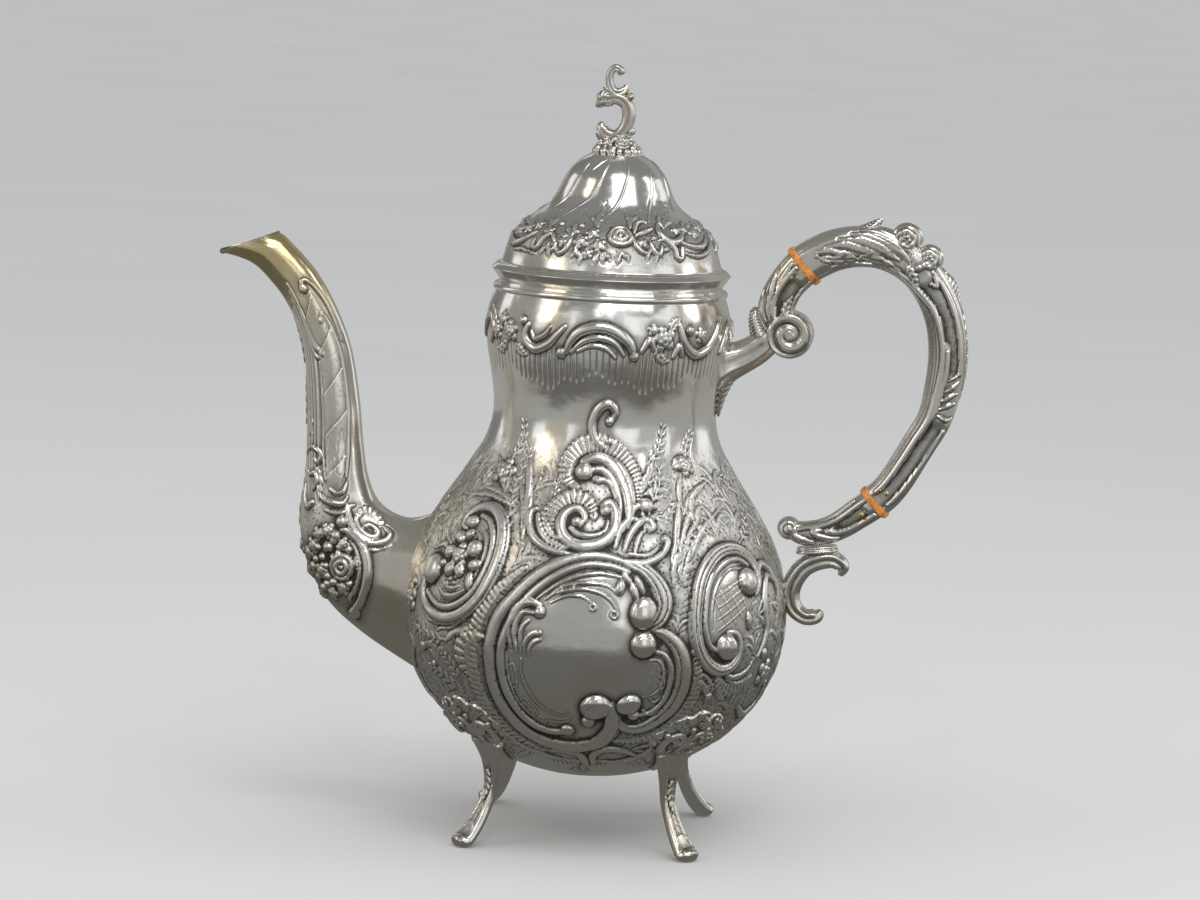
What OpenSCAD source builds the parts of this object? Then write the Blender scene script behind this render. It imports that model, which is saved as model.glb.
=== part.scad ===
// Silver coffee pot on four scroll feet, with a lift-off domed lid and a scroll handle
// that two insulators keep cool. Millimetres, +Z up, the table at z = 0, the spout towards -X,
// the handle towards +X. The origin is on the table under the middle of the whole outline.

/* [Body] */
// Height of the body's rim above the table
rim_z = 190.5; // [188:0.5:193]
// Gap between the table and the bottom of the body
foot_gap = 22.7; // [20:0.1:25]
// Thickness of the raised silver sheet of the body
wall = 1.2; // [0.9:0.1:1.8]
// Radius of the flat underside of the body
base_r = 17.5; // [14:0.5:21]
// Radius of the belly
belly_r = 65.6; // [62:0.2:69]
// Height of the belly's widest line
belly_z = 76; // [72:0.5:80]
// Radius of the neck at its narrowest line
neck_r = 38.2; // [36.5:0.1:40]
// Height of the neck's narrowest line
neck_z = 147; // [142:0.5:152]
// Radius of the bulge under the rim
shoulder_r = 41.9; // [40.5:0.1:44]
// Height of the bulge under the rim
shoulder_z = 176; // [173:0.5:179]
// Outer radius of the rim
rim_r = 38; // [37:0.1:39.5]
// Squareness of the bowl under the belly, 2 for an ellipse
bowl_power = 2; // [1.9:0.05:2.5]
// How late the wall turns in from the belly to the neck
sweep_skew = 1.28; // [1:0.02:1.5]
// Radius of the half-round wire soldered round the rim
mouth_wire_r = 1.3; // [0.9:0.1:1.7]
// Height of the wire's middle line below the rim
mouth_wire_drop = 2; // [1.8:0.1:3]

/* [Raised work on the body] */
// Height of the raised scrolls over the sheet
scroll_h = 1.5; // [0.8:0.1:2.2]
// Half width of the raised scrolls
scroll_w = 2.3; // [1.4:0.1:3]
// Height of the bosses that the scrolls end in
boss_h = 2.4; // [1.2:0.1:3]

/* [Spout] */
// Reach of the pouring tip from the pot's axis
spout_reach = 135.6; // [128:0.2:140]
// Height of the pouring tip above the table
spout_tip_z = 198.2; // [190:0.2:204]
// Height of the middle of the spout's base above the table
spout_base_z = 81.3; // [78:0.5:84]
// Height of the oval base of the spout
spout_base_h = 58; // [50:0.5:60]
// Width of the oval base of the spout
spout_base_w = 32; // [28:0.5:36]
// Thickness of the tube in its upper reach, seen from the side
spout_neck_t = 14.6; // [13:0.1:16]
// Width of the tube in its upper reach
spout_neck_w = 13.4; // [12:0.1:15]
// Length of the slanting mouth, beak included
spout_mouth_l = 21.4; // [18:0.1:23]
// Sheet thickness of the spout
spout_wall = 1.1; // [0.8:0.1:1.4]
// Thickness of the wire band round the mouth
lip_wire_t = 0.45; // [0.3:0.05:0.7]
// Gap that the solder fills between the band and the spout
lip_gap = 0.04; // [0.02:0.01:0.06]
// How far the spout's middle line reaches inside the belly's widest line
spout_root_in = 9.8; // [9:0.1:11]
// Diameter of one strainer hole in the body's wall behind the spout
strainer_hole_d = 3.4; // [2.4:0.1:3.8]
// Distance between neighbouring strainer holes
strainer_pitch = 6; // [5:0.1:7]
// Rows of strainer holes, one above the other
strainer_rows = 5; // [3:2:5]

/* [Feet] */
// Distance of the ankle from the pot's axis
ankle_r = 42.2; // [39:0.2:44]
// How far the toe reaches out past the ankle
toe_reach = 14.8; // [12:0.2:17]
// Thickness of the leg at its thinnest, seen from the side
leg_t = 4.4; // [3.6:0.1:5.2]
// Width of the leg at its thinnest
leg_w = 5; // [4:0.1:6]
// Width of the spoon-shaped toe
toe_w = 8.4; // [7:0.1:9.6]
// Thickness of the cast apron that spreads over the body
apron_t = 1.6; // [1:0.1:2.4]
// Length of the apron along the body
apron_l = 30; // [26:0.5:33]
// Width of the apron
apron_w = 27; // [24:0.5:30]

/* [Handle] */
// How far the upper insulator stands out from the bulge
upper_joint_out = 23.8; // [21:0.2:26]
// How far the upper insulator stands above the bulge
upper_joint_up = 24.2; // [22:0.2:27]
// Slope of the handle at the upper insulator, in degrees
upper_joint_angle = 42; // [38:0.5:46]
// How far the lower insulator stands out from the belly
lower_joint_out = 28.4; // [26:0.2:30]
// How far the lower insulator stands above the belly's widest line
lower_joint_up = 44.6; // [42:0.2:47]
// Slope of the handle at the lower insulator, in degrees
lower_joint_angle = 44; // [40:0.5:48]
// How far the grip bows out from the line between the insulators
grip_bow = 42.7; // [38:0.2:46]
// Thickness of the grip at the top, seen from the side
grip_top_t = 14.2; // [13:0.1:15]
// Thickness of the grip at the bottom, seen from the side
grip_bottom_t = 11.6; // [10.5:0.1:12.5]
// Width of the grip
grip_w = 11.6; // [10.5:0.1:12.6]
// Radius of the larger rose on top of the grip
rose_r = 4.3; // [3.6:0.1:4.8]
// Radius of the smaller rose beside it
small_rose_r = 3.6; // [3:0.1:4]
// Thickness of each insulator between its two faces
insulator_t = 2.5; // [2:0.1:3.2]
// How far an insulator stands proud of the silver round it
insulator_proud = 0.7; // [0.4:0.1:1]
// Radius of the insulators' tenons
tenon_r = 2.8; // [2.3:0.1:3.1]
// Length of each tenon
tenon_l = 8; // [7.4:0.1:9]
// Radial clearance of a tenon in its bore
tenon_fit = 0.05; // [0.02:0.01:0.1]
// Radius of the cross pins
pin_r = 0.9; // [0.7:0.05:1.1]
// Radial clearance of a cross pin in its hole
pin_fit = 0.02; // [0.01:0.01:0.05]
// Distance of each cross pin from the middle of its insulator
pin_out = 5.6; // [5:0.1:6]
// Radius of the volute under the upper socket
volute_r = 7.8; // [7:0.1:8.4]
// Distance of the volute's middle below the upper insulator
volute_drop = 23.6; // [22.6:0.1:24.4]
// Radius of the knob at the end of the lower socket
knob_r = 4; // [3.4:0.1:4.6]
// Distance of the oval collar below the lower insulator
collar_drop = 17.4; // [17:0.1:18]
// Distance of the oval collar from the lower insulator towards the pot
collar_back = 18.8; // [18:0.1:19.6]
// Length of the oval collar under the lower socket
collar_l = 14.6; // [13:0.1:16]
// Thickness of each of the collar's two rings
collar_ring_t = 1.1; // [0.9:0.05:1.3]

/* [Lid] */
// Radius of the flange's sharp edge
flange_r = 40.8; // [39.5:0.1:42]
// Height of the flange from its seat to the foot of the dome
flange_h = 7; // [6:0.1:8]
// Radius of the foot of the dome
dome_r = 37.5; // [36.9:0.1:38]
// Height of the dome above the flange
dome_h = 37.9; // [34:0.1:41]
// Sheet thickness of the dome
dome_wall = 1; // [0.8:0.1:1.3]
// Radial clearance of the bezel in the mouth
lid_clearance = 0.3; // [0.15:0.05:0.5]
// How deep the bezel reaches into the mouth
bezel_depth = 8; // [6:0.5:12]
// Sheet thickness of the bezel
bezel_wall = 1; // [0.8:0.1:1.3]
// Radius of the flower collar under the finial
collar_r = 8.3; // [7.6:0.1:9]
// Height of the flower collar
collar_h = 6; // [5:0.1:7]
// Height of the finial's two scrolls above the collar
finial_h = 23.6; // [20:0.1:26]
// Radius of the finial's threaded stud
stud_r = 1.5; // [1.2:0.1:1.8]
// Radial clearance of the stud in the holes that it passes
stud_fit = 0.05; // [0.02:0.01:0.1]
// Radius of the washer under the dome
washer_r = 5; // [4.4:0.1:5.6]
// Thickness of the washer
washer_t = 0.8; // [0.6:0.1:1.2]
// Size of the nut across its flats
nut_flats = 5.6; // [5:0.1:6.4]
// Height of the nut
nut_h = 2.4; // [2:0.1:3]

/* [Hidden] */

silver = "silver";
aged_silver = "darkgray";
insulator_colour = "peru";
brass_colour = "goldenrod";
bore_fn = 48;
revolve_fn = 96;

// ---- curves and sections -------------------------------------------------------------

function lerp(a, b, t) = a + (b - a) * t;
function ease(t) = (1 - cos(180 * t)) / 2;
function reversed(list) = [for (i = [len(list) - 1:-1:0]) list[i]];
function heading(angle) = [cos(angle), sin(angle)];

// One point of a Catmull-Rom span from b to c, for points of any dimension
function span_point(a, b, c, d, t) = 0.5 * ((2 * b) + (c - a) * t
    + (2 * a - 5 * b + 4 * c - d) * t * t + (3 * b - a - 3 * c + d) * t * t * t);

// A smooth line through the stations, with the given number of steps between neighbours
function smooth(stations, steps) = let (last = len(stations) - 1) concat(
    [for (i = [0:last - 1], k = [0:steps - 1])
        span_point(stations[max(i - 1, 0)], stations[i], stations[i + 1],
            stations[min(i + 2, last)], k / steps)],
    [stations[last]]);

// Direction of travel at point i of a line, in the plane of its first two coordinates
function travel(line, i) = let (
    before = line[max(i - 1, 0)], after = line[min(i + 1, len(line) - 1)])
    atan2(after[1] - before[1], after[0] - before[0]);

// Stations [x, z, half thickness, half width] become [x, z, angle, half thickness, half width]
function with_angles(line, first_angle = undef, last_angle = undef) = [
    for (i = [0:len(line) - 1]) let (
        given = i == 0 ? first_angle : i == len(line) - 1 ? last_angle : undef)
        [line[i][0], line[i][1], given == undef ? travel(line, i) : given, line[i][2], line[i][3]]];

// A section ring across the direction of travel: a superellipse of the given power
function section(station, sides, power = 2) = [
    for (k = [0:sides - 1]) let (
        turn = 360 * k / sides,
        across = station[3] * sign(cos(turn)) * pow(abs(cos(turn)), 2 / power),
        sideways = station[4] * sign(sin(turn)) * pow(abs(sin(turn)), 2 / power))
        [station[0] - across * sin(station[2]), sideways, station[1] + across * cos(station[2])]];

// The skin round a row of section rings, closed by a flat cap at each end
module skin(rings) {
    n = len(rings[0]);
    last = len(rings) - 1;
    polyhedron(
        points = [for (ring = rings, p = ring) p],
        faces = concat(
            [[for (k = [n - 1:-1:0]) k]],
            [for (i = [0:last - 1], k = [0:n - 1], half = [0, 1]) let (
                a = i * n + k, b = i * n + (k + 1) % n, c = a + n, d = b + n)
                half == 0 ? [a, b, c] : [b, d, c]],
            [[for (k = [0:n - 1]) last * n + k]]),
        convexity = 8);
}

// A tube wall: the skin between a row of outer rings and the same row of inner rings
module tube_skin(outer, inner) {
    rings = concat(outer, reversed(inner));
    n = len(rings[0]);
    count = len(rings);
    polyhedron(
        points = [for (ring = rings, p = ring) p],
        faces = [for (i = [0:count - 1], k = [0:n - 1], half = [0, 1]) let (
            next = (i + 1) % count,
            a = i * n + k, b = i * n + (k + 1) % n,
            c = next * n + k, d = next * n + (k + 1) % n)
            half == 0 ? [a, b, c] : [b, d, c]],
        convexity = 8);
}

// A cast limb: stations [x, z, half thickness, half width] in the plane of the limb
module limb(stations, steps = 2, sides = 16, power = 2, first_angle = undef, last_angle = undef) {
    line = with_angles(smooth(stations, steps), first_angle, last_angle);
    skin([for (station = line) section(station, sides, power)]);
}

// The line moved to its left by the given distance, for the inner side of a sheet
function inset(line, distance) = [
    for (i = [0:len(line) - 1]) let (angle = travel(line, i), p = line[i])
        [max(0, p[0] - distance * sin(angle)), p[1] + distance * cos(angle)]];

// ---- body ----------------------------------------------------------------------------

bowl_steps = 14;
sweep_steps = 16;
shoulder_steps = 7;
rim_steps = 5;

bowl_start = asin(pow(base_r / belly_r, bowl_power / 2));
bowl_depth = (belly_z - foot_gap) / pow(cos(bowl_start), 2 / bowl_power);
bowl_line = concat([[0, foot_gap]],
    [for (i = [0:bowl_steps]) let (turn = lerp(bowl_start, 90, i / bowl_steps))
        [belly_r * pow(sin(turn), 2 / bowl_power),
         belly_z - bowl_depth * pow(cos(turn), 2 / bowl_power)]]);
sweep_line = [for (i = [1:sweep_steps]) let (t = i / sweep_steps)
    [lerp(belly_r, neck_r, ease(pow(t, sweep_skew))), lerp(belly_z, neck_z, t)]];
shoulder_line = [for (i = [1:shoulder_steps]) let (t = i / shoulder_steps)
    [lerp(neck_r, shoulder_r, ease(t)), lerp(neck_z, shoulder_z, t)]];
rim_line = [for (i = [1:rim_steps]) let (t = i / rim_steps)
    [lerp(rim_r, shoulder_r, cos(90 * t)), lerp(shoulder_z, rim_z, t)]];
body_line = concat(bowl_line, sweep_line, shoulder_line, rim_line);
mouth_r = rim_r - wall;
body_inner_line = concat(
    [for (i = [0:len(body_line) - 2]) inset(body_line, wall)[i]], [[mouth_r, rim_z]]);

// The space that the body fills, used to seat what is soldered to it
module body_space(grow = 0) {
    line = grow == 0 ? body_line : inset(body_line, -grow);
    rotate_extrude($fn = revolve_fn) polygon(concat(
        [[0, line[0][1]]], [for (i = [1:len(line) - 1]) line[i]], [[0, line[len(line) - 1][1]]]));
}

module strainer_holes() {
    row_height = strainer_pitch * sqrt(3) / 2;
    middle = (strainer_rows - 1) / 2;
    for (row = [0:strainer_rows - 1]) {
        holes = 3 - (abs(row - middle) % 2);
        for (hole = [0:holes - 1])
            translate([0, (hole - (holes - 1) / 2) * strainer_pitch,
                    spout_base_z + (row - middle) * row_height])
                rotate([0, -90, 0])
                    cylinder(h = 2 * belly_r, d = strainer_hole_d, $fn = 24);
    }
}

// ---- raised work on the body ---------------------------------------------------------

// Stations are [turn from the front, height, share of the full size]
scroll_sink = 0.7;
scroll_section = [[1, 0], [0.8, 0.6], [-1, 1], [-1, -1], [0.8, -0.6]];
boss_sides = 8;
boss_rings = [[-1, 1], [0.55, 0.86], [1, 0.42]];

front_frame = [[18, 103, 0.6], [8, 104.6, 0.9], [-1, 103.4, 1], [-9, 100.2, 1], [-16.5, 94.6, 1],
    [-22, 87, 1], [-26, 78, 1], [-27.6, 68, 1], [-27, 58, 1], [-24.2, 49.2, 1], [-18.5, 42.6, 1],
    [-11, 39.6, 1], [-3, 39, 1], [4.5, 39.8, 1.1], [10, 43, 1.1], [12.4, 49, 0.8]];
front_c = [[21, 80, 0.6], [26.4, 78.4, 0.8], [30.6, 72.4, 0.9], [32, 65, 0.9], [31.8, 57.6, 0.9],
    [28.8, 51.4, 0.9], [23, 48, 0.8], [16.5, 48.6, 0.6]];
front_drop = [[18, 103, 0.7], [22.8, 99.2, 1], [25.6, 93, 1.2], [25, 87, 1.1], [21.8, 81.6, 0.6]];
left_frame = [[-58.6, 88, 0.8], [-55, 80.4, 0.9], [-46.5, 77.8, 1], [-38, 80.6, 1], [-31.6, 87, 1],
    [-27.8, 95, 1.1], [-27, 103, 1.1], [-30, 110.6, 1], [-36, 116, 0.9], [-43.5, 117, 0.7]];
right_frame = [[62, 102, 0.7], [56, 107.6, 0.9], [48.5, 107.4, 1], [42, 103.2, 1], [37.4, 96.6, 1],
    [35.2, 88.6, 1], [35.4, 80.6, 1], [38.4, 73, 0.9]];
upper_c = [[-3, 133, 0.7], [1, 135.6, 0.9], [7.4, 134.8, 1], [13, 130.8, 0.9], [16.2, 124.4, 0.8],
    [16.2, 117.4, 0.5]];
lower_c = [[8, 120.4, 0.6], [11, 116, 0.8], [8.4, 111, 0.9], [1.4, 108.4, 0.9], [-6, 110.8, 0.8],
    [-9, 116, 0.6]];
scroll_lines = [front_frame, front_c, front_drop, left_frame, right_frame, upper_c, lower_c];

// Bosses are [turn, height, radius, share of the full height]
bosses = [[6.6, 54.4, 4.8, 1], [19.6, 76.4, 4.5, 0.95], [16.8, 54.2, 3.5, 0.8], [20, 88, 4.8, 0.9],
    [-55, 94.2, 4.9, 1], [-43.5, 99.6, 5.2, 0.8], [58.4, 96, 4.5, 0.9], [48.2, 75.4, 4.4, 0.9],
    [-3.6, 130.8, 3, 0.8]];

sheet_r = [for (i = [1:len(body_line) - 1]) [body_line[i][1], body_line[i][0]]];

// The point over the sheet at a turn from the front and a height
function over_sheet(turn, z, out = 0) = let (
    lean = atan(lookup(z + 0.5, sheet_r) - lookup(z - 0.5, sheet_r)),
    r = lookup(z, sheet_r) + out * cos(lean))
    [r * sin(turn), -r * cos(turn), z - out * sin(lean)];
function unit(v) = v / norm(v);

// One ring of a scroll: the section, set square to the line of travel
function scroll_ring(line, i) = let (
    here = line[i], before = line[max(i - 1, 0)], after = line[min(i + 1, len(line) - 1)],
    foot = over_sheet(here[0], here[1]),
    out = over_sheet(here[0], here[1], 1) - foot,
    side = unit(cross(out, over_sheet(after[0], after[1]) - over_sheet(before[0], before[1]))))
    [for (p = scroll_section) foot
        + out * (p[0] < 0 ? -scroll_sink : p[0] * scroll_h * min(1, here[2]))
        + side * p[1] * scroll_w * here[2]];

module scroll(line) { skin([for (i = [0:len(line) - 1]) scroll_ring(line, i)]); }

module boss(place) {
    foot = over_sheet(place[0], place[1]);
    out = over_sheet(place[0], place[1], 1) - foot;
    across = [cos(place[0]), sin(place[0]), 0];
    up = cross(out, across);
    skin([for (ring = boss_rings) [for (k = [0:boss_sides - 1]) let (turn = 360 * k / boss_sides)
        foot + out * (ring[0] < 0 ? -scroll_sink : ring[0] * boss_h * place[3])
            + ring[1] * place[2] * (up * cos(turn) + across * sin(turn))]]);
}

module raised_work() {
    for (side = [0, 1]) mirror([0, side, 0]) {
        for (line = scroll_lines) scroll(line);
        for (place = bosses) boss(place);
    }
}

module body_shell() {
    color(silver) difference() {
        union() {
            rotate_extrude($fn = revolve_fn)
                polygon(concat(body_line, reversed(body_inner_line)));
            raised_work();
        }
        strainer_holes();
    }
}

mouth_wire_z = rim_z - mouth_wire_drop;
mouth_wire_ring_r = lookup(mouth_wire_z, [for (p = body_line) if (p[1] > neck_z) [p[1], p[0]]]);

module mouth_wire() {
    color(silver) difference() {
        rotate_extrude($fn = revolve_fn)
            translate([mouth_wire_ring_r, mouth_wire_z]) circle(r = mouth_wire_r, $fn = 24);
        body_space();
    }
}

// ---- spout ---------------------------------------------------------------------------

spout_root_r = belly_r - spout_root_in;
spout_sides = 24;
spout_steps = 2;
spout_mid_t = lerp(spout_neck_t, spout_base_h, 0.12);
spout_mid_w = lerp(spout_neck_w, spout_base_w, 0.2);

// Stations from the tip to the base: share of the way out, share of the way up,
// slope in degrees, thickness and width
spout_shape = [
    [0.876, 1.000, 112, spout_mouth_l, 0.90 * spout_neck_w],
    [0.814, 0.987, 118, 0.81 * spout_mouth_l, 0.98 * spout_neck_w],
    [0.764, 0.967, 124, 1.01 * spout_neck_t, spout_neck_w],
    [0.701, 0.927, 127, 0.99 * spout_neck_t, spout_neck_w],
    [0.634, 0.873, 123, 1.00 * spout_neck_t, spout_neck_w],
    [0.563, 0.788, 115, 1.03 * spout_neck_t, 1.02 * spout_neck_w],
    [0.510, 0.682, 107, 1.14 * spout_neck_t, 1.08 * spout_neck_w],
    [0.480, 0.543, 102, 1.26 * spout_neck_t, 1.18 * spout_neck_w],
    [0.466, 0.417, 100, spout_mid_t, spout_mid_w],
    [0.455, 0.322, 101, 1.10 * spout_mid_t, 1.15 * spout_mid_w],
    [0.446, 0.244, 107, 1.33 * spout_mid_t, 1.35 * spout_mid_w],
    [0.420, 0.183, 116, 0.53 * spout_base_h, 1.50 * spout_mid_w],
    [0.367, 0.123, 128, 0.62 * spout_base_h, 0.84 * spout_base_w],
    [0.292, 0.073, 141, 0.70 * spout_base_h, 0.91 * spout_base_w],
    [0.201, 0.040, 154, 0.78 * spout_base_h, 0.96 * spout_base_w],
    [0.103, 0.017, 165, 0.88 * spout_base_h, spout_base_w],
    [0.000, 0.000, 172, spout_base_h, 1.04 * spout_base_w]];
spout_stations = [for (s = spout_shape) [
    -lerp(spout_root_r, spout_reach, s[0]), lerp(spout_base_z, spout_tip_z, s[1]),
    s[2], s[3] / 2, s[4] / 2]];
function grown(station, by) =
    [station[0], station[1], station[2], station[3] + by, station[4] + by];
function spout_rings(line, by) = [for (station = line) section(grown(station, by), spout_sides)];

module spout() {
    line = smooth(spout_stations, spout_steps);
    color(silver) difference() {
        tube_skin(spout_rings(line, 0), spout_rings(line, -spout_wall));
        body_space();
    }
}

// The band hugs the spout's first step, apart by the solder
module spout_lip() {
    line = smooth(spout_stations, spout_steps);
    band = [line[0], line[1]];
    color(silver)
        tube_skin(spout_rings(band, lip_gap + lip_wire_t), spout_rings(band, lip_gap));
}

// ---- feet ----------------------------------------------------------------------------

apron_slope = 50;
apron_lobes = 5;
apron_foot_z = foot_gap + 6;
leg_root_z = foot_gap + 14;
// The toe's round underside is filed flat by this much, which makes the pad it stands on
toe_filed = 0.5;
toe_half_t = 0.54 * leg_t;
toe_mid_z = toe_half_t - toe_filed;

// The leg in its own upright plane, from the root inside the body to the tip of the toe
leg_stations = [
    [ankle_r + 3, leg_root_z, 0.9 * leg_t, 1.5 * leg_w],
    [ankle_r + 0.8, foot_gap + 7.5, 0.7 * leg_t, leg_w],
    [ankle_r, foot_gap + 2, 0.56 * leg_t, 0.62 * leg_w],
    [ankle_r + 0.4, 0.80 * foot_gap, leg_t / 2, leg_w / 2],
    [ankle_r + 0.18 * toe_reach, 0.57 * foot_gap, 0.52 * leg_t, 0.52 * leg_w],
    [ankle_r + 0.38 * toe_reach, 0.36 * foot_gap, 0.54 * leg_t, lerp(leg_w, toe_w, 0.4) / 2],
    [ankle_r + 0.60 * toe_reach, 0.19 * foot_gap, 0.56 * leg_t, lerp(leg_w, toe_w, 0.8) / 2],
    [ankle_r + 0.80 * toe_reach, toe_mid_z, toe_half_t, toe_w / 2],
    [ankle_r + 0.94 * toe_reach, toe_mid_z + 0.8, 0.8 * toe_half_t, 0.38 * toe_w],
    [ankle_r + toe_reach, toe_mid_z + 1.7, 0.35 * toe_half_t, 0.16 * toe_w]];

// The scalloped outline of the apron, its point at the ankle
module apron_outline() {
    lobe_r = apron_w / 4.6;
    hull() {
        circle(r = leg_w, $fn = 24);
        translate([apron_l * 0.62, 0]) circle(r = apron_w * 0.34, $fn = 32);
    }
    for (i = [0:apron_lobes - 1]) let (turn = lerp(-80, 80, i / (apron_lobes - 1)))
        translate([apron_l * 0.5, 0] + (apron_l * 0.5 - lobe_r) * [cos(turn), 1.1 * sin(turn)])
            circle(r = lobe_r, $fn = 24);
}

module foot() {
    color(silver) difference() {
        union() {
            intersection() {
                limb(leg_stations, steps = 2, sides = 16, power = 2);
                translate([0, -toe_w, 0]) cube([2 * ankle_r, 2 * toe_w, leg_root_z + 5]);
            }
            intersection() {
                body_space(grow = apron_t);
                translate([ankle_r - 1, 0, apron_foot_z])
                    rotate([0, -apron_slope, 0])
                        translate([0, 0, -apron_l / 2])
                            linear_extrude(apron_l) apron_outline();
            }
        }
        body_space();
    }
}

module foot_at(azimuth) { rotate(azimuth) foot(); }
module foot_front_left() { foot_at(225); }
module foot_front_right() { foot_at(315); }
module foot_back_left() { foot_at(135); }
module foot_back_right() { foot_at(45); }

// ---- handle --------------------------------------------------------------------------

upper_joint = [shoulder_r + upper_joint_out, shoulder_z + upper_joint_up];
lower_joint = [belly_r + lower_joint_out, belly_z + lower_joint_up];
upper_face = upper_joint + insulator_t / 2 * heading(upper_joint_angle);
upper_socket_face = upper_joint - insulator_t / 2 * heading(upper_joint_angle);
lower_face = lower_joint + insulator_t / 2 * heading(lower_joint_angle);
lower_socket_face = lower_joint - insulator_t / 2 * heading(lower_joint_angle);
grip_power = 2.5;
tenon_room = 0.4;

// The grip's middle line from the upper to the lower insulator: share of the height between
// them, share of the bow, and share of the change in thickness from top to bottom
grip_shape = [
    [1.036, 0.118, 0.0],
    [1.073, 0.282, 0.0],
    [1.094, 0.463, 0.05],
    [1.092, 0.658, 0.1],
    [1.055, 0.825, 0.2],
    [0.986, 0.941, 0.3],
    [0.881, 1.000, 0.4],
    [0.769, 0.998, 0.4],
    [0.636, 0.936, 0.4],
    [0.510, 0.830, 0.6],
    [0.378, 0.690, 0.9],
    [0.256, 0.490, 1.0],
    [0.124, 0.270, 1.0],
    [0.054, 0.136, 1.0]];
grip_stations = concat(
    [concat(upper_face, [grip_top_t / 2, grip_w / 2])],
    [for (s = grip_shape) let (base = lerp(lower_joint, upper_joint, s[0]))
        [base[0] + s[1] * grip_bow, base[1], lerp(grip_top_t, grip_bottom_t, s[2]) / 2, grip_w / 2]],
    [concat(lower_face, [grip_bottom_t / 2, grip_w / 2])]);
// Two leaves on the grip's outer side: along it, out of it, half thickness, half width
leaf_spur_stations = [[-7, -2.6, 1.5, 2.6], [-3, -1.2, 1.9, 2.8], [0, 1, 1.5, 2.2], [1.8, 2.6, 0.8, 1]];
leaf_tail_stations = [[-6, -1.4, 1.8, 2.4], [-3, -0.4, 1.9, 2.6], [1, -0.6, 1.8, 2.2], [6, -1.8, 1, 1]];
handle_reach = max([for (s = grip_stations) s[0] + s[2]]);
axis_x = (spout_reach - handle_reach) / 2;

// What follows stands on the joint's middle, its own +Z along the handle
module at_joint(joint, angle) {
    translate([joint[0], 0, joint[1]]) rotate([0, 90 - angle, 0]) children();
}

module tenons(joint, angle, fit = 0) {
    reach = insulator_t / 2 + tenon_l + (fit > 0 ? tenon_room : 0);
    at_joint(joint, angle) translate([0, 0, -reach])
        cylinder(h = 2 * reach, r = tenon_r + fit, $fn = bore_fn);
}

module cross_pin(joint, angle, side, r, length) {
    at_joint(joint, angle) translate([0, 0, side * pin_out]) rotate([90, 0, 0])
        cylinder(h = length, r = r, center = true, $fn = 24);
}

module cross_pins(r, length) {
    for (side = [-1, 1]) {
        cross_pin(upper_joint, upper_joint_angle, side, r, length);
        cross_pin(lower_joint, lower_joint_angle, side, r, length);
    }
}

pin_length = grip_w + 0.2;
pin_hole_length = 2 * grip_w;

module handle_pins() {
    color(brass_colour) cross_pins(pin_r, pin_length);
}

module insulator(joint, angle, thickness) {
    edge = 0.5;
    half = insulator_t / 2;
    layers = [[-half, -edge], [-half + edge, 0], [half - edge, 0], [half, -edge]];
    color(insulator_colour) difference() {
        union() {
            skin([for (layer = layers) let (c = joint + layer[0] * heading(angle))
                section([c[0], c[1], angle, thickness / 2 + insulator_proud + layer[1],
                    grip_w / 2 + insulator_proud + layer[1]], 32, grip_power)]);
            tenons(joint, angle);
        }
        cross_pins(pin_r + pin_fit, pin_hole_length);
    }
}

module upper_insulator() { insulator(upper_joint, upper_joint_angle, grip_top_t); }
module lower_insulator() { insulator(lower_joint, lower_joint_angle, grip_bottom_t); }

module grip_bores() {
    tenons(upper_joint, upper_joint_angle, tenon_fit);
    tenons(lower_joint, lower_joint_angle, tenon_fit);
    cross_pins(pin_r + pin_fit, pin_hole_length);
}

// A cast rose that crosses the grip, its petals in rings round an eye on both faces
module rose(r, half) {
    face = [[0, half + 0.1 * r], [0.24 * r, half + 0.05 * r], [0.34 * r, half - 0.2 * r],
        [0.46 * r, half - 0.04 * r], [0.6 * r, half - 0.08 * r], [0.68 * r, half - 0.34 * r],
        [0.84 * r, half - 0.26 * r], [r, half - 0.6 * r]];
    rotate([90, 0, 0]) rotate_extrude($fn = 32)
        polygon(concat(reversed(face), [for (p = face) [p[0], -p[1]]]));
}

// What follows stands on the grip's outer side, its own +Z outwards, at the given station
// or part of the way from it to the next
module on_grip(station) {
    first = floor(station);
    place = lerp(grip_stations[first], grip_stations[first + 1], station - first);
    angle = lerp(travel(grip_stations, first), travel(grip_stations, first + 1), station - first);
    translate([place[0], 0, place[1]]) rotate([0, -angle, 0])
        translate([0, 0, place[2]]) children();
}

module handle_grip() {
    color(silver) difference() {
        union() {
            limb(grip_stations, steps = 2, sides = 24, power = grip_power,
                first_angle = upper_joint_angle, last_angle = lower_joint_angle - 180);
            on_grip(4.75) rose(rose_r, 0.44 * grip_w);
            on_grip(5.7) translate([0, 0, -0.4]) rose(small_rose_r, 0.42 * grip_w);
            on_grip(3.65) limb(leaf_spur_stations, steps = 2, sides = 12);
            on_grip(6.9) limb(leaf_tail_stations, steps = 2, sides = 12);
        }
        grip_bores();
    }
}

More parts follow.
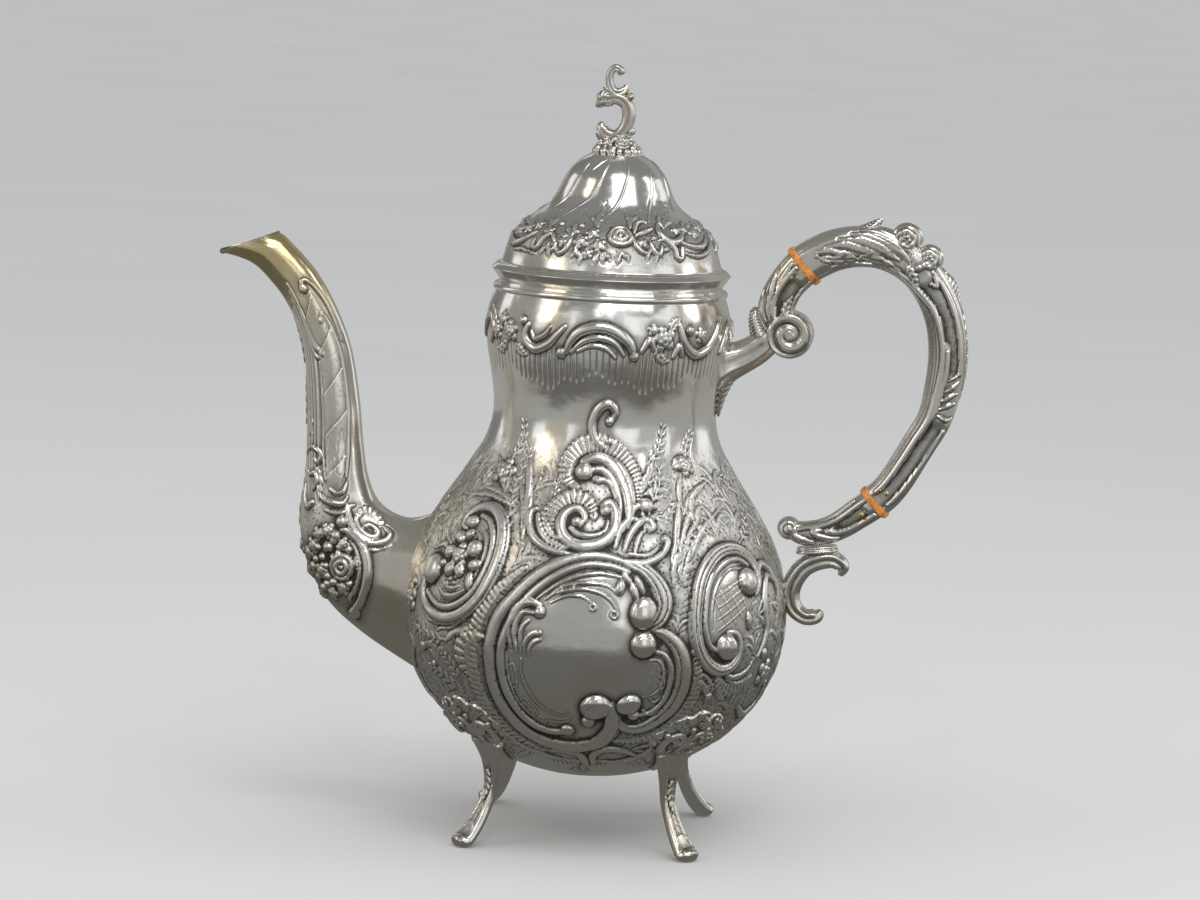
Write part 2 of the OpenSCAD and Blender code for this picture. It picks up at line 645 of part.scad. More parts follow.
// The upper socket: a neck from the insulator down into a volute
volute_centre = upper_joint + [-3.6, -volute_drop];
volute_w = 1.06 * grip_w;
socket_top_t = 0.95 * grip_top_t;
upper_socket_stations = [
    concat(upper_socket_face, [socket_top_t / 2, grip_w / 2]),
    concat(upper_joint + [-5.2, -6.0], [0.47 * socket_top_t, 0.49 * grip_w]),
    concat(upper_joint + [-8.1, -11.6], [0.46 * socket_top_t, 0.48 * grip_w]),
    concat(upper_joint + [-8.9, -16.4], [0.45 * socket_top_t, 0.47 * grip_w]),
    concat(upper_joint + [-8.0, -20.4], [0.36 * socket_top_t, 0.44 * grip_w]),
    concat(volute_centre + [-1.5, 0], [0.22 * socket_top_t, 0.38 * grip_w])];

module volute_drum(grow = 0) {
    eye = 0.27 * volute_r;
    edge = 1.6;
    half = volute_w / 2;
    translate([volute_centre[0], 0, volute_centre[1]]) rotate([90, 0, 0])
        rotate_extrude($fn = 64) polygon([
            [0, -half - 0.7], [eye, -half - 0.4], [eye + 0.6, -half],
            [volute_r - edge + grow, -half], [volute_r - 0.5 + grow, -half + 0.5],
            [volute_r + grow, -half + edge], [volute_r + grow, half - edge],
            [volute_r - 0.5 + grow, half - 0.5], [volute_r - edge + grow, half],
            [eye + 0.6, half], [eye, half + 0.4], [0, half + 0.7]]);
}

module upper_socket_solid() {
    limb(upper_socket_stations, steps = 2, sides = 20, power = grip_power,
        first_angle = upper_joint_angle - 180);
    volute_drum();
}

module upper_socket() {
    color(silver) difference() {
        upper_socket_solid();
        tenons(upper_joint, upper_joint_angle, tenon_fit);
        cross_pins(pin_r + pin_fit, pin_hole_length);
    }
}

// The bracket runs from the volute down to the bulge, with a spur above and a leaf below
bracket_root = [neck_r - 4, shoulder_z - 14];
bracket_mouth = volute_centre + [-volute_r + 1.2, -1.5];
bracket_stations = [
    concat(bracket_mouth, [5.0, 0.40 * grip_w]),
    concat(lerp(bracket_mouth, bracket_root, 0.22) + [0, -1.4], [5.4, 0.40 * grip_w]),
    concat(lerp(bracket_mouth, bracket_root, 0.45) + [0, -1.4], [5.8, 0.46 * grip_w]),
    concat(lerp(bracket_mouth, bracket_root, 0.70) + [0, -0.4], [7.2, 0.56 * grip_w]),
    concat(bracket_root, [9, 0.66 * grip_w])];
bracket_leaf_stations = [
    [neck_r + 6.4, shoulder_z - 11.5, 2.4, 0.40 * grip_w],
    [neck_r + 3.6, shoulder_z - 16.0, 2.2, 0.34 * grip_w],
    [neck_r + 1.4, shoulder_z - 21.5, 1.7, 0.26 * grip_w],
    [neck_r + 0.2, shoulder_z - 27.0, 1.0, 0.12 * grip_w]];
bracket_spur_stations = [
    concat(bracket_mouth + [-3.6, 0.6], [3.4, 0.36 * grip_w]),
    concat(bracket_mouth + [-5.2, 5.0], [2.6, 0.28 * grip_w]),
    concat(bracket_mouth + [-5.6, 8.4], [1.9, 0.2 * grip_w])];

module upper_bracket() {
    color(silver) difference() {
        union() {
            limb(bracket_stations, steps = 2, sides = 20);
            limb(bracket_leaf_stations, steps = 2, sides = 12);
            limb(bracket_spur_stations, steps = 2, sides = 12);
        }
        body_space();
        upper_socket_solid();
    }
}

// The lower socket ends in a knob and stands on the collar
lower_knob = lower_joint + [-28.8, -10.6];
lower_socket_stations = [
    concat(lower_socket_face, [0.47 * grip_bottom_t, 0.47 * grip_w]),
    concat(lower_joint + [-5.0, -4.0], [0.45 * grip_bottom_t, 0.46 * grip_w]),
    concat(lower_joint + [-10.6, -8.3], [0.41 * grip_bottom_t, 0.44 * grip_w]),
    concat(lower_joint + [-16.6, -11.1], [0.39 * grip_bottom_t, 0.42 * grip_w]),
    concat(lower_joint + [-23.4, -12.1], [0.36 * grip_bottom_t, 0.38 * grip_w]),
    concat(lower_knob, [0.26 * grip_bottom_t, 0.3 * grip_w])];
collar_centre = lower_joint - [collar_back, collar_drop];
collar_tilt = 6.5;
collar_w = 0.78 * grip_w;

module lower_socket() {
    color(silver) difference() {
        union() {
            limb(lower_socket_stations, steps = 2, sides = 20, power = 2.2,
                first_angle = lower_joint_angle - 180);
            translate([lower_knob[0], 0, lower_knob[1]]) sphere(r = knob_r, $fn = 32);
        }
        tenons(lower_joint, lower_joint_angle, tenon_fit);
        cross_pins(pin_r + pin_fit, pin_hole_length);
        collar_space();
    }
}

// Half of everything below the collar's upper face, as far as the socket needs it
module collar_space() {
    at_collar() translate([-20, -20, -40]) cube([40, 40, 40 + collar_ring_t]);
}

module at_collar() {
    translate([collar_centre[0], 0, collar_centre[1]]) rotate([0, -collar_tilt, 0]) children();
}

module collar_outline(shrink) {
    straight = (collar_l - collar_w) / 2;
    for (side = [-1, 1])
        translate([side * straight, 0]) circle(d = collar_w - 2 * shrink, $fn = 40);
    square([2 * straight, collar_w - 2 * shrink], center = true);
}

module lower_collar() {
    groove = 0.15;
    color(silver) at_collar() {
        linear_extrude(collar_ring_t) collar_outline(0.4);
        translate([0, 0, -collar_ring_t]) linear_extrude(collar_ring_t - groove) collar_outline(0);
        translate([0, 0, -groove]) linear_extrude(groove) collar_outline(0.7);
    }
}

// The lower bracket: a C-scroll whose back is soldered to the belly
bracket_top = lower_joint + [-18.6, -21.4];
lower_bracket_stations = [
    concat(lower_joint + [-10.4, -26.0], [0.9, 0.10 * grip_w]),
    concat(lower_joint + [-9.7, -22.9], [2.4, 0.26 * grip_w]),
    concat(lower_joint + [-13.2, -20.6], [3.1, 0.34 * grip_w]),
    concat(bracket_top, [3.4, 0.38 * grip_w]),
    concat(lower_joint + [-23.0, -24.0], [3.4, 0.38 * grip_w]),
    concat(lower_joint + [-26.1, -28.6], [3.4, 0.38 * grip_w]),
    concat(lower_joint + [-27.0, -33.4], [3.2, 0.36 * grip_w]),
    concat(lower_joint + [-25.6, -38.2], [3.0, 0.34 * grip_w]),
    concat(lower_joint + [-21.8, -41.0], [2.8, 0.32 * grip_w]),
    concat(lower_joint + [-18.0, -40.6], [2.6, 0.30 * grip_w]),
    concat(lower_joint + [-16.2, -38.8], [1.2, 0.14 * grip_w])];
root_pad_r = 5.4;

module lower_bracket() {
    color(silver) difference() {
        union() {
            limb(lower_bracket_stations, steps = 2, sides = 16);
            translate([belly_r - 8, 0, lower_joint[1] - 33]) rotate([0, 90, 0])
                cylinder(h = 9.2, r = root_pad_r, $fn = 40);
        }
        body_space();
        at_collar() translate([-20, -20, -collar_ring_t]) cube([40, 40, 40]);
    }
}

// ---- lid -----------------------------------------------------------------------------

bezel_r = mouth_r - lid_clearance;
dome_foot_z = rim_z + flange_h;
dome_top_z = dome_foot_z + dome_h;

// The dome from its foot to the edge of the flower collar: shares of its radius and height
dome_shape = [
    [1.000, 0.000],
    [0.973, 0.092],
    [0.931, 0.219],
    [0.851, 0.325],
    [0.720, 0.433],
    [0.611, 0.515],
    [0.541, 0.604],
    [0.491, 0.712],
    [0.435, 0.820],
    [0.341, 0.920],
    [0.240, 0.985]];
dome_line = concat(
    smooth([for (s = dome_shape) [s[0] * dome_r, dome_foot_z + s[1] * dome_h]], 3),
    [[0.8 * collar_r, dome_top_z]]);
dome_inner = inset(dome_line, dome_wall);
dome_inner_line = concat(
    [[dome_r - dome_wall, dome_foot_z]],
    [for (i = [1:len(dome_line) - 2]) dome_inner[i]],
    [[washer_r + 0.6, dome_top_z - dome_wall]],
    [[stud_r + stud_fit, dome_top_z - dome_wall]]);

module lid_dome() {
    color(silver) rotate_extrude($fn = revolve_fn)
        polygon(concat(dome_line, [[stud_r + stud_fit, dome_top_z]], reversed(dome_inner_line)));
}

module lid_flange() {
    tip_z = rim_z + 0.62 * flange_h;
    color(silver) rotate_extrude($fn = revolve_fn) polygon([
        [bezel_r, rim_z],
        [rim_r, rim_z],
        [rim_r + 0.5, rim_z + 0.9],
        [lerp(rim_r, flange_r, 0.6), lerp(rim_z, tip_z, 0.62)],
        [flange_r - 0.25, tip_z - 0.45],
        [flange_r, tip_z],
        [flange_r - 0.3, tip_z + 0.4],
        [lerp(dome_r, flange_r, 0.45), lerp(tip_z, dome_foot_z, 0.62)],
        [dome_r + 0.5, dome_foot_z - 0.5],
        [dome_r + 0.2, dome_foot_z],
        [bezel_r, dome_foot_z]]);
}

module lid_bezel() {
    color(silver) translate([0, 0, rim_z - bezel_depth]) difference() {
        cylinder(h = bezel_depth + flange_h, r = bezel_r, $fn = revolve_fn);
        translate([0, 0, -1])
            cylinder(h = bezel_depth + flange_h + 2, r = bezel_r - bezel_wall, $fn = revolve_fn);
    }
}

collar_top_z = dome_top_z + collar_h;
flower_count = 6;

module finial_collar() {
    bead_r = 0.27 * collar_r;
    color(aged_silver) difference() {
        union() {
            translate([0, 0, dome_top_z])
                cylinder(h = collar_h, r1 = collar_r - 0.6 * bead_r, r2 = 0.34 * collar_r, $fn = 48);
            for (i = [0:flower_count - 1]) rotate(360 * i / flower_count) {
                translate([collar_r - bead_r, 0, dome_top_z + 0.75 * bead_r])
                    sphere(r = bead_r, $fn = 24);
                rotate(180 / flower_count)
                    translate([0.60 * collar_r, 0, dome_top_z + 0.55 * collar_h])
                        sphere(r = bead_r, $fn = 24);
            }
        }
        translate([0, 0, dome_top_z - 10]) cube([4 * collar_r, 4 * collar_r, 20], center = true);
        translate([0, 0, dome_top_z - 1]) cylinder(h = collar_h + 4, r = stud_r + stud_fit, $fn = 24);
    }
}

// Two openwork C-scrolls back to back: shares of the finial's height, across and up
finial_lower_shape = [
    [-0.205, 0.400, 0.045, 0.05],
    [-0.185, 0.485, 0.080, 0.08],
    [-0.065, 0.530, 0.070, 0.09],
    [0.070, 0.480, 0.070, 0.09],
    [0.140, 0.350, 0.072, 0.09],
    [0.135, 0.190, 0.070, 0.09],
    [0.060, 0.040, 0.068, 0.09],
    [-0.060, -0.020, 0.066, 0.09],
    [-0.185, 0.015, 0.068, 0.09],
    [-0.235, 0.105, 0.058, 0.08],
    [-0.215, 0.165, 0.030, 0.04]];
finial_upper_shape = [
    [0.020, 0.885, 0.040, 0.05],
    [-0.020, 0.940, 0.044, 0.07],
    [-0.100, 0.950, 0.042, 0.07],
    [-0.155, 0.850, 0.042, 0.07],
    [-0.145, 0.720, 0.044, 0.07],
    [-0.080, 0.620, 0.048, 0.08],
    [0.010, 0.610, 0.050, 0.08],
    [0.075, 0.660, 0.044, 0.06],
    [0.095, 0.725, 0.022, 0.03]];
function finial_stations(shape) = [
    for (s = shape) [s[0], s[1], s[2], s[3]] * finial_h + [0, collar_top_z, 0, 0]];

// The lower scroll is filed flat where it stands on the collar, and the stud grows out of it
module finial() {
    stud_bottom = dome_top_z - dome_wall - washer_t - nut_h - 1;
    stud_root = 0.5;
    color(aged_silver) {
        difference() {
            limb(finial_stations(finial_lower_shape), steps = 3, sides = 12);
            translate([0, 0, collar_top_z - 10]) cube([4 * collar_r, 4 * collar_r, 20], center = true);
        }
        limb(finial_stations(finial_upper_shape), steps = 3, sides = 12);
        translate([0, 0, stud_bottom])
            cylinder(h = collar_top_z + stud_root - stud_bottom, r = stud_r, $fn = 24);
    }
}

module finial_washer() {
    color(brass_colour) translate([0, 0, dome_top_z - dome_wall - washer_t]) difference() {
        cylinder(h = washer_t, r = washer_r, $fn = 48);
        translate([0, 0, -1]) cylinder(h = washer_t + 2, r = stud_r + stud_fit, $fn = 24);
    }
}

module finial_nut() {
    color(brass_colour) translate([0, 0, dome_top_z - dome_wall - washer_t - nut_h]) difference() {
        cylinder(h = nut_h, d = nut_flats / cos(30), $fn = 6);
        translate([0, 0, -1]) cylinder(h = nut_h + 2, r = stud_r + stud_fit, $fn = 24);
    }
}

// ---- assembly ------------------------------------------------------------------------

module on_axis() { translate([axis_x, 0, 0]) children(); }

on_axis() body_shell();
on_axis() mouth_wire();
on_axis() spout();
on_axis() spout_lip();
on_axis() foot_front_left();
on_axis() foot_front_right();
on_axis() foot_back_left();
on_axis() foot_back_right();
on_axis() upper_bracket();
on_axis() upper_socket();
on_axis() upper_insulator();
on_axis() handle_grip();
on_axis() lower_insulator();
on_axis() lower_socket();
on_axis() lower_collar();
on_axis() lower_bracket();
on_axis() handle_pins();
on_axis() lid_dome();
on_axis() lid_flange();
on_axis() lid_bezel();
on_axis() finial_collar();
on_axis() finial();
on_axis() finial_washer();
on_axis() finial_nut();
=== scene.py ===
"""The finished look of a silver coffee pot: chased sheet, cast mounts, insulators and a plain pale studio."""
import logging
import math
from dataclasses import dataclass, field
from enum import Enum
from typing import Callable, Optional, Sequence

import bpy
import numpy as np
from mathutils import Matrix, Vector


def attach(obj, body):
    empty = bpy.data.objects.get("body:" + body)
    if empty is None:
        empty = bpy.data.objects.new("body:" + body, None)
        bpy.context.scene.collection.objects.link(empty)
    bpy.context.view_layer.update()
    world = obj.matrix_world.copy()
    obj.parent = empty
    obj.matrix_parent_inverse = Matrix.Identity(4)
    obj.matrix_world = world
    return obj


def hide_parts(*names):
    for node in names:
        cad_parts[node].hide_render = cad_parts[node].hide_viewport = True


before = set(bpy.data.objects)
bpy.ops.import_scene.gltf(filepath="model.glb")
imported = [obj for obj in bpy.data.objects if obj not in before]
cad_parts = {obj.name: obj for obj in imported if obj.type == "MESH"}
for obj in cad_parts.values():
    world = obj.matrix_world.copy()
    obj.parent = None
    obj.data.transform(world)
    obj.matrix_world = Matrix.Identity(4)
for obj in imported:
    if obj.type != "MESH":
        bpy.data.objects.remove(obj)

Array = np.ndarray
MM = 0.001
AXIS_X = 6.5258
LOG = logging.getLogger("coffee_pot")
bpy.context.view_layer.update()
GRID_MM = 0.43
# a stroke's step and thinnest half width in mm, and the groove that runs round it
TRACE_STEP = 0.4
THINNEST = 0.05
OUTLINE_REACH, OUTLINE_MIDDLE, OUTLINE_HALF = 0.8, 0.28, 0.34
BAND_OUTLINE = 0.3
FLUTE_SLANT = 0.9  # mm that a leaf's flute runs forward for each mm outwards
BARE_GROUND, MATTED_GROUND = 0.15, 0.4  # the highest relief and the least matting that a frond stands on
ROUND_TURNS = np.radians(np.arange(0, 361, 30))
# The gold of a painted warm reflection on the spout's top and its lip.
PAINTED_WARM_REFLECTION_GOLD = (0.80, 0.66, 0.33, 1)
PUNCH_MARKS = 700.0  # a metre


# ---- curves and surfaces ---------------------------------------------------------------------------


def smooth_line(stations: Sequence[Sequence[float]], steps: int) -> Array:
    """Carry a smooth line through stations of any dimension.

    Between two neighbours the line is a Catmull-Rom cubic: half of (2b + (c-a)t + (2a-5b+4c-d)t^2 +
    (3b-a-3c+d)t^3), with the end stations doubled.

    Args:
        stations: the points that the line passes, one row each.
        steps: steps between two neighbours.

    Returns:
        The points, (len(stations) - 1) * steps + 1 rows.
    """
    p = np.asarray(stations, float)
    p = np.concatenate([p[:1], p, p[-1:]])
    t = (np.arange(steps) / steps)[None, :, None]
    a, b, c, d = (p[i:len(p) - 3 + i, None, :] for i in range(4))
    spans = 0.5 * (2 * b + (c - a) * t + (2 * a - 5 * b + 4 * c - d) * t ** 2
                   + (3 * b - a - 3 * c + d) * t ** 3)
    return np.concatenate([spans.reshape(-1, p.shape[1]), p[-2:-1]])


def run_lengths(line: Array, axes: slice = slice(None)) -> Array:
    """Return the length along a line at each of its points, from zero, over the given coordinates."""
    steps = np.linalg.norm(np.diff(line[:, axes], axis=0), axis=1)
    return np.concatenate([[0.0], np.cumsum(steps)])


def even_line(line: Array, step: float, axes: slice = slice(None)) -> Array:
    """Put points on a line again at even distances.

    Args:
        line: the points.
        step: the distance wanted between neighbours.
        axes: the coordinates that count as distance.

    Returns:
        The line with even steps; coordinates outside axes are carried along.
    """
    length = run_lengths(line, axes)
    count = max(2, int(round(length[-1] / step)) + 1)
    at = np.linspace(0, length[-1], count)
    return np.stack([np.interp(at, length, line[:, k]) for k in range(line.shape[1])], axis=1)


def soft_step(x: Array, low: float, high: float) -> Array:
    """Return 0 below low, 1 above high and the cubic 3t^2 - 2t^3 between them."""
    t = np.clip((x - low) / (high - low), 0, 1)
    return t * t * (3 - 2 * t)


def box_blur(values: Array, radius: int, wrap: bool) -> Array:
    """Average a grid over square windows, twice, by differences of running sums.

    Args:
        values: rows by columns.
        radius: half the window, in cells.
        wrap: whether the columns close round.

    Returns:
        The blurred grid.
    """
    size = 2 * radius + 1
    for _ in range(2):
        for axis, mode in ((0, "edge"), (1, "wrap" if wrap else "edge")):
            pad = [(0, 0), (0, 0)]
            pad[axis] = (radius + 1, radius)
            total = np.cumsum(np.pad(values, pad, mode=mode), axis=axis)
            ahead = np.take(total, range(size, total.shape[axis]), axis=axis)
            behind = np.take(total, range(0, total.shape[axis] - size), axis=axis)
            values = (ahead - behind) / size
    return values


@dataclass
class Surface:
    """A grid of points in mm, with a row coordinate u (up or along) and a column coordinate v (round)."""

    points: Array
    u: Array
    v: Array
    wrap: bool = False
    outward: float = 1.0

    def tangents(self, points: Optional[Array] = None) -> tuple[Array, Array]:
        """Return the unscaled tangents along the rows and along the columns."""
        p = self.points if points is None else points
        along = np.gradient(p, axis=0)
        if self.wrap:
            around = (np.roll(p, -1, axis=1) - np.roll(p, 1, axis=1)) / 2
        else:
            around = np.gradient(p, axis=1)
        return along, around

    def normals(self, points: Optional[Array] = None) -> Array:
        """Return unit outward normals: the cross product of the two tangents."""
        along, around = self.tangents(points)
        n = np.cross(around, along) * self.outward
        return n / np.maximum(np.linalg.norm(n, axis=2, keepdims=True), 1e-9)

    def index(self, v: Array, u: Array) -> tuple[Array, Array]:
        """Return the fractional row and column of surface coordinates."""
        row = np.interp(u, self.u, np.arange(len(self.u)))
        if self.wrap:
            span = self.v[1] - self.v[0]
            return row, (np.asarray(v, float) - self.v[0]) / span
        return row, np.interp(v, self.v, np.arange(len(self.v)))

    def place(self, v: Array, u: Array) -> Array:
        """Return the points at surface coordinates, by bilinear blending of the grid."""
        row, col = self.index(v, u)
        rows, cols = self.points.shape[:2]
        r0 = np.clip(np.floor(row).astype(int), 0, rows - 2)
        fr = (row - r0)[..., None]
        c0 = np.floor(col).astype(int)
        if not self.wrap:
            c0 = np.clip(c0, 0, cols - 2)
        fc = (col - c0)[..., None]
        c1 = (c0 + 1) % cols
        c0 = c0 % cols
        p = self.points
        return ((p[r0, c0] * (1 - fc) + p[r0, c1] * fc) * (1 - fr)
                + (p[r0 + 1, c0] * (1 - fc) + p[r0 + 1, c1] * fc) * fr)

    def rates(self, v: float, u: float) -> tuple[float, float]:
        """Return mm of surface for one unit of v and for one unit of u at a place."""
        dv = (self.v[-1] - self.v[0]) * 0.004
        du = (self.u[-1] - self.u[0]) * 0.004
        u0 = min(max(u, self.u[0] + du), self.u[-1] - du)
        p = self.place(np.array([v - dv, v + dv, v, v]), np.array([u0, u0, u0 - du, u0 + du]))
        return (max(np.linalg.norm(p[1] - p[0]) / (2 * dv), 1e-3),
                max(np.linalg.norm(p[3] - p[2]) / (2 * du), 1e-3))


# ---- the chaser's strokes --------------------------------------------------------------------------


class Shape(Enum):
    """Cross-sections of a chased stroke."""

    BEAD = "round bead"
    RIDGE = "soft ridge"
    LEAN = "high on the left, falling off to the right"


def section_of(shape: Shape, x: Array) -> Array:
    """Return the height share across a stroke, x from -1 to 1, zero outside.

    BEAD is the half circle, RIDGE the raised cosine, and LEAN the half circle times a straight slope.
    """
    inside = np.abs(x) < 1
    arch = np.sqrt(np.clip(1 - x * x, 0, 1))
    if shape is Shape.BEAD:
        h = arch
    elif shape is Shape.RIDGE:
        h = 0.5 + 0.5 * np.cos(np.pi * np.clip(x, -1, 1))
    else:
        h = arch * (0.55 + 0.45 * x)
    return np.where(inside, h, 0.0)


@dataclass
class Trace:
    """A stroke's middle line on a surface, with its frame at each sample."""

    points: Array
    tangent: Array
    side: Array
    run: Array
    low: tuple[float, float]
    high: tuple[float, float]


@dataclass
class Relief:
    """Chased relief over a surface: heights in mm along the outward normal, and how matted the ground is."""

    surface: Surface
    height: Array = field(init=False)
    matting: Array = field(init=False)

    def __post_init__(self) -> None:
        """Start with a plain surface."""
        self.height = np.zeros(self.surface.points.shape[:2])
        self.matting = np.zeros_like(self.height)
        self._normals = self.surface.normals()

    def grid(self) -> tuple[Array, ...]:
        """Return v and u at every cell."""
        return tuple(np.meshgrid(self.surface.v, self.surface.u))

    # -- finding the grid points near a stroke --

    def trace(self, path: Sequence[Sequence[float]]) -> Trace:
        """Lay a smooth line through (v, u) stations on the surface.

        Args:
            path: the stations.

        Returns:
            The line's samples with tangents, left-hand sides and run lengths.
        """
        s = self.surface
        flat = smooth_line(path, 12) if len(path) > 1 else np.asarray(path, float)
        solid = s.place(flat[:, 0], flat[:, 1])
        both = even_line(np.concatenate([solid, flat], axis=1), TRACE_STEP, slice(0, 3))
        points = both[:, :3]
        row, col = s.index(both[:, 3], both[:, 4])
        r = np.clip(np.round(row).astype(int), 0, len(s.u) - 1)
        c = np.round(col).astype(int) % len(s.v) if s.wrap else np.clip(
            np.round(col).astype(int), 0, len(s.v) - 1)
        tangent = np.gradient(points, axis=0)
        tangent /= np.maximum(np.linalg.norm(tangent, axis=1, keepdims=True), 1e-9)
        side = np.cross(self._normals[r, c], tangent)
        return Trace(points, tangent, side, run_lengths(points),
                     (both[:, 3].min(), both[:, 4].min()), (both[:, 3].max(), both[:, 4].max()))

    def window(self, low: tuple[float, float], high: tuple[float, float],
               reach: float) -> Optional[tuple[Array, Array]]:
        """Return the index grid of the cells within reach of a box in (v, u), or None if it is empty."""
        s = self.surface
        mid_v = (low[0] + high[0]) / 2
        lowest = min((s.rates(mid_v, u) for u in (low[1], (low[1] + high[1]) / 2, high[1])),
                     key=lambda rate: rate[0])
        rate_u = min(s.rates(mid_v, u)[1] for u in (low[1], high[1]))
        dv, du = 1.2 * reach / lowest[0], 1.2 * reach / rate_u
        (r0, c0), (r1, c1) = (s.index(low[0] - dv, low[1] - du), s.index(high[0] + dv, high[1] + du))
        rows = np.arange(max(int(r0), 0), min(int(r1) + 2, len(s.u)))
        if s.wrap:
            cols = np.arange(int(math.floor(c0)), int(c1) + 2)[:len(s.v)] % len(s.v)
        else:
            cols = np.arange(max(int(c0), 0), min(int(c1) + 2, len(s.v)))
        return np.ix_(rows, cols) if len(rows) and len(cols) else None

    def near(self, trace: Trace, reach: float) -> Optional[tuple[tuple, Array, Array, Array]]:
        """Measure the cells near a line.

        Args:
            trace: the line.
            reach: how far from it cells matter, in mm.

        Returns:
            The window, the signed distance across (left is positive), the share along the line from 0 to
            1 and the run along it in mm, or None if nothing is near.
        """
        win = self.window(trace.low, trace.high, reach)
        if win is None:
            return None
        cells = self.surface.points[win]
        flat = cells.reshape(-1, 3)
        dots = flat @ trace.points.T
        square = (flat ** 2).sum(1)[:, None] - 2 * dots + (trace.points ** 2).sum(1)[None]
        k = square.argmin(1)
        away = flat - trace.points[k]
        along = (away * trace.tangent[k]).sum(1)
        across = (away * trace.side[k]).sum(1)
        past = ((k == 0) & (along < 0)) | ((k == len(trace.points) - 1) & (along > 0))
        far = np.sqrt(np.maximum((away ** 2).sum(1), 0))
        across = np.where(past, np.where(across < 0, -far, far), across)
        across = np.where(far > 3 * reach + 1, 1e3, across)
        run = trace.run[k] + np.where(past, 0, along)
        share = np.clip(run / max(trace.run[-1], 1e-9), 0, 1)
        shape = cells.shape[:2]
        return win, across.reshape(shape), share.reshape(shape), run.reshape(shape)

    # -- strokes --

    def stroke(self, path: Sequence[Sequence[float]], width: float | Sequence[float], height: float,
               shape: Shape = Shape.BEAD, dip: float = 0.12, base: float = 0.0) -> None:
        """Raise a stroke along a path: the cross-section times the height, with a sunk outline.

        Args:
            path: (v, u) stations.
            width: half the stroke's width in mm, or several values spread evenly from start to end.
            height: height at full width in mm; a narrower place is lower in proportion.
            shape: the cross-section.
            dip: twice the depth of the groove round it, in mm.
            base: height of the ground that the stroke stands on, in mm.
        """
        widths = np.atleast_1d(np.asarray(width, float))
        trace = self.trace(path)
        found = self.near(trace, widths.max() + OUTLINE_REACH)
        if found is None:
            return
        win, across, share, _ = found
        local = np.interp(share, np.linspace(0, 1, len(widths)), widths)
        x = across / np.maximum(local, THINNEST)
        rise = height * (local / widths.max()) ** 0.7
        self.press(win, rise * section_of(shape, x), np.abs(x) < 1,
                   np.abs(across) - local, dip, base)

    def press(self, win: tuple, raised: Array, inside: Array, outside: Array, dip: float,
              base: float) -> None:
        """Merge raised heights into the relief: the higher wins, and a fine groove runs round the edge."""
        h = self.height[win]
        h = np.where(inside, np.maximum(h, base + raised), h)
        if dip:
            dip *= 0.5
            groove = dip * np.clip(1 - np.abs(outside - OUTLINE_MIDDLE) / OUTLINE_HALF, 0, 1)
            h = np.where(inside, h, np.maximum(h - groove, np.minimum(h, -dip)))
        self.height[win] = h

    def reeded(self, path: Sequence[Sequence[float]], width: float | Sequence[float], height: float,
               cuts: Sequence[float] = (0.0,)) -> None:
        """Raise a flat-topped band along a path, with cuts that run along it.

        The section is 1 less the 2.6th power of x, raised to 0.55, less a narrow bell at each cut.

        Args:
            path: (v, u) stations.
            width: half the band's width in mm, or several values from start to end.
            height: height at full width.
            cuts: where the cuts run, from -1 on the right to 1 on the left.
        """
        widths = np.atleast_1d(np.asarray(width, float))
        found = self.near(self.trace(path), widths.max() + OUTLINE_REACH)
        if found is None:
            return
        win, across, share, _ = found
        local = np.interp(share, np.linspace(0, 1, len(widths)), widths)
        x = across / np.maximum(local, THINNEST)
        raised = np.clip(1 - np.abs(x) ** 2.6, 0, 1) ** 0.55
        for place in cuts:
            raised = raised - 0.42 * np.exp(-((x - place) * local / 0.34) ** 2)
        self.press(win, height * (local / widths.max()) ** 0.7 * raised, np.abs(x) < 1,
                   np.abs(across) - local, BAND_OUTLINE, 0.0)

    def frill(self, path: Sequence[Sequence[float]], reach: float, pitch: float, height: float,
              lean: float = 0.0) -> None:
        """Raise a shell edge beside a path: round ribs, thin cuts between them and a scalloped rim.

        With share s of the path, the rim stands at reach times sin(pi (0.07 + 0.88 s))^0.6, and swings with
        the ribs; the height grows from the path to the rim.

        Args:
            path: (v, u) stations.
            reach: width of the edge in mm, to the left of the path; negative is to the right.
            pitch: distance between ribs along the path.
            height: height of the ribs at the rim.
            lean: how many mm of run each mm across adds.
        """
        found = self.near(self.trace(path), abs(reach) + OUTLINE_REACH)
        if found is None:
            return
        win, across, share, run = found
        away = across * math.copysign(1, reach)
        rib = np.abs(np.cos(np.pi * (run + lean * away) / pitch))
        rim = abs(reach) * np.sin(np.pi * (0.07 + 0.88 * share)) ** 0.6 * (0.86 + 0.14 * rib)
        t = away / np.maximum(rim, 0.1)
        raised = height * (0.5 + 0.5 * np.clip(t, 0, 1)) * (0.15 + 0.85 * rib ** 0.55) * np.clip(
            1 - np.clip(t, 0, 1) ** 9, 0, 1) ** 0.5
        self.press(win, raised, (t > 0) & (t < 1), np.where(away > 0, away - rim, 9.0), 0.25, 0.0)

    def fan(self, root: Sequence[float], tips: Sequence[Sequence[float]], bend: float, width: float,
            height: float) -> None:
        """Draw a spray of long fronds: curved pointed strokes from one root to each tip.

        Args:
            root: (v, u) of the root.
            tips: (v, u) of the tips.
            bend: how far the middle of each frond stands to the side, as a share of its length.
            width: half the width of a frond at its middle.
            height: its height.
        """
        rate_v, rate_u = self.surface.rates(root[0], root[1])
        for tip in tips:
            dv, du = (tip[0] - root[0]) * rate_v, (tip[1] - root[1]) * rate_u
            side = math.copysign(bend, dv)
            mid = (root[0] + (0.5 * dv - side * du) / rate_v, root[1] + (0.5 * du + side * dv) / rate_u)
            self.stroke([root, mid, tip], [0.25 * width, 0.8 * width, width, 0.15 * width], height,
                Shape.LEAN, dip=0.2)

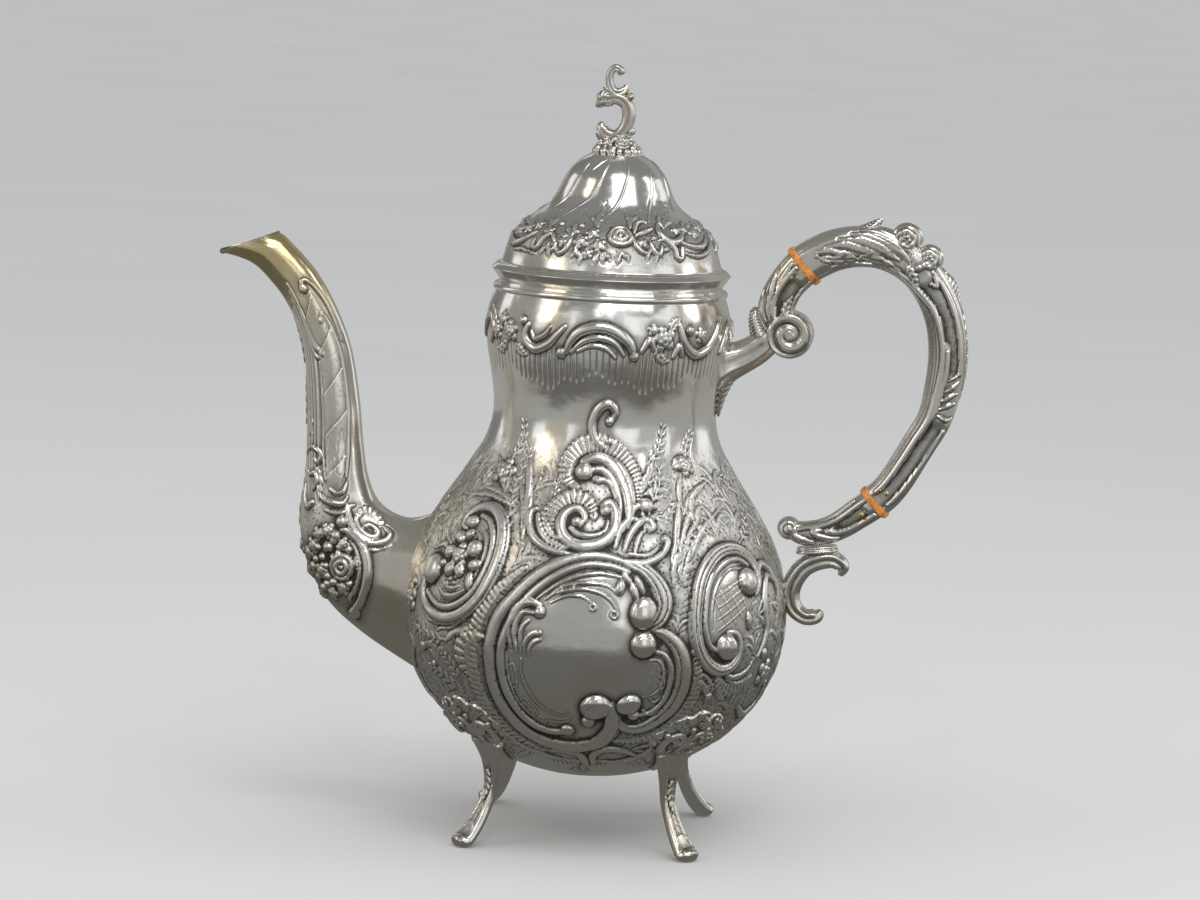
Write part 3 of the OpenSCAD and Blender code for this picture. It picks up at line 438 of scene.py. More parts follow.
    def sprig(self, path: Sequence[Sequence[float]], pairs: int, size: float, height: float) -> None:
        """Draw a thin stem with pairs of small pointed leaves that shrink towards the tip."""
        line = even_line(smooth_line(path, 12), 0.6)
        self.stroke(path, [0.35, 0.3, 0.2], 0.6 * height, dip=0.1)
        at = np.linspace(0.18, 1, pairs)
        for share in at:
            k = min(int(share * (len(line) - 1)), len(line) - 2)
            rate_v, rate_u = self.surface.rates(line[k, 0], line[k, 1])
            step = (line[k + 1] - line[max(k - 1, 0)]) * [rate_v, rate_u]
            carry = self.about(line[k], math.degrees(math.atan2(step[1], step[0])))
            long = size * (1.15 - 0.5 * share)
            for side in (-1, 1):
                self.stroke(carry([(0, 0), (0.55 * long, 0.42 * side * long), (long, 0.55 * side * long)]),
                            [0.1 * long, 0.24 * long, 0.05], height, Shape.LEAN, dip=0.14)

    def strew(self, tries: int, low: float, high: float, size: float, height: float, seed: int) -> None:
        """Fill the bare matted ground with small fronds in threes.

        Places and turns are drawn at random, and a place is used when the sheet there is matted and still
        low, so that the groups keep off the frames and off each other.

        Args:
            tries: how many places are drawn.
            low: the lowest height on the sheet.
            high: the greatest height on the sheet.
            size: the length of the longest frond in mm.
            height: the fronds' height.
            seed: the seed of the draws.
        """
        rng = np.random.default_rng(seed)
        draws = zip(rng.uniform(-88, 88, tries), rng.uniform(low, high, tries), rng.normal(0, 14, tries),
                    rng.uniform(0.75, 1.25, tries))
        for v, u, lean, scale in draws:
            hand = -1.0 if math.sin(math.radians(9 * v) + 0.05 * u) < 0 else 1.0
            carry = self.about((v, u), 90 - 22 * hand + lean, size * scale)
            probe = carry([(0, 0), (0.3, 0.1), (0.3, -0.25), (0.6, 0.25), (0.9, 0.1), (0.9, 0.5), (0.9, -0.4),
                           (0.5, -0.5), (0.5, 0.6)])
            row, col = self.surface.index(probe[:, 0], probe[:, 1])
            rows = np.clip(np.round(row).astype(int), 0, len(self.surface.u) - 1)
            cols = np.round(col).astype(int) % len(self.surface.v)
            if (np.abs(self.height[rows, cols]).max() > BARE_GROUND
                    or self.matting[rows, cols].min() < MATTED_GROUND):
                continue
            for frond, width in (([(0, 0), (0.45, 0.02), (0.85, 0.24), (1.0, 0.6)], 0.12),
                                 ([(0.05, 0.02), (0.35, 0.16), (0.55, 0.36), (0.56, 0.62)], 0.09),
                                 ([(0.1, 0), (0.5, -0.12), (0.8, -0.36), (0.82, -0.58)], 0.10)):
                w = width * size * scale
                self.stroke(carry([(x, hand * y) for x, y in frond]), [0.3 * w, w, 0.9 * w, 0.2 * w], height,
                            Shape.LEAN, dip=0.16)

    def ring(self, place: Sequence[float], radius: float, width: float, height: float) -> None:
        """Draw a round stroke about a place."""
        circle = radius * np.stack([np.cos(ROUND_TURNS), np.sin(ROUND_TURNS)], axis=1)
        self.stroke(self.about(place)(circle), width, height, dip=0.16)

    def cut(self, path: Sequence[Sequence[float]], width: float, depth: float,
            offset: float = 0.0) -> None:
        """Sink a groove of the given half width and depth along a path."""
        found = self.near(self.trace(path), width + abs(offset) + 0.3)
        if found is None:
            return
        win, across, _, _ = found
        self.height[win] -= depth * section_of(Shape.RIDGE, (across - offset) / width)

    def comb(self, path: Sequence[Sequence[float]], inner: float, outer: float, pitch: float,
             height: float, lean: float = 0.0) -> None:
        """Comb a row of short cuts across a band beside a path.

        The height is a cosine of the run along the path, faded at both edges of the band.

        Args:
            path: (v, u) stations.
            inner: where the band starts to the left of the path, in mm; negative is to the right.
            outer: where it ends.
            pitch: distance between cuts.
            height: half the difference between crest and cut.
            lean: how many mm of run each mm across adds.
        """
        found = self.near(self.trace(path), max(abs(inner), abs(outer)) + 0.5)
        if found is None:
            return
        win, across, share, run = found
        low, high = min(inner, outer), max(inner, outer)
        wobble = 0.22 * np.sin(run * 1.7) + 0.16 * np.sin(run * 4.1 + 1)
        fade = (soft_step(across, low, low + 0.5) * (1 - soft_step(across, high - 1.6 + 2 * wobble, high))
                * soft_step(share, 0, 0.03) * (1 - soft_step(share, 0.97, 1)))
        wave = np.cos(2 * np.pi * (run + lean * across) / pitch)
        self.height[win] += height * fade * (wave - 0.35)

    def blob(self, place: Sequence[float], radius: float, height: float, long: float = 1.0,
             turn: float = 0.0, dip: float = 0.12, base: float = 0.0, vein: float = 0.0) -> None:
        """Raise an oval button: the height times the square root of 1 less the squared distance.

        Args:
            place: its (v, u).
            radius: half its width in mm.
            height: its height in mm.
            long: its length divided by its width.
            turn: direction of its length, in degrees from +v towards +u.
            dip: twice the depth of the groove round it, in mm.
            base: height of the ground that it stands on.
            vein: depth of a groove along its length.
        """
        s = self.surface
        reach = radius * max(long, 1) + 0.7
        win = self.window((place[0], place[1]), (place[0], place[1]), reach)
        if win is None:
            return
        row, col = s.index(place[0], place[1])
        r = min(max(int(round(float(row))), 0), len(s.u) - 1)
        c = int(round(float(col))) % len(s.v) if s.wrap else min(max(int(round(float(col))), 0),
                                                                 len(s.v) - 1)
        centre = s.place(np.array([place[0]]), np.array([place[1]]))[0]
        rows, cols = slice(max(r - 1, 0), r + 2), (np.arange(c - 1, c + 2) % len(s.v))
        across = s.points[r, cols[2] if s.wrap or c + 1 < len(s.v) else c] - s.points[r, cols[0]]
        if not s.wrap and c in (0, len(s.v) - 1):
            across = s.points[r, min(c + 1, len(s.v) - 1)] - s.points[r, max(c - 1, 0)]
        up = s.points[rows, c][-1] - s.points[rows, c][0]
        across = across / np.linalg.norm(across)
        up = up / np.linalg.norm(up)
        angle = math.radians(turn)
        away = s.points[win] - centre
        a, b = away @ across, away @ up
        x = (a * math.cos(angle) + b * math.sin(angle)) / (radius * long)
        y = (-a * math.sin(angle) + b * math.cos(angle)) / radius
        q = np.sqrt(x * x + y * y)
        q = np.where((away ** 2).sum(-1) > (2 * reach) ** 2, 9, q)
        raised = height * np.sqrt(np.clip(1 - q * q, 0, 1))
        if vein:
            raised = raised - vein * np.exp(-(y * radius / 0.35) ** 2) * (np.abs(x) < 0.8)
        self.press(win, raised, q < 1, (q - 1) * radius, dip, base)

    # -- motifs, drawn in mm about a place --

    def about(self, place: Sequence[float], turn: float = 0.0,
              scale: float = 1.0) -> Callable[[Array], Array]:
        """Return a function that carries motif points in mm to (v, u) round a place.

        Args:
            place: the (v, u) of the motif's origin.
            turn: how far the motif is turned, in degrees from +v towards +u.
            scale: its scale.

        Returns:
            The mapping for arrays of (x, y) rows.
        """
        rate_v, rate_u = self.surface.rates(place[0], place[1])
        cos, sin = math.cos(math.radians(turn)) * scale, math.sin(math.radians(turn)) * scale

        def carry(xy: Sequence[Sequence[float]]) -> Array:
            """Turn, scale and place the points."""
            p = np.atleast_2d(np.asarray(xy, float))
            x, y = p[:, 0], p[:, 1]
            return np.stack([place[0] + (x * cos - y * sin) / rate_v,
                             place[1] + (x * sin + y * cos) / rate_u], axis=1)

        return carry

    def leaf(self, path: Sequence[Sequence[float]], width: float, height: float, lobes: int = 5,
             sides: tuple[int, ...] = (-1, 1)) -> None:
        """Raise an acanthus leaf: an arched blade with a lobed edge, slanting flutes and a sunk midrib.

        Half the width at a share t of the length is 0.62 width sin(pi (0.1 + 0.9 t)^0.8). Both it and the
        height swing with the cosine of the run less the slant times the distance from the midrib.

        Args:
            path: (v, u) stations of the midrib, from the stalk to the tip.
            width: half the leaf's greatest width in mm.
            height: height of the lobes.
            lobes: lobes on each side.
            sides: which sides have lobes, 1 for left.
        """
        trace = self.trace(path)
        width *= 0.62
        found = self.near(trace, width + 0.6)
        if found is None:
            return
        win, across, share, run = found
        away = np.abs(across)
        pitch = trace.run[-1] / (lobes + 0.5)
        wave = np.abs(np.cos(np.pi * (run - FLUTE_SLANT * away) / pitch))
        size = width * np.sin(np.pi * (0.1 + 0.9 * share) ** 0.8) * (0.62 + 0.38 * wave)
        size = np.where((across > 0) & (1 not in sides) | (across < 0) & (-1 not in sides), 0.3 * size, size)
        x = away / np.maximum(size, THINNEST)
        raised = height * np.sqrt(np.clip(1 - x ** 3, 0, 1)) * (0.55 + 0.45 * wave)
        raised -= 0.45 * height * np.exp(-(away / 0.28) ** 2)
        self.press(win, raised, x < 1, away - size, 0.2, 0.0)

    def rosette(self, place: Sequence[float], radius: float, height: float, petals: int = 5,
                turn: float = 0.0) -> None:
        """Draw an open rose: a ring of round petals, a smaller ring turned by half a petal, and an eye."""
        for ring, (share, size, lift) in enumerate(((0.6, 0.46, 0.0), (0.3, 0.34, 0.35))):
            for i in range(petals):
                angle = turn + 360 * (i + 0.5 * ring) / petals
                carry = self.about(place, angle)
                where = carry([(share * radius, 0)])[0]
                self.blob(where, size * radius, height * 0.6, long=0.86, turn=angle + 90, dip=0.16,
                          base=lift * height, vein=0.12)
        self.blob(place, 0.2 * radius, height * 0.45, base=0.62 * height, dip=0.2)

    def ring_rose(self, place: Sequence[float], radius: float, height: float) -> None:
        """Draw a tight rose: two ring-shaped rolls of petals round an eye."""
        for share, lift in ((0.78, 0.0), (0.42, 0.3)):
            ring = share * radius * np.stack([np.cos(ROUND_TURNS), np.sin(ROUND_TURNS)], axis=1)
            self.stroke(self.about(place)(ring), 0.2 * radius, height * 0.7, base=lift * height, dip=0.16)
        self.blob(place, 0.17 * radius, height * 0.5, base=0.5 * height, dip=0.15)

    def berries(self, place: Sequence[float], spread: float, radius: float, height: float,
                count: int, seed: int) -> None:
        """Scatter a bunch of berries on a sunflower spiral with a little play."""
        rng = np.random.default_rng(seed)
        for i in range(count):
            reach = spread * math.sqrt((i + 0.4) / count)
            angle = 2.399963 * i + rng.uniform(-0.2, 0.2)
            where = self.about(place)([(reach * math.cos(angle), reach * math.sin(angle))])[0]
            self.blob(where, radius * rng.uniform(0.8, 1.1), height, dip=0.14)

    def shell(self, place: Sequence[float], turn: float, spread: float, inner: float, outer: float,
              ribs: int, height: float) -> None:
        """Fan a shell: ribs between two radii, with a scalloped rim.

        The height is the cosine of the angle times the number of ribs, rising towards the rim, and the rim's
        radius swings with the same cosine.

        Args:
            place: the (v, u) of the fan's centre.
            turn: direction of its middle, in degrees.
            spread: half its angle, in degrees.
            inner: radius where the ribs start, in mm.
            outer: radius of the rim.
            ribs: number of ribs.
            height: height at the rim.
        """
        win = self.window((place[0], place[1]), (place[0], place[1]), outer + 1)
        if win is None:
            return
        s = self.surface
        rate_v, rate_u = s.rates(place[0], place[1])
        centre = s.place(np.array([place[0]]), np.array([place[1]]))[0]
        side = s.place(np.array([place[0] + 0.5 / rate_v]), np.array([place[1]]))[0] - centre
        rise = s.place(np.array([place[0]]), np.array([place[1] + 0.5 / rate_u]))[0] - centre
        away = s.points[win] - centre
        a = away @ (side / np.linalg.norm(side))
        b = away @ (rise / np.linalg.norm(rise))
        reach = np.hypot(a, b)
        angle = (np.degrees(np.arctan2(b, a)) - turn + 540) % 360 - 180
        rib = np.abs(np.cos(np.pi * ribs * (angle / (2 * spread) + 0.5)))
        rim = outer * (0.9 + 0.1 * rib)
        share = np.clip((reach - inner) / (rim - inner), 0, 1)
        inside = (reach > inner) & (reach < rim) & (np.abs(angle) < spread)
        raised = height * (0.35 + 0.65 * share) * (0.3 + 0.7 * rib) * np.sqrt(
            np.clip(1 - share ** 8, 0, 1))
        self.press(win, raised, inside, np.where(np.abs(angle) < spread, reach - rim, 9), 0.15, 0.0)

    def soften(self, reach: float, share: float) -> None:
        """Blend the relief with its own average over a reach in mm, so that forms swell from the ground."""
        size = max(1, int(round(reach / GRID_MM)))
        self.height = lerp(self.height, box_blur(self.height, size, self.surface.wrap), share)

    def wear(self) -> tuple[Array, Array]:
        """Work out where oxide stays, with painted shade, and where hands polish.

        Returns:
            Recess and crest, each from 0 to 1: how far a cell lies under or over its blurred
            neighbourhood, at two scales.
        """
        cell = GRID_MM
        recess = np.zeros_like(self.height)
        crest = np.zeros_like(self.height)
        for reach, full in ((0.55, 0.16), (1.6, 0.42)):
            mean = box_blur(self.height, max(1, int(round(reach / cell))), self.surface.wrap)
            recess = np.maximum(recess, np.clip((mean - self.height) / full, 0, 1))
            crest = np.maximum(crest, np.clip((self.height - mean) / full, 0, 1))
        return recess, crest

    def carved(self) -> Array:
        """Return the surface's points moved out by the relief."""
        return self.surface.points + self._normals * self.height[..., None]


# ---- meshes ----------------------------------------------------------------------------------------


@dataclass
class Clay:
    """Points, faces, normals and wear, gathered for one piece before it becomes an object."""

    points: list[Array] = field(default_factory=list)
    normals: list[Array] = field(default_factory=list)
    faces: list[Array] = field(default_factory=list)
    wear: list[Array] = field(default_factory=list)
    count: int = 0

    def add(self, points: Array, normals: Array, faces: Sequence[Array], wear: Optional[Array] = None,
            flip: bool = False) -> None:
        """Add a part in mm.

        Args:
            points: (n, 3).
            normals: (n, 3), outwards.
            faces: arrays of indices into points, one row a face.
            wear: (n, 3) columns recess, crest and matting.
            flip: whether the faces are turned round.
        """
        if flip:
            faces = [f[:, ::-1] for f in faces]
        self.points.append(points)
        self.normals.append(normals)
        self.faces += [f + self.count for f in faces]
        self.wear.append(np.zeros((len(points), 3)) if wear is None else wear)
        self.count += len(points)

    def build(self, name: str) -> bpy.types.Object:
        """Make the object: mm become metres, and the pot's own axis goes to its place in the frame."""
        points = np.concatenate(self.points)
        mesh = bpy.data.meshes.new(name)
        sizes = np.concatenate([np.full(len(f), f.shape[1]) for f in self.faces])
        loops = np.concatenate([f.ravel() for f in self.faces])
        mesh.vertices.add(len(points))
        mesh.vertices.foreach_set("co", ((points + [AXIS_X, 0, 0]) * MM).astype(np.float32).ravel())
        mesh.loops.add(len(loops))
        mesh.loops.foreach_set("vertex_index", loops.astype(np.int32))
        mesh.polygons.add(len(sizes))
        mesh.polygons.foreach_set("loop_start", np.concatenate([[0], np.cumsum(sizes)[:-1]]).astype(np.int32))
        mesh.polygons.foreach_set("loop_total", sizes.astype(np.int32))
        mesh.update(calc_edges=True)
        mesh.validate()
        mesh.shade_smooth()
        mesh.normals_split_custom_set_from_vertices(np.concatenate(self.normals))
        wear = np.clip(np.concatenate(self.wear), 0, 1).astype(np.float32)
        for k, layer in enumerate(("recess", "crest", "matting")):
            mesh.attributes.new(layer, "FLOAT", "POINT").data.foreach_set("value", wear[:, k].copy())
        piece = bpy.data.objects.new(name, mesh)
        bpy.context.scene.collection.objects.link(piece)
        return piece


def grid_faces(rows: int, cols: int, wrap: bool, loop: bool = False) -> Array:
    """Return the quads of a grid; wrap closes its columns and loop closes its rows."""
    r = np.arange(rows if loop else rows - 1)[:, None]
    c = np.arange(cols if wrap else cols - 1)[None]
    r1, c1 = (r + 1) % rows, (c + 1) % cols
    return np.stack(np.broadcast_arrays(r * cols + c, r * cols + c1, r1 * cols + c1, r1 * cols + c),
                    axis=-1).reshape(-1, 4)


def walled(clay: Clay, outer: Array, inner: Array, wear: Array, normals: Array, wrap: bool) -> None:
    """Add a wall to the clay: the outer grid, then the inner one downwards, closed to a loop of rows.

    Where the columns don't wrap, the two sides are closed by strips, each face taking one row step of the
    inner grid and all the outer steps that go with it.

    Args:
        clay: where the wall goes.
        outer: rows x columns x 3, from the bottom up.
        inner: fewer rows of the same columns, from the bottom up.
        wear: rows x columns x 3 for the outer grid.
        normals: rows x columns x 3 for the outer grid.
        wrap: whether the columns close.
    """
    rows, cols = outer.shape[:2]
    few = inner.shape[0]
    k = (rows - 1) // (few - 1)
    points = np.concatenate([outer, inner[::-1]]).reshape(-1, 3)
    inside = -normals[::k][:few][::-1]
    # The inner wall is evenly darker and rougher: a fixed recess of 0.35 and matting of 0.3.
    worn = np.concatenate([wear, np.broadcast_to([0.35, 0.0, 0.3], inner.shape)]).reshape(-1, 3)
    faces = [grid_faces(rows + few, cols, wrap, loop=True)]
    if not wrap:
        step = np.arange(few - 1)[:, None]
        up = step * k + np.arange(k + 1)[None]
        back = rows + few - 1 - np.concatenate([step + 1, step], axis=1)
        strip = np.concatenate([up, back], axis=1) * cols
        faces += [strip, (strip + cols - 1)[:, ::-1]]
    clay.add(points, np.concatenate([normals, inside]).reshape(-1, 3), faces, worn)


def solid_limb(clay: Clay, points: Array, normals: Array, wear: Array, flip: bool = False) -> None:
    """Add a closed limb to the clay: a grid that wraps, with a fan of triangles on each end."""
    rows, cols = points.shape[:2]
    ends = np.stack([points[0].mean(0), points[-1].mean(0)])
    heading = np.stack([ends[0] - points[1].mean(0), ends[1] - points[-2].mean(0)])
    heading /= np.maximum(np.linalg.norm(heading, axis=1, keepdims=True), 1e-9)
    c = np.arange(cols)
    first = np.stack([np.full(cols, rows * cols), (c + 1) % cols, c], axis=1)
    last = np.stack([np.full(cols, rows * cols + 1), (rows - 1) * cols + c,
                     (rows - 1) * cols + (c + 1) % cols], axis=1)
    worn = np.concatenate([wear.reshape(-1, 3), wear[[0, -1]].mean(1)])
    clay.add(np.concatenate([points.reshape(-1, 3), ends]),
             np.concatenate([normals.reshape(-1, 3), heading]),
             [grid_faces(rows, cols, True), first, last], worn, flip)


def wear_of(relief: Relief, base: Sequence[float] = (0.0, 0.0, 0.0)) -> Array:
    """Stack recess, crest and matting of a relief, each added to a base value."""
    recess, crest = relief.wear()
    return np.stack([recess + base[0], crest + base[1], relief.matting + base[2]], axis=-1)


def cast(clay: Clay, relief: Relief, base: Sequence[float] = (0.0, 0.0, 0.0)) -> None:
    """Add a chased limb to the clay, its wear on top of a base value."""
    outer = relief.carved()
    solid_limb(clay, outer, relief.surface.normals(outer), wear_of(relief, base), relief.surface.outward < 0)


# ---- finishes --------------------------------------------------------------------------------------


@dataclass
class Wiring:
    """A short hand for building one material's nodes."""

    material: bpy.types.Material
    tree: bpy.types.NodeTree = field(init=False)
    shader: bpy.types.Node = field(init=False)

    def __post_init__(self) -> None:
        """Empty the tree and start it with the shader and the output."""
        self.material.use_nodes = True
        self.tree = self.material.node_tree
        self.tree.nodes.clear()
        self.shader = self.tree.nodes.new("ShaderNodeBsdfPrincipled")
        out = self.tree.nodes.new("ShaderNodeOutputMaterial")
        self.tree.links.new(self.shader.outputs["BSDF"], out.inputs["Surface"])

    def node(self, kind: str, inputs: dict, **settings: object) -> bpy.types.Node:
        """Add a node; an input is a constant or another node's socket."""
        node = self.tree.nodes.new("ShaderNode" + kind)
        for key, value in settings.items():
            setattr(node, key, value)
        for key, value in inputs.items():
            self.feed(node.inputs[key], value)
        return node

    def feed(self, socket: bpy.types.NodeSocket, value: object) -> None:
        """Link a socket or set its constant."""
        if isinstance(value, bpy.types.NodeSocket):
            self.tree.links.new(value, socket)
        else:
            socket.default_value = value

    def calc(self, operation: str, a: object, b: object = 0.0, clamp: bool = False) -> bpy.types.NodeSocket:
        """Do one sum on two values."""
        return self.node("Math", {0: a, 1: b}, operation=operation, use_clamp=clamp).outputs[0]

    def blend(self, share: object, a: object, b: object) -> bpy.types.NodeSocket:
        """Blend two colours."""
        return self.node("Mix", {0: share, 6: a, 7: b}, data_type="RGBA").outputs[2]

    def layer(self, name: str) -> bpy.types.NodeSocket:
        """Read a wear attribute."""
        return self.node("Attribute", {}, attribute_name=name).outputs["Fac"]

    def place(self, scale: Sequence[float] = (1, 1, 1)) -> bpy.types.NodeSocket:
        """Read the piece's own coordinates, stretched by a scale."""
        coordinates = self.node("TexCoord", {}).outputs["Object"]
        return self.node("Mapping", {"Vector": coordinates, "Scale": tuple(scale)}).outputs[0]

    def noise(self, scale: float, detail: float = 3.0, rough: float = 0.55,
              where: Optional[bpy.types.NodeSocket] = None) -> bpy.types.NodeSocket:
        """Return a noise value; scale is in features a metre."""
        return self.node("TexNoise", {"Vector": where or self.place(), "Scale": scale, "Detail": detail,
                                      "Roughness": rough}).outputs["Fac"]

    def bump(self, height: object, distance: float, under: Optional[bpy.types.NodeSocket] = None
             ) -> bpy.types.NodeSocket:
        """Return a bumped normal; distance is in metres."""
        inputs = {"Height": height, "Distance": distance, "Strength": 1.0}
        if under is not None:
            inputs["Normal"] = under
        return self.node("Bump", inputs).outputs["Normal"]


@dataclass(frozen=True)
class Silver:
    """Old silver: bright where it is rubbed, dark oxide and painted shade in the recesses, warm where it has
    tarnished, and optionally a gold band by height that is a painted warm reflection.
    """

    name: str
    bright: tuple[float, float, float] = (0.87, 0.865, 0.84)
    warm: tuple[float, float, float] = (0.74, 0.67, 0.52)
    oxide: tuple[float, float, float] = (0.10, 0.09, 0.075)
    tarnish: float = 0.45
    depth: float = 0.95
    # Heights in metres where a gold band, a painted warm reflection, comes in; a start of 1 or more means no
    # band.
    painted_warm_reflection_band: tuple[float, float] = (9.0, 10.0)
    punch: float = 0.5
    roughness: float = 0.17
    grain: float = 0.5

    def material(self) -> bpy.types.Material:
        """Build the material.

        Returns:
            A metal whose colour goes from bright to oxide and painted shade with the recess attribute, with
            warm clouds of tarnish and an optional gold band by height that is a painted warm reflection, and
            whose roughness and bump take fine scratches, planishing marks and matting.
        """
        mat = bpy.data.materials.new(self.name)
        w = Wiring(mat)
        recess, crest, matting = w.layer("recess"), w.layer("crest"), w.layer("matting")
        cloud = w.noise(34, 4, 0.6)
        fleck = w.noise(420, 5, 0.65)
        scratch = w.noise(900, 3, 0.6, w.place((0.25, 0.25, 1.0)))
        stain = w.node("MapRange", {0: cloud, 1: 0.44, 2: 0.68, 3: 0.0, 4: self.tarnish}).outputs[0]
        ground = w.blend(stain, (*self.bright, 1), (*self.warm, 1))
        # A gold band over the top by height: a painted warm reflection.
        if self.painted_warm_reflection_band[0] < 1:
            height = w.node("SeparateXYZ", {0: w.node("TexCoord", {}).outputs["Object"]}).outputs["Z"]
            low, high = self.painted_warm_reflection_band
            painted_warm_reflection = w.node("MapRange", {0: height, 1: low, 2: high, 3: 0.0, 4: 1.0}).outputs[0]
            painted_warm_reflection = w.calc("MULTIPLY", painted_warm_reflection, w.calc("ADD", w.calc("MULTIPLY", cloud, 0.9), 0.45), clamp=True)
            ground = w.blend(painted_warm_reflection, ground, PAINTED_WARM_REFLECTION_GOLD)
        # Darkening in the recesses: oxide that old silver holds there, and painted shade; the punched
        # matting, the flecks and the polished crests change it too.
        oxide_and_shade = w.calc("MULTIPLY", w.calc("POWER", recess, 1.1), self.depth)
        stipple = w.node("TexVoronoi", {"Vector": w.place(), "Scale": PUNCH_MARKS}).outputs["Distance"]
        pit = w.calc("MULTIPLY", w.calc("LESS_THAN", stipple, 0.29), matting)
        punched = w.calc("ADD", w.calc("MULTIPLY", matting, 0.10), w.calc("MULTIPLY", pit, self.punch))
        oxide_and_shade = w.calc("ADD", oxide_and_shade, punched)
        oxide_and_shade = w.calc("MULTIPLY", oxide_and_shade, w.calc("ADD", w.calc("MULTIPLY", fleck, 0.9), 0.6))
        oxide_and_shade = w.calc("SUBTRACT", oxide_and_shade, w.calc("MULTIPLY", crest, 0.5), clamp=True)
        w.feed(w.shader.inputs["Base Color"], w.blend(oxide_and_shade, ground, (*self.oxide, 1)))
        w.shader.inputs["Metallic"].default_value = 1.0
        rough = w.calc("ADD", w.calc("MULTIPLY", oxide_and_shade, 0.30), self.roughness)
        rough = w.calc("ADD", rough, w.calc("MULTIPLY", matting, 0.16))
        rough = w.calc("ADD", rough, w.calc("MULTIPLY", w.calc("SUBTRACT", fleck, 0.5), 0.18))
        w.feed(w.shader.inputs["Roughness"], w.calc("MAXIMUM", rough, 0.06))
        planish = w.bump(w.noise(95, 2, 0.5), 0.00042 * self.grain)
        fine = w.bump(scratch, 0.000035 * self.grain, planish)
        w.feed(w.shader.inputs["Normal"], w.bump(w.calc("MULTIPLY", pit, -1.0), 0.00012, fine))
        return mat


@dataclass(frozen=True)
class Insulator:
    """The orange-brown insulating discs: a glossy coat over a faintly grained body."""

    name: str = "insulator_brown"
    pale: tuple[float, float, float] = (0.80, 0.31, 0.065)
    deep: tuple[float, float, float] = (0.22, 0.06, 0.014)

    def material(self) -> bpy.types.Material:
        """Build the material: two browns in streaks along the disc's face, under a faint grain."""
        mat = bpy.data.materials.new(self.name)
        w = Wiring(mat)
        streak = w.noise(320, 4, 0.6, w.place((1.0, 0.2, 1.0)))
        shade = w.node("MapRange", {0: streak, 1: 0.42, 2: 0.66}).outputs[0]
        w.feed(w.shader.inputs["Base Color"], w.blend(shade, (*self.pale, 1), (*self.deep, 1)))
        w.feed(w.shader.inputs["Roughness"], w.calc("ADD", w.calc("MULTIPLY", streak, 0.3), 0.22))
        w.feed(w.shader.inputs["Normal"], w.bump(w.noise(1500, 3), 0.00003))
        return mat


# ---- profiles and limbs ----------------------------------------------------------------------------


def lerp(a: Array | float, b: Array | float, t: Array | float) -> Array | float:
    """Blend from a to b by t."""
    return a + (b - a) * t


def ease(t: Array) -> Array:
    """Return half of 1 less the cosine of t half turns."""
    return (1 - np.cos(np.pi * t)) / 2


def revolved(profile: Array, columns: int, rows: Optional[int] = None) -> Surface:
    """Turn a profile of (r, z) round the pot's axis.

    A point at angle phi from the front stands at (r sin phi, -r cos phi, z).

    Args:
        profile: points from the bottom up.
        columns: columns of the grid, closed round.
        rows: rows of the grid; the profile is put at even distances. None keeps its points.

    Returns:
        The surface, with v as the angle in degrees and u as the height.
    """
    if rows:
        profile = even_line(profile, run_lengths(profile)[-1] / (rows - 1))
    phi = -180 + 360 * np.arange(columns) / columns
    a = np.radians(phi)[None]
    r, z = profile[:, :1], profile[:, 1:2]
    points = np.stack([r * np.sin(a), -r * np.cos(a), np.broadcast_to(z, (len(r), columns))], axis=2)
    return Surface(points, profile[:, 1].copy(), phi, wrap=True)


def limb_surface(stations: Sequence[Sequence[float]], rows: int, columns: int, power: float = 2.0,
                 first: Optional[float] = None, last: Optional[float] = None,
                 angles: bool = False) -> Surface:
    """Carry a superellipse along a smooth line in the pot's upright plane.

    A section point at angle v stands half_t |cos v|^(2/power) across the line and half_w
    |sin v|^(2/power) towards the viewer, where v = 0 is the left of the travel and v = 90 the viewer's side.

    Args:
        stations: (x, z, half thickness, half width), or (x, z, angle, half thickness, half width).
        rows: rows of the grid.
        columns: columns, closed round.
        power: the superellipse's power.
        first: direction at the start in degrees, if it is given.
        last: direction at the end.
        angles: whether the stations hold their own angles.

    Returns:
        The surface, with v in degrees and u as the run along the line in mm.
    """
    line = smooth_line(stations, 24)
    line = even_line(line, run_lengths(line, slice(0, 2))[-1] / (rows - 1), slice(0, 2))
    if angles:
        x, z, angle, half_t, half_w = line.T
        angle = np.radians(angle)
    else:
        x, z, half_t, half_w = line.T
        slope = np.gradient(line[:, :2], axis=0)
        angle = np.unwrap(np.arctan2(slope[:, 1], slope[:, 0]))
        for given, end, reach in ((first, 0, 1), (last, len(line) - 1, -1)):
            if given is not None:
                turn = math.radians(given) - angle[end]
                turn = (turn + math.pi) % (2 * math.pi) - math.pi
                count = max(2, rows // 24)
                fade = np.linspace(1, 0, count) ** 2
                span = slice(0, count) if reach == 1 else slice(len(line) - count, len(line))
                angle[span] += turn * (fade if reach == 1 else fade[::-1])
    v = -180 + 360 * np.arange(columns) / columns
    a = np.radians(v)[None]
    across = half_t[:, None] * np.sign(np.cos(a)) * np.abs(np.cos(a)) ** (2 / power)
    side = half_w[:, None] * np.sign(np.sin(a)) * np.abs(np.sin(a)) ** (2 / power)
    points = np.stack([x[:, None] - across * np.sin(angle)[:, None],
                       -side + 0 * across, z[:, None] + across * np.cos(angle)[:, None]], axis=2)
    return Surface(points, run_lengths(line, slice(0, 2)), v, wrap=True)


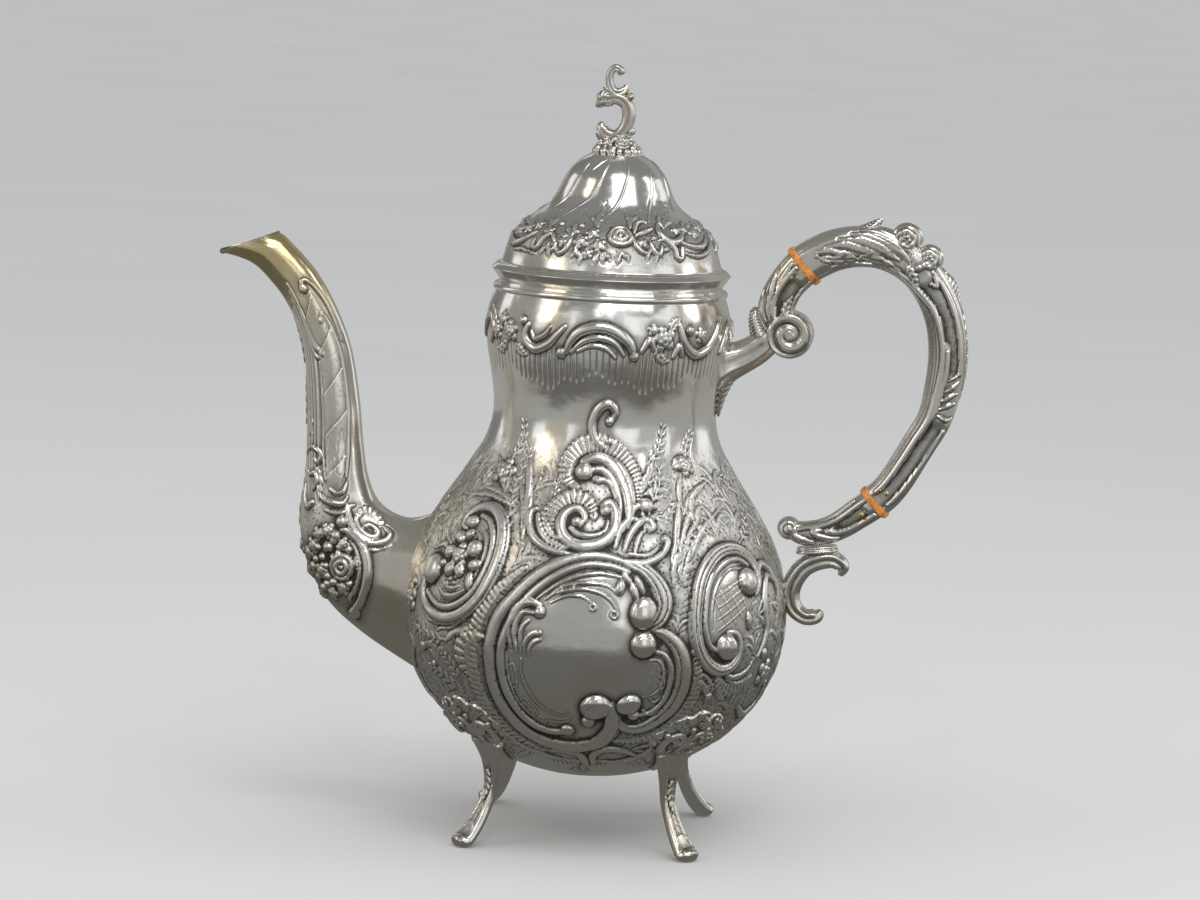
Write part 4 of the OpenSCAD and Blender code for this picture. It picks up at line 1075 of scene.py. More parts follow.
def limb_cells(stations: Sequence[Sequence[float]], cell: float, rows: int, columns: int) -> tuple[int, int]:
    """Return the rows and columns that give a limb's grid cells of a size, and at least the given counts.

    Args:
        stations: (x, z, half thickness, half width).
        cell: the cells' size in mm.
        rows: the least number of rows.
        columns: the least number of columns, a multiple of 8.

    Returns:
        The rows and the columns, again a multiple of 8.
    """
    line = smooth_line(stations, 8)
    length = run_lengths(line, slice(0, 2))[-1]
    return max(rows, round(length / cell)), max(columns, 8 * round(5.6 * line[:, 2:].max() / cell / 8))


def mirror_near_side(relief: Relief) -> None:
    """Copy a limb's relief from the viewer's side, v = 0 to 180, to the far side."""
    cols = len(relief.surface.v)
    j = np.arange(cols)
    far = relief.surface.v < 0
    for layer in (relief.height, relief.matting):
        layer[:, far] = layer[:, (cols - j[far]) % cols]


def mirror_front(relief: Relief) -> None:
    """Copy a turned surface's relief from the front half to the back half."""
    cols = len(relief.surface.v)
    j = np.arange(cols)
    back = np.abs(relief.surface.v) > 90
    for layer in (relief.height, relief.matting):
        layer[:, back] = layer[:, (cols // 2 - j[back]) % cols]


def finish_piece(clay: Clay, name: str, body: str, slot: str, material: bpy.types.Material,
                 *nodes: str) -> bpy.types.Object:
    """Build a piece, dress it, and hand it to the frame.

    Args:
        clay: what it is made of.
        name: its name.
        body: the body that it rides on.
        slot: the record's material slot; it is not used.
        material: its finish.
        nodes: the CAD nodes that it stands for.

    Returns:
        The object.
    """
    piece = clay.build(name)
    piece.data.materials.append(material)
    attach(piece, body)
    if nodes:
        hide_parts(*nodes)
    LOG.info("%s: %d faces", name, len(piece.data.polygons))
    return piece


# ---- the body --------------------------------------------------------------------------------------


@dataclass
class Body:
    """The raised pear-shaped body with its chased panels, its base and the wire round its mouth."""

    rim_z: float = 190.5
    foot_gap: float = 22.7
    wall: float = 1.2
    base_r: float = 17.5
    belly_r: float = 65.6
    belly_z: float = 76.0
    neck_r: float = 38.2
    neck_z: float = 147.0
    shoulder_r: float = 41.9
    shoulder_z: float = 176.0
    rim_r: float = 38.0
    sweep_skew: float = 1.28
    wire_r: float = 1.3
    wire_drop: float = 2.0
    sectors: int = 6
    fields: tuple[tuple[float, float, float, float], ...] = ((2, 22, 72, 29), (48, 9, 89, 15))

    def profile(self) -> Array:
        """Return the outline from the base's edge to the rim.

        The bowl is a quarter ellipse, the sweep and the shoulder are half cosines, and the rim turns in on
        a quarter cosine.
        """
        start = math.asin(self.base_r / self.belly_r)
        depth = (self.belly_z - self.foot_gap) / math.cos(start)
        turn = np.linspace(start, math.pi / 2, 120)
        t = np.linspace(0, 1, 121)[1:]
        bowl = np.stack([self.belly_r * np.sin(turn), self.belly_z - depth * np.cos(turn)], axis=1)
        sweep = np.stack([lerp(self.belly_r, self.neck_r, ease(t ** self.sweep_skew)),
                          lerp(self.belly_z, self.neck_z, t)], axis=1)
        shoulder = np.stack([lerp(self.neck_r, self.shoulder_r, ease(t)),
                             lerp(self.neck_z, self.shoulder_z, t)], axis=1)
        rim = np.stack([lerp(self.rim_r, self.shoulder_r, np.cos(math.pi / 2 * t)),
                        lerp(self.shoulder_z, self.rim_z, t)], axis=1)
        return np.concatenate([bowl, sweep, shoulder, rim])

    def radius_at(self, z: Array) -> Array:
        """Return the radius at a height."""
        line = self.profile()
        return np.interp(z, line[:, 1], line[:, 0])

    def surface(self) -> Surface:
        """Return the plain sheet: rows in a multiple of 8, columns in a multiple of the sectors."""
        line = self.profile()
        rows = 8 * round(run_lengths(line)[-1] / GRID_MM / 8) + 1
        columns = 4 * self.sectors * round(2 * math.pi * self.belly_r / GRID_MM / (4 * self.sectors))
        return revolved(line, columns, rows)

    # -- chasing --

    def chase(self, relief: Relief) -> None:
        """Chase the whole front; the back takes its mirror image."""
        self.chase_ground(relief)
        self.chase_frills(relief)
        self.chase_cartouche(relief)
        self.chase_medallions(relief)
        self.chase_shell_group(relief)
        relief.soften(0.6, 0.35)
        self.chase_field(relief)
        self.chase_flowers(relief)
        self.chase_sprays(relief)
        self.chase_garland(relief)
        self.chase_foot_ornament(relief)
        mirror_front(relief)
        rng = np.random.default_rng(5)
        waves = box_blur(rng.normal(size=relief.height.shape), int(2.2 / GRID_MM), True)
        relief.height += (0.018 + 0.03 * relief.matting) * waves / waves.std()

    def chase_ground(self, relief: Relief) -> None:
        """Mat the ground between the frames and roughen it with small hollows."""
        v, u = relief.grid()
        band = soft_step(u, 30, 40) * (1 - soft_step(u, 128, 140))
        relief.matting[:] = 0.9 * band
        rng = np.random.default_rng(11)
        grain = box_blur(rng.normal(size=relief.height.shape), max(1, int(round(0.6 / GRID_MM))), True)
        for a, b, c, d in self.fields:
            band = band * soft_step(((v - a) / b) ** 2 + ((u - c) / d) ** 2, 0.8, 1.15)
        relief.height += 0.03 * band * grain / grain.std()

    def chase_frills(self, relief: Relief) -> None:
        """Raise the shell edges outside the frames."""
        r = relief
        r.frill([(-18, 98.6), (-24, 91.2), (-28.4, 83.4), (-31, 74.6), (-31.6, 65.4), (-30.6, 56),
             (-27.4, 47.4), (-22.4, 41), (-15, 36.6)], -5.4, 1.95, 0.8, 0.25)
        r.frill([(-30.6, 74), (-33.6, 71.4), (-34.8, 66.6), (-33.4, 62)], -7.0, 1.9, 1.0)
        r.frill([(35, 73), (36.6, 64), (35.2, 55.4), (30.8, 48), (24.4, 43.8), (15, 42.4)], 4.8, 1.75, 0.75,
            0.2)
        r.frill([(60, 63.4), (54, 61.4), (49, 62.6), (46, 66)], 5.0, 1.6, 0.8)
        r.frill([(-14, 32.6), (-6, 31.4), (4, 31.2), (14, 32.6)], 3.4, 1.7, 0.5)

    def chase_cartouche(self, relief: Relief) -> None:
        """Chase the big asymmetric frame on the front, its bulbs and inner scrolls."""
        r = relief
        r.reeded([(17, 101.5), (12, 104.2), (5, 105.4), (-2, 104.6), (-9, 101.4), (-15, 96.4), (-20, 90),
             (-24.4, 83), (-26.8, 74), (-27.2, 65), (-26.4, 57), (-23.8, 49.6), (-19.5, 43.8), (-14, 40.6),
             (-6, 39), (1, 39), (8, 41), (12, 45.4), (12.4, 50.6), (10.6, 55)],
            [1.0, 1.7, 2.0, 2.1, 2.2, 2.2, 2.2, 2.3, 2.6, 3.2, 3.0, 2.4], 1.6, (-0.72,))
        r.stroke([(14.5, 100.6), (9, 102.2), (2, 102.4), (-5, 100), (-11.6, 95), (-16.8, 88.6), (-20.6, 81.4),
                  (-22.9, 73.5), (-23.2, 65), (-21.8, 57), (-18.8, 50.4), (-14.4, 46.4), (-9.4, 44.6),
                  (-4.6, 44.6)], [1.0, 1.2, 1.35, 1.45, 1.5, 1.5, 1.5, 1.4], 1.1, dip=0.4)
        r.blob((-2.8, 45.4), 2.4, 1.6, dip=0.25)
        r.blob((6.4, 54.6), 4.7, 2.6, long=1.1, turn=20, dip=0.3)
        r.blob((4.4, 49.4), 2.3, 2.0, dip=0.3)
        # the right-hand C and its bulbs
        r.reeded([(19.6, 80.8), (23, 81.4), (27, 79.4), (30.6, 75), (32.6, 68.6), (32.8, 61), (31, 54.6),
                  (27, 49.8), (22, 47), (17.4, 47), (14.4, 49.2), (13, 52.6)],
                 [0.9, 1.6, 2.3, 2.8, 3.0, 3.0, 2.9, 2.7, 2.4, 2.0, 1.5, 1.0], 1.5, (-0.45,))
        r.stroke([(22.6, 74.8), (26, 73.4), (28.4, 69), (28.8, 63), (27.6, 57), (24.6, 53.4), (20.4, 52)],
                 [0.6, 0.9, 1.0, 1.0, 0.9, 0.7], 0.9, dip=0.25)
        r.blob((19.6, 76.8), 4.4, 2.5, dip=0.3)
        r.blob((16.8, 55.8), 3.7, 2.0, long=1.15, turn=30, dip=0.3)
        r.blob((18.8, 52.2), 1.9, 1.9, dip=0.3)
        # the leafy bulb on the upper right
        r.reeded([(15.4, 103.4), (20.4, 100.8), (24, 96), (25.4, 90.2), (23.8, 85), (20, 82.6)],
                 [1.2, 2.3, 3.0, 3.2, 2.5, 1.2], 1.8, (-0.4, 0.35))
        r.blob((19.4, 87.4), 4.7, 2.6, long=1.2, turn=80, dip=0.3)
        for at, long, turn, size in (((16.4, 94.6), 2.6, 108, 1.25), ((18.2, 96.4), 3.0, 114, 1.1),
                                     ((12.2, 95.6), 1.8, 80, 1.5), ((14.2, 98.4), 2.2, 125, 1.1)):
            r.blob(at, size, 1.1, long=long, turn=turn, dip=0.25)
        # the left inner C with its strands
        for path, width, height in (
                ([(-11.5, 88.2), (-14.6, 89.2), (-18, 87.4), (-20.2, 83), (-20.6, 78), (-19.8, 73.4)],
                 [0.9, 1.4, 1.5, 1.3, 0.9, 0.4], 1.1),
                ([(-13, 85.6), (-16.4, 85.6), (-18.4, 82), (-18.8, 77), (-18, 72.4)], [0.7, 1.0, 1.0, 0.5],
                 0.8), ([(-14.4, 83), (-16.4, 80.6), (-17, 76), (-16.6, 71.6)], [0.5, 0.8, 0.7, 0.3], 0.6),
                ([(-11, 79.2), (-13.6, 78.4), (-15.4, 75.4), (-15.6, 71)], [0.8, 0.9, 0.7, 0.3], 0.6),
                ([(-10.6, 77), (-12.6, 76), (-14, 73.4), (-14.2, 70.6)], [0.5, 0.7, 0.5, 0.2], 0.5)):
            r.stroke(path, width, height, dip=0.25)
        r.blob((-11.4, 86), 1.9, 1.4, dip=0.25)

    def chase_field(self, relief: Relief) -> None:
        """Burnish the fields inside the frames and engrave their edges."""
        r = relief
        surface = relief.surface
        v, u = surface.v[None], surface.u[:, None]
        for a, b, c, d in self.fields:
            r.matting *= soft_step(((v - a) / b) ** 2 + ((u - c) / d) ** 2, 0.8, 1.15)
        for path, width in (
                ([(12.6, 98.8), (6, 99.8), (-1, 98.6), (-7, 95.4), (-12.6, 90.4)], 0.75),
                ([(-21.2, 72), (-20.9, 63), (-18.8, 55), (-14.8, 50), (-10, 47.6)], 0.4),
                ([(-16.6, 70), (-16.4, 64), (-14.6, 58.6), (-11.4, 54), (-7, 51.4), (-3.6, 51), (-2.2, 52.4)],
                 0.4), ([(-10.4, 46.6), (-9.6, 48.4), (-6, 48.2), (-2.6, 48.8), (-0.6, 50.8)], 0.35),
                ([(-9.6, 90.6), (-6.4, 93), (0, 94.6), (6, 93.6), (9.6, 91), (11, 88.6)], 0.6),
                ([(-8.4, 89.4), (-4, 92), (0.4, 92.2), (3.4, 90.6)], 0.45),
                ([(-10, 90.4), (-5.4, 94.8), (1, 96.6), (8, 96), (11.4, 93.4)], 0.5),
                ([(21.6, 71.6), (24.4, 71.4), (26.2, 68), (26, 62.6), (23.6, 59.4), (20.6, 58.8)], 0.4),
                ([(21.4, 54.2), (24, 52.4), (27.6, 53.8)], 0.7),
                ([(-20.6, 67), (-18.8, 67.2), (-18.3, 60.4), (-20.2, 59.4)], 0.3),
                ([(-17.8, 55), (-16.4, 55.8), (-12.8, 51.4), (-13.8, 49.8)], 0.3),
                ([(-5.4, 94), (-4.2, 95.8)], 0.4), ([(-8, 92), (-6.6, 94.2)], 0.4),
                ([(-2, 94.8), (-1.2, 96.6)], 0.4), ([(24.8, 66), (26.8, 65.2), (26.8, 62), (25, 61.2)], 0.3),
                ([(23, 58.4), (24.8, 56.8), (26.6, 58.4)], 0.35)):
            r.stroke(path, [0.6 * width, width, width, 0.5 * width], 0.24 + 0.35 * width, dip=0.2)
        r.ring((10.6, 86.6), 1.1, 0.35, 0.3)
        r.ring((4.2, 88.8), 1.0, 0.35, 0.3)
        for path in ([(21.4, 92.4), (23, 89), (21.8, 85.6)], [(19.4, 98.6), (22.4, 94.4), (23.4, 90)],
                     [(3, 52.4), (3.4, 54.6), (6, 56.4)], [(17, 79), (18.6, 80), (21, 79.6)]):
            r.cut(path, 0.35, 0.3)

    def chase_medallions(self, relief: Relief) -> None:
        """Chase the two oval frames beside the front one, with their bulbs."""
        r = relief
        r.reeded([(-59, 90), (-58.4, 85), (-54.4, 80.8), (-48, 79), (-42, 79.8), (-36.4, 83), (-31.6, 88.6),
                  (-28.6, 96), (-27.6, 103), (-29, 109.6), (-32.6, 114.4), (-38, 116.8), (-44, 116.4),
                  (-48.4, 113.8), (-49, 110.6), (-46.4, 109)],
                 [1.4, 1.8, 2.1, 2.2, 2.3, 2.5, 2.6, 2.4, 2.0, 1.5, 1.0], 1.5, (-0.6,))
        r.stroke([(-56, 86.6), (-51, 83.6), (-46, 82.8), (-40.4, 84.6), (-35.2, 89), (-32.2, 95.4),
             (-31.2, 102), (-32.6, 108), (-36.4, 112.4), (-41.6, 113.8)], [0.8, 1.0, 1.2, 1.2, 1.2, 1.0, 0.7],
            0.9, dip=0.3)
        r.blob((-55, 94.2), 4.9, 2.7, long=1.05, turn=90, dip=0.3)
        r.reeded([(62, 91.4), (64.6, 95.6), (64, 101), (60, 105), (54, 106.8), (47, 105.6), (41.4, 101.6),
             (37.8, 96), (36.2, 89), (36, 82), (37.4, 75), (40.6, 70), (45, 67.2), (49.6, 67.4), (52.8, 70.6),
             (53.2, 75.4), (51.4, 78.8), (48, 79.6)],
            [0.9, 1.6, 2.0, 2.2, 2.4, 2.4, 2.3, 2.2, 2.2, 2.2, 1.9, 1.4, 0.8], 1.5, (0.5, -0.2))
        r.stroke([(60.4, 101), (56, 103.2), (50, 102.8), (44, 99.4), (40.6, 94), (39.2, 87), (39.4, 81),
             (41.2, 76), (44.4, 73.6)], [0.7, 1.0, 1.1, 1.1, 1.0, 0.7], 0.85, dip=0.3)
        r.blob((58.4, 95.8), 4.6, 2.5, dip=0.3)
        r.blob((47.8, 74.8), 4.2, 2.4, long=1.15, turn=150, dip=0.3)

    def chase_flowers(self, relief: Relief) -> None:
        """Fill the medallions: flowers and strands in the left one, a trellis in the right one."""
        r = relief
        for path, width in (
                ([(-34.8, 94.6), (-33.6, 101), (-35, 107), (-39.4, 110.8)], 0.7),
                ([(-36.8, 97.4), (-36, 103), (-37.8, 107), (-41.2, 109.2)], 0.6),
                ([(-49.6, 88.6), (-46.4, 86.6), (-42, 87.2), (-38.2, 89.8)], 1.0),
                ([(-48.4, 91), (-44.4, 89.2), (-40.2, 91)], 0.7),
                ([(-50, 101.6), (-54, 102.8), (-59, 100.6)], 1.0),
                ([(-50.6, 103.6), (-55, 106.6), (-56.4, 110)], 0.9), ([(-49.4, 105.6), (-52.6, 109.4)], 0.8),
                ([(-58.4, 103.6), (-61.6, 106.6)], 0.9),
                ([(-57.4, 79.4), (-53, 77.2), (-46, 76.8), (-40, 78), (-35.6, 80.4)], 0.6),
                ([(-38, 79.4), (-42, 76.6), (-47, 75.4), (-49.4, 73.4), (-47.8, 72.2)], 0.5),
                ([(57, 100.2), (51, 100.4), (46, 97.4), (42.8, 92.4), (41.6, 86.4), (41.8, 81.4)], 0.5),
                ([(34.4, 92), (33.6, 84), (34.8, 76), (37.6, 69.4)], 0.6),
                ([(38.6, 66.6), (41.6, 64.6), (44.6, 60.6), (43.8, 58)], 0.6),
                ([(38.2, 66), (39, 62.4), (42.4, 59.6)], 0.5), ([(46, 62), (48.6, 58), (51.6, 55.4)], 1.3),
                ([(47.4, 66), (52, 63.6), (58, 65), (61, 69.4)], 1.3), ([(50, 63), (56, 61), (62, 63)], 0.8),
                ([(51, 60.6), (55, 58.4), (59, 59.4)], 0.8)):
            r.stroke(path, [0.5 * width, width, width, 0.4 * width], 0.35 + 0.45 * width, Shape.LEAN,
                dip=0.22)
        r.rosette((-43.6, 100.4), 4.4, 1.9, 5, 20)
        for at, size, long, turn in (
                ((-38.4, 103.4), 3.0, 1.0, 0), ((-36, 98.4), 1.9, 1.5, 20), ((-36.6, 92.8), 1.5, 2.2, 100),
                ((-46.4, 95.6), 2.2, 1.2, 60), ((-41.8, 95.8), 2.1, 1.2, 120), ((-49, 101), 2.2, 1.2, 30),
                ((-46.6, 106.2), 2.0, 1.3, 150), ((-42.8, 107.6), 1.7, 1.2, 40),
                ((-44.6, 111.4), 2.2, 1.3, 10), ((-50.6, 97), 1.4, 1.0, 0), ((43.8, 58), 1.5, 1.0, 0),
                ((66.6, 70.6), 1.5, 1.2, 90), ((57, 83), 1.3, 2.4, 95), ((-57.4, 67.6), 1.5, 1.2, 0),
                ((-51.8, 62.6), 1.1, 1.0, 0)):
            r.blob(at, size, 0.55 + 0.45 * size, long=long, turn=turn, dip=0.25, vein=0.1 * size)
        r.berries((-44, 91.6), 2.8, 0.8, 0.6, 5, 3)
        r.rosette((70, 63), 5.0, 1.6, 5, 0)
        r.rosette((-68, 82), 5.0, 1.6, 5, 30)
        for k in range(4):
            r.stroke([(42.4 + 3.3 * k, 92.6 + k), (48 + 3.1 * k, 81 + 1.4 * k)], 0.3, 0.26, Shape.RIDGE,
                dip=0.2)
            r.stroke([(44, 80.6 + 3.8 * k), (55.6, 87.4 + 3.2 * k)], 0.3, 0.26, Shape.RIDGE, dip=0.2)

    def chase_shell_group(self, relief: Relief) -> None:
        """Chase the group over the front frame: two fluted C-scrolls with shell edges, spray and curls."""
        r = relief
        r.frill([(-5.6, 127.4), (-8.6, 129.6), (-8.2, 133.4), (-3.6, 136.6), (3, 137), (9, 135.6),
             (14, 132.4), (17.8, 127.6), (18.6, 122.6)], 6.6, 1.3, 0.95)
        r.frill([(1.4, 117.6), (-1.6, 120.4), (-6.4, 120.4), (-9.8, 117.6), (-10.8, 113.8), (-9.4, 110.4),
                 (-6, 107.8)], -6.4, 1.25, 0.95)
        for path, width, height in (
                ([(-3.4, 134), (1, 135.4), (7, 134.6), (11.4, 131.6), (14.4, 127), (15.8, 122), (15.4, 117),
                  (13, 113)], [1.6, 2.2, 2.3, 2.0, 1.7, 1.3, 0.7], 1.7),
                ([(8, 135.2), (12, 133.6), (15.6, 129.6), (17.4, 124.4), (17.2, 118.6), (15, 114)],
                 [1.3, 1.7, 1.6, 1.2, 0.8, 0.5], 1.35),
                ([(1.5, 131.8), (5, 131.8), (8.6, 129.8), (11.2, 126.4), (12.6, 122), (12.8, 116.6)],
                 [1.2, 1.4, 1.2, 1.0, 0.7, 0.5], 1.2),
                ([(2.2, 129), (5.4, 128.8), (8.6, 127.6), (10.6, 124.6), (11.2, 121)],
                 [1.0, 1.0, 0.8, 0.6, 0.4], 0.9),
                ([(6.4, 118.6), (6.8, 121.2), (9.2, 121.4), (10.8, 118.4), (10.4, 114.2), (7.6, 110.4),
                  (3, 108.4), (-2, 108.2), (-6.6, 110.4), (-8.8, 114), (-8.2, 117.6), (-5, 119.4),
                  (-1.8, 118.8), (-0.6, 116.4), (-2, 114.6)],
                 [1.1, 1.6, 1.9, 2.1, 2.2, 2.2, 2.0, 1.8, 1.6, 1.3, 1.0], 1.6),
                ([(8, 116), (7, 113), (3, 111.4), (-2, 111.6), (-5, 113.4)], [0.6, 0.9, 1.0, 0.8], 1.0),
                ([(-2, 105.4), (-10, 106), (-16.6, 109), (-20.4, 113.4), (-21.2, 117.4), (-19.6, 118.2)],
                 [0.5, 1.0, 1.3, 1.3, 1.2, 0.9], 1.2),
                ([(-4, 107), (-11, 108.6), (-15.6, 112), (-18.2, 116.6)], [0.4, 0.9, 1.2, 0.7], 1.0),
                ([(-5, 108.6), (-10.6, 110.6), (-13.8, 113.4), (-15.8, 116.4)], [0.3, 0.8, 1.0, 0.5], 0.8),
                ([(10.6, 108), (12, 113), (15, 116.4), (18.4, 116.8), (19.2, 115)], [0.6, 1.0, 1.2, 1.1, 0.8],
                 1.1), ([(13.5, 107), (15.6, 112), (19.4, 115.8), (23, 116.8), (24.6, 114.6), (22.8, 113.4)],
                 [0.6, 1.0, 1.2, 1.3, 1.2, 0.9], 1.1),
                ([(14, 115), (16.6, 119), (19.6, 121)], [0.6, 1.0, 1.2], 1.0),
                ([(17, 106.4), (18.4, 110.6), (20.2, 113)], [0.5, 0.9, 0.6], 0.8),
                ([(12, 104.2), (20, 103.4), (26, 106), (28.8, 109.6), (28.6, 111.4)],
                 [0.6, 1.2, 1.3, 1.1, 1.1], 1.1),
                ([(15, 106.2), (21, 105.8), (25, 108.2)], [0.5, 0.9, 0.5], 0.8),
                ([(8.4, 147.4), (10.4, 150.6), (7, 153.4), (2, 151.6), (-1, 146.4), (0.8, 141.4), (5, 139.2)],
                 [0.8, 1.2, 1.5, 1.6, 1.5, 1.3, 1.1], 1.1)):
            r.stroke(path, width, height, dip=0.3)
        for at, size, height in (
                ((-2.8, 131), 3.1, 2.1), ((7.2, 119.4), 1.9, 1.5), ((-3.2, 115.4), 1.8, 1.7),
                ((22.8, 121.2), 2.7, 1.7), ((22.2, 114.4), 1.4, 1.3), ((7.6, 147.6), 1.5, 1.2),
                ((8, 141), 1.5, 1.2), ((28, 110.8), 1.3, 1.3), ((4, 128.4), 1.2, 1.1)):
            r.blob(at, size, height, dip=0.25)

    def chase_sprays(self, relief: Relief) -> None:
        """Chase the sprays of fronds and sprigs between and above the frames."""
        r = relief
        r.fan((29.6, 96.6), [(33, 112), (36.6, 118), (41, 127), (45.6, 124)], 0.08, 1.2, 0.8)
        r.fan((31.4, 99), [(38.6, 111), (46, 118.4), (52, 117), (58, 119.6)], -0.1, 1.2, 0.8)
        r.fan((29, 97), [(34.6, 105), (37.8, 108)], -0.2, 1.6, 0.9)
        r.fan((-21.4, 108.6), [(-24, 116), (-24.4, 124), (-27.6, 129), (-31.4, 136)], 0.06, 1.1, 0.8)
        r.fan((-23, 112), [(-31, 126), (-35.4, 138)], 0.08, 1.0, 0.7)
        r.fan((-28, 118), [(-38, 121.6), (-48, 122.6), (-58, 119)], 0.1, 1.2, 0.7)
        r.fan((22, 124), [(24.4, 129.6), (28.6, 132.4), (33.6, 125.8)], 0.1, 1.4, 0.8)
        r.fan((25.6, 128), [(29.4, 135), (34.8, 129)], 0.1, 1.1, 0.7)
        r.fan((38, 118), [(43, 131), (50, 126), (58, 128)], 0.1, 1.1, 0.7)
        r.fan((33, 96), [(33.4, 104), (36.6, 103.6)], 0.16, 1.5, 0.8)
        r.fan((36, 66), [(40, 58), (44.6, 53), (37, 55)], 0.12, 1.3, 0.7)
        r.fan((-33, 78), [(-40, 74), (-46, 70), (-38, 70)], 0.1, 1.2, 0.7)
        r.fan((-36, 122), [(-44, 134), (-48, 128), (-52, 133)], 0.1, 1.1, 0.7)
        r.fan((62, 84), [(68, 90), (70, 84), (67, 78)], 0.1, 1.3, 0.7)
        r.fan((-62, 88), [(-70, 92), (-71, 86), (-68, 80)], 0.1, 1.3, 0.7)
        r.fan((-20, 36), [(-30, 38), (-33, 34), (-27, 32)], 0.1, 1.3, 0.7)
        r.fan((22, 37), [(31, 40), (34, 36), (28, 33)], 0.1, 1.3, 0.7)
        for k in range(11):
            r.cut([(29.2 + 0.5 * k, 80 + 2.2 * k), (32.4 + 0.5 * k, 81.4 + 2.2 * k)], 0.35, 0.22)
            r.cut([(-25.6 + 0.3 * k, 100 - 1.5 * k + 5), (-27.8 + 0.3 * k, 101 - 1.5 * k + 5)], 0.35, 0.2)
        r.sprig([(-37.4, 51.6), (-44, 56), (-50, 59.6), (-58, 60.6)], 7, 4.2, 0.7)
        r.sprig([(-12, 118), (-14, 126), (-12, 132)], 5, 2.6, 0.5)
        r.sprig([(24, 118), (30, 118), (35, 121)], 4, 2.8, 0.5)
        r.sprig([(-60, 104), (-62, 112), (-59, 119)], 5, 3.6, 0.6)
        r.sprig([(40, 62), (48, 60), (56, 61)], 4, 3.0, 0.5)
        r.sprig([(-40, 58), (-43, 63.4), (-46.6, 67)], 5, 3.4, 0.65)
        r.sprig([(-44, 72), (-53, 71.6), (-62, 72.6)], 6, 3.4, 0.6)
        r.sprig([(36, 47), (44, 50), (53, 49), (62, 52)], 7, 4.2, 0.7)
        r.sprig([(-38, 44), (-47, 45), (-57, 49.6)], 7, 4.0, 0.7)
        r.sprig([(60, 108), (68, 112), (76, 120)], 6, 4.0, 0.7)
        r.sprig([(46, 131), (49, 138), (54, 143)], 5, 3.4, 0.6)
        r.sprig([(-66, 98), (-72, 108), (-76, 118)], 7, 4.0, 0.7)
        r.sprig([(-41, 132), (-38.6, 139), (-39.6, 145)], 5, 3.2, 0.6)
        r.sprig([(26, 134), (33, 139), (36, 146)], 5, 3.2, 0.6)
        r.sprig([(21, 113), (25, 121), (30, 127), (32, 132.6)], 6, 4.4, 0.75)
        r.sprig([(30, 104), (36, 110), (43, 113), (50, 112.4)], 6, 4.0, 0.7)
        r.sprig([(-28, 106), (-30, 116), (-33, 126), (-32, 134)], 7, 3.8, 0.65)
        r.rosette((-42, 128.4), 4.8, 1.6, 5, 10)
        r.rosette((46.4, 133), 3.6, 1.3, 5, 40)
        r.blob((43.4, 134), 2.4, 1.2, long=1.5, turn=20, vein=0.3)
        for path in ([(63, 70), (67, 78), (66, 88), (70, 96), (75, 94)],
                     [(-66, 66), (-72, 58), (-70, 50), (-63, 47)],
                     [(62, 52), (70, 48), (76, 52), (75, 59)],
                     [(64, 97), (68, 100.4), (73.4, 97.6), (76.4, 92), (77, 86)]):
            r.stroke(path, [0.8, 1.4, 1.6, 1.3, 0.8], 1.1, dip=0.25)
        r.strew(1600, 34, 126, 10.0, 0.5, 21)
        r.strew(1400, 32, 128, 6.0, 0.38, 22)

    def chase_garland(self, relief: Relief) -> None:
        """Chase the band of scrolls and flowers round the bulge, with fine flutes under it."""
        r = relief
        v, u = relief.grid()
        length = 161.5 + 2.2 * np.cos(np.radians(v * 7)) + 1.2 * np.cos(np.radians(v * 23))
        wave = np.abs(np.cos(np.pi * v / 3.1)) ** 14
        r.height -= 0.26 * wave * soft_step(u, length - 1.5, length) * (1 - soft_step(u, 170, 172.5))
        for path, width, height in (
                ([(-14.4, 170.6), (-12.6, 174), (-8, 177.6), (0, 179.4), (8, 178.2), (14.6, 174.6),
                  (17, 170.6)], [1.0, 1.6, 1.8, 1.8, 1.7, 1.2], 1.4),
                ([(-12, 170.6), (-6, 174.6), (1, 175.9), (8, 174.4), (12.4, 170.4)],
                 [0.6, 1.0, 1.1, 1.0, 0.6], 0.9),
                ([(-9, 171), (-3, 173), (4, 172.4), (8.6, 169.4)], [0.5, 0.7, 0.7, 0.5], 0.6),
                ([(-35, 178.4), (-36.8, 174), (-31.4, 170.6), (-24, 172.4), (-19, 176), (-15.6, 178.8)],
                 [0.9, 1.4, 1.6, 1.5, 1.2, 0.8], 1.2),
                ([(-33, 176.4), (-31, 174), (-26, 175.4), (-22.6, 178.4)], [0.5, 0.8, 0.8, 0.5], 0.7),
                ([(40, 180.6), (43, 174.4), (50, 170.6), (58, 172), (64, 176.6), (67.4, 180)],
                 [0.9, 1.4, 1.6, 1.6, 1.3, 0.8], 1.2),
                ([(21, 172), (24.6, 175.6), (26.6, 172.6)], [0.8, 1.2, 0.8], 0.9),
                ([(37, 170), (39.6, 173.4), (42, 170.6)], [0.8, 1.2, 0.8], 0.9),
                ([(-66, 170.6), (-62, 175.4), (-67, 179.4), (-74, 177), (-80, 171.6)],
                 [0.8, 1.3, 1.5, 1.3, 0.8], 1.1),
                ([(70, 170.6), (74, 174.6), (80, 178.6), (86, 175)], [0.8, 1.3, 1.5, 1.2], 1.1)):
            r.stroke(path, width, height, dip=0.22)
        for at, size in (((-17, 170), 1.8), ((46, 178.8), 1.6), ((-38.5, 179.6), 1.4), ((17.4, 170), 1.6)):
            r.blob(at, size, 1.2, dip=0.2)
        for at, size in (((-46.6, 175.4), 3.7), ((-58, 175), 3.3), ((-52.4, 179), 2.6), ((31.5, 176), 4.2),
                         ((26, 179), 2.2), ((53, 177), 2.8)):
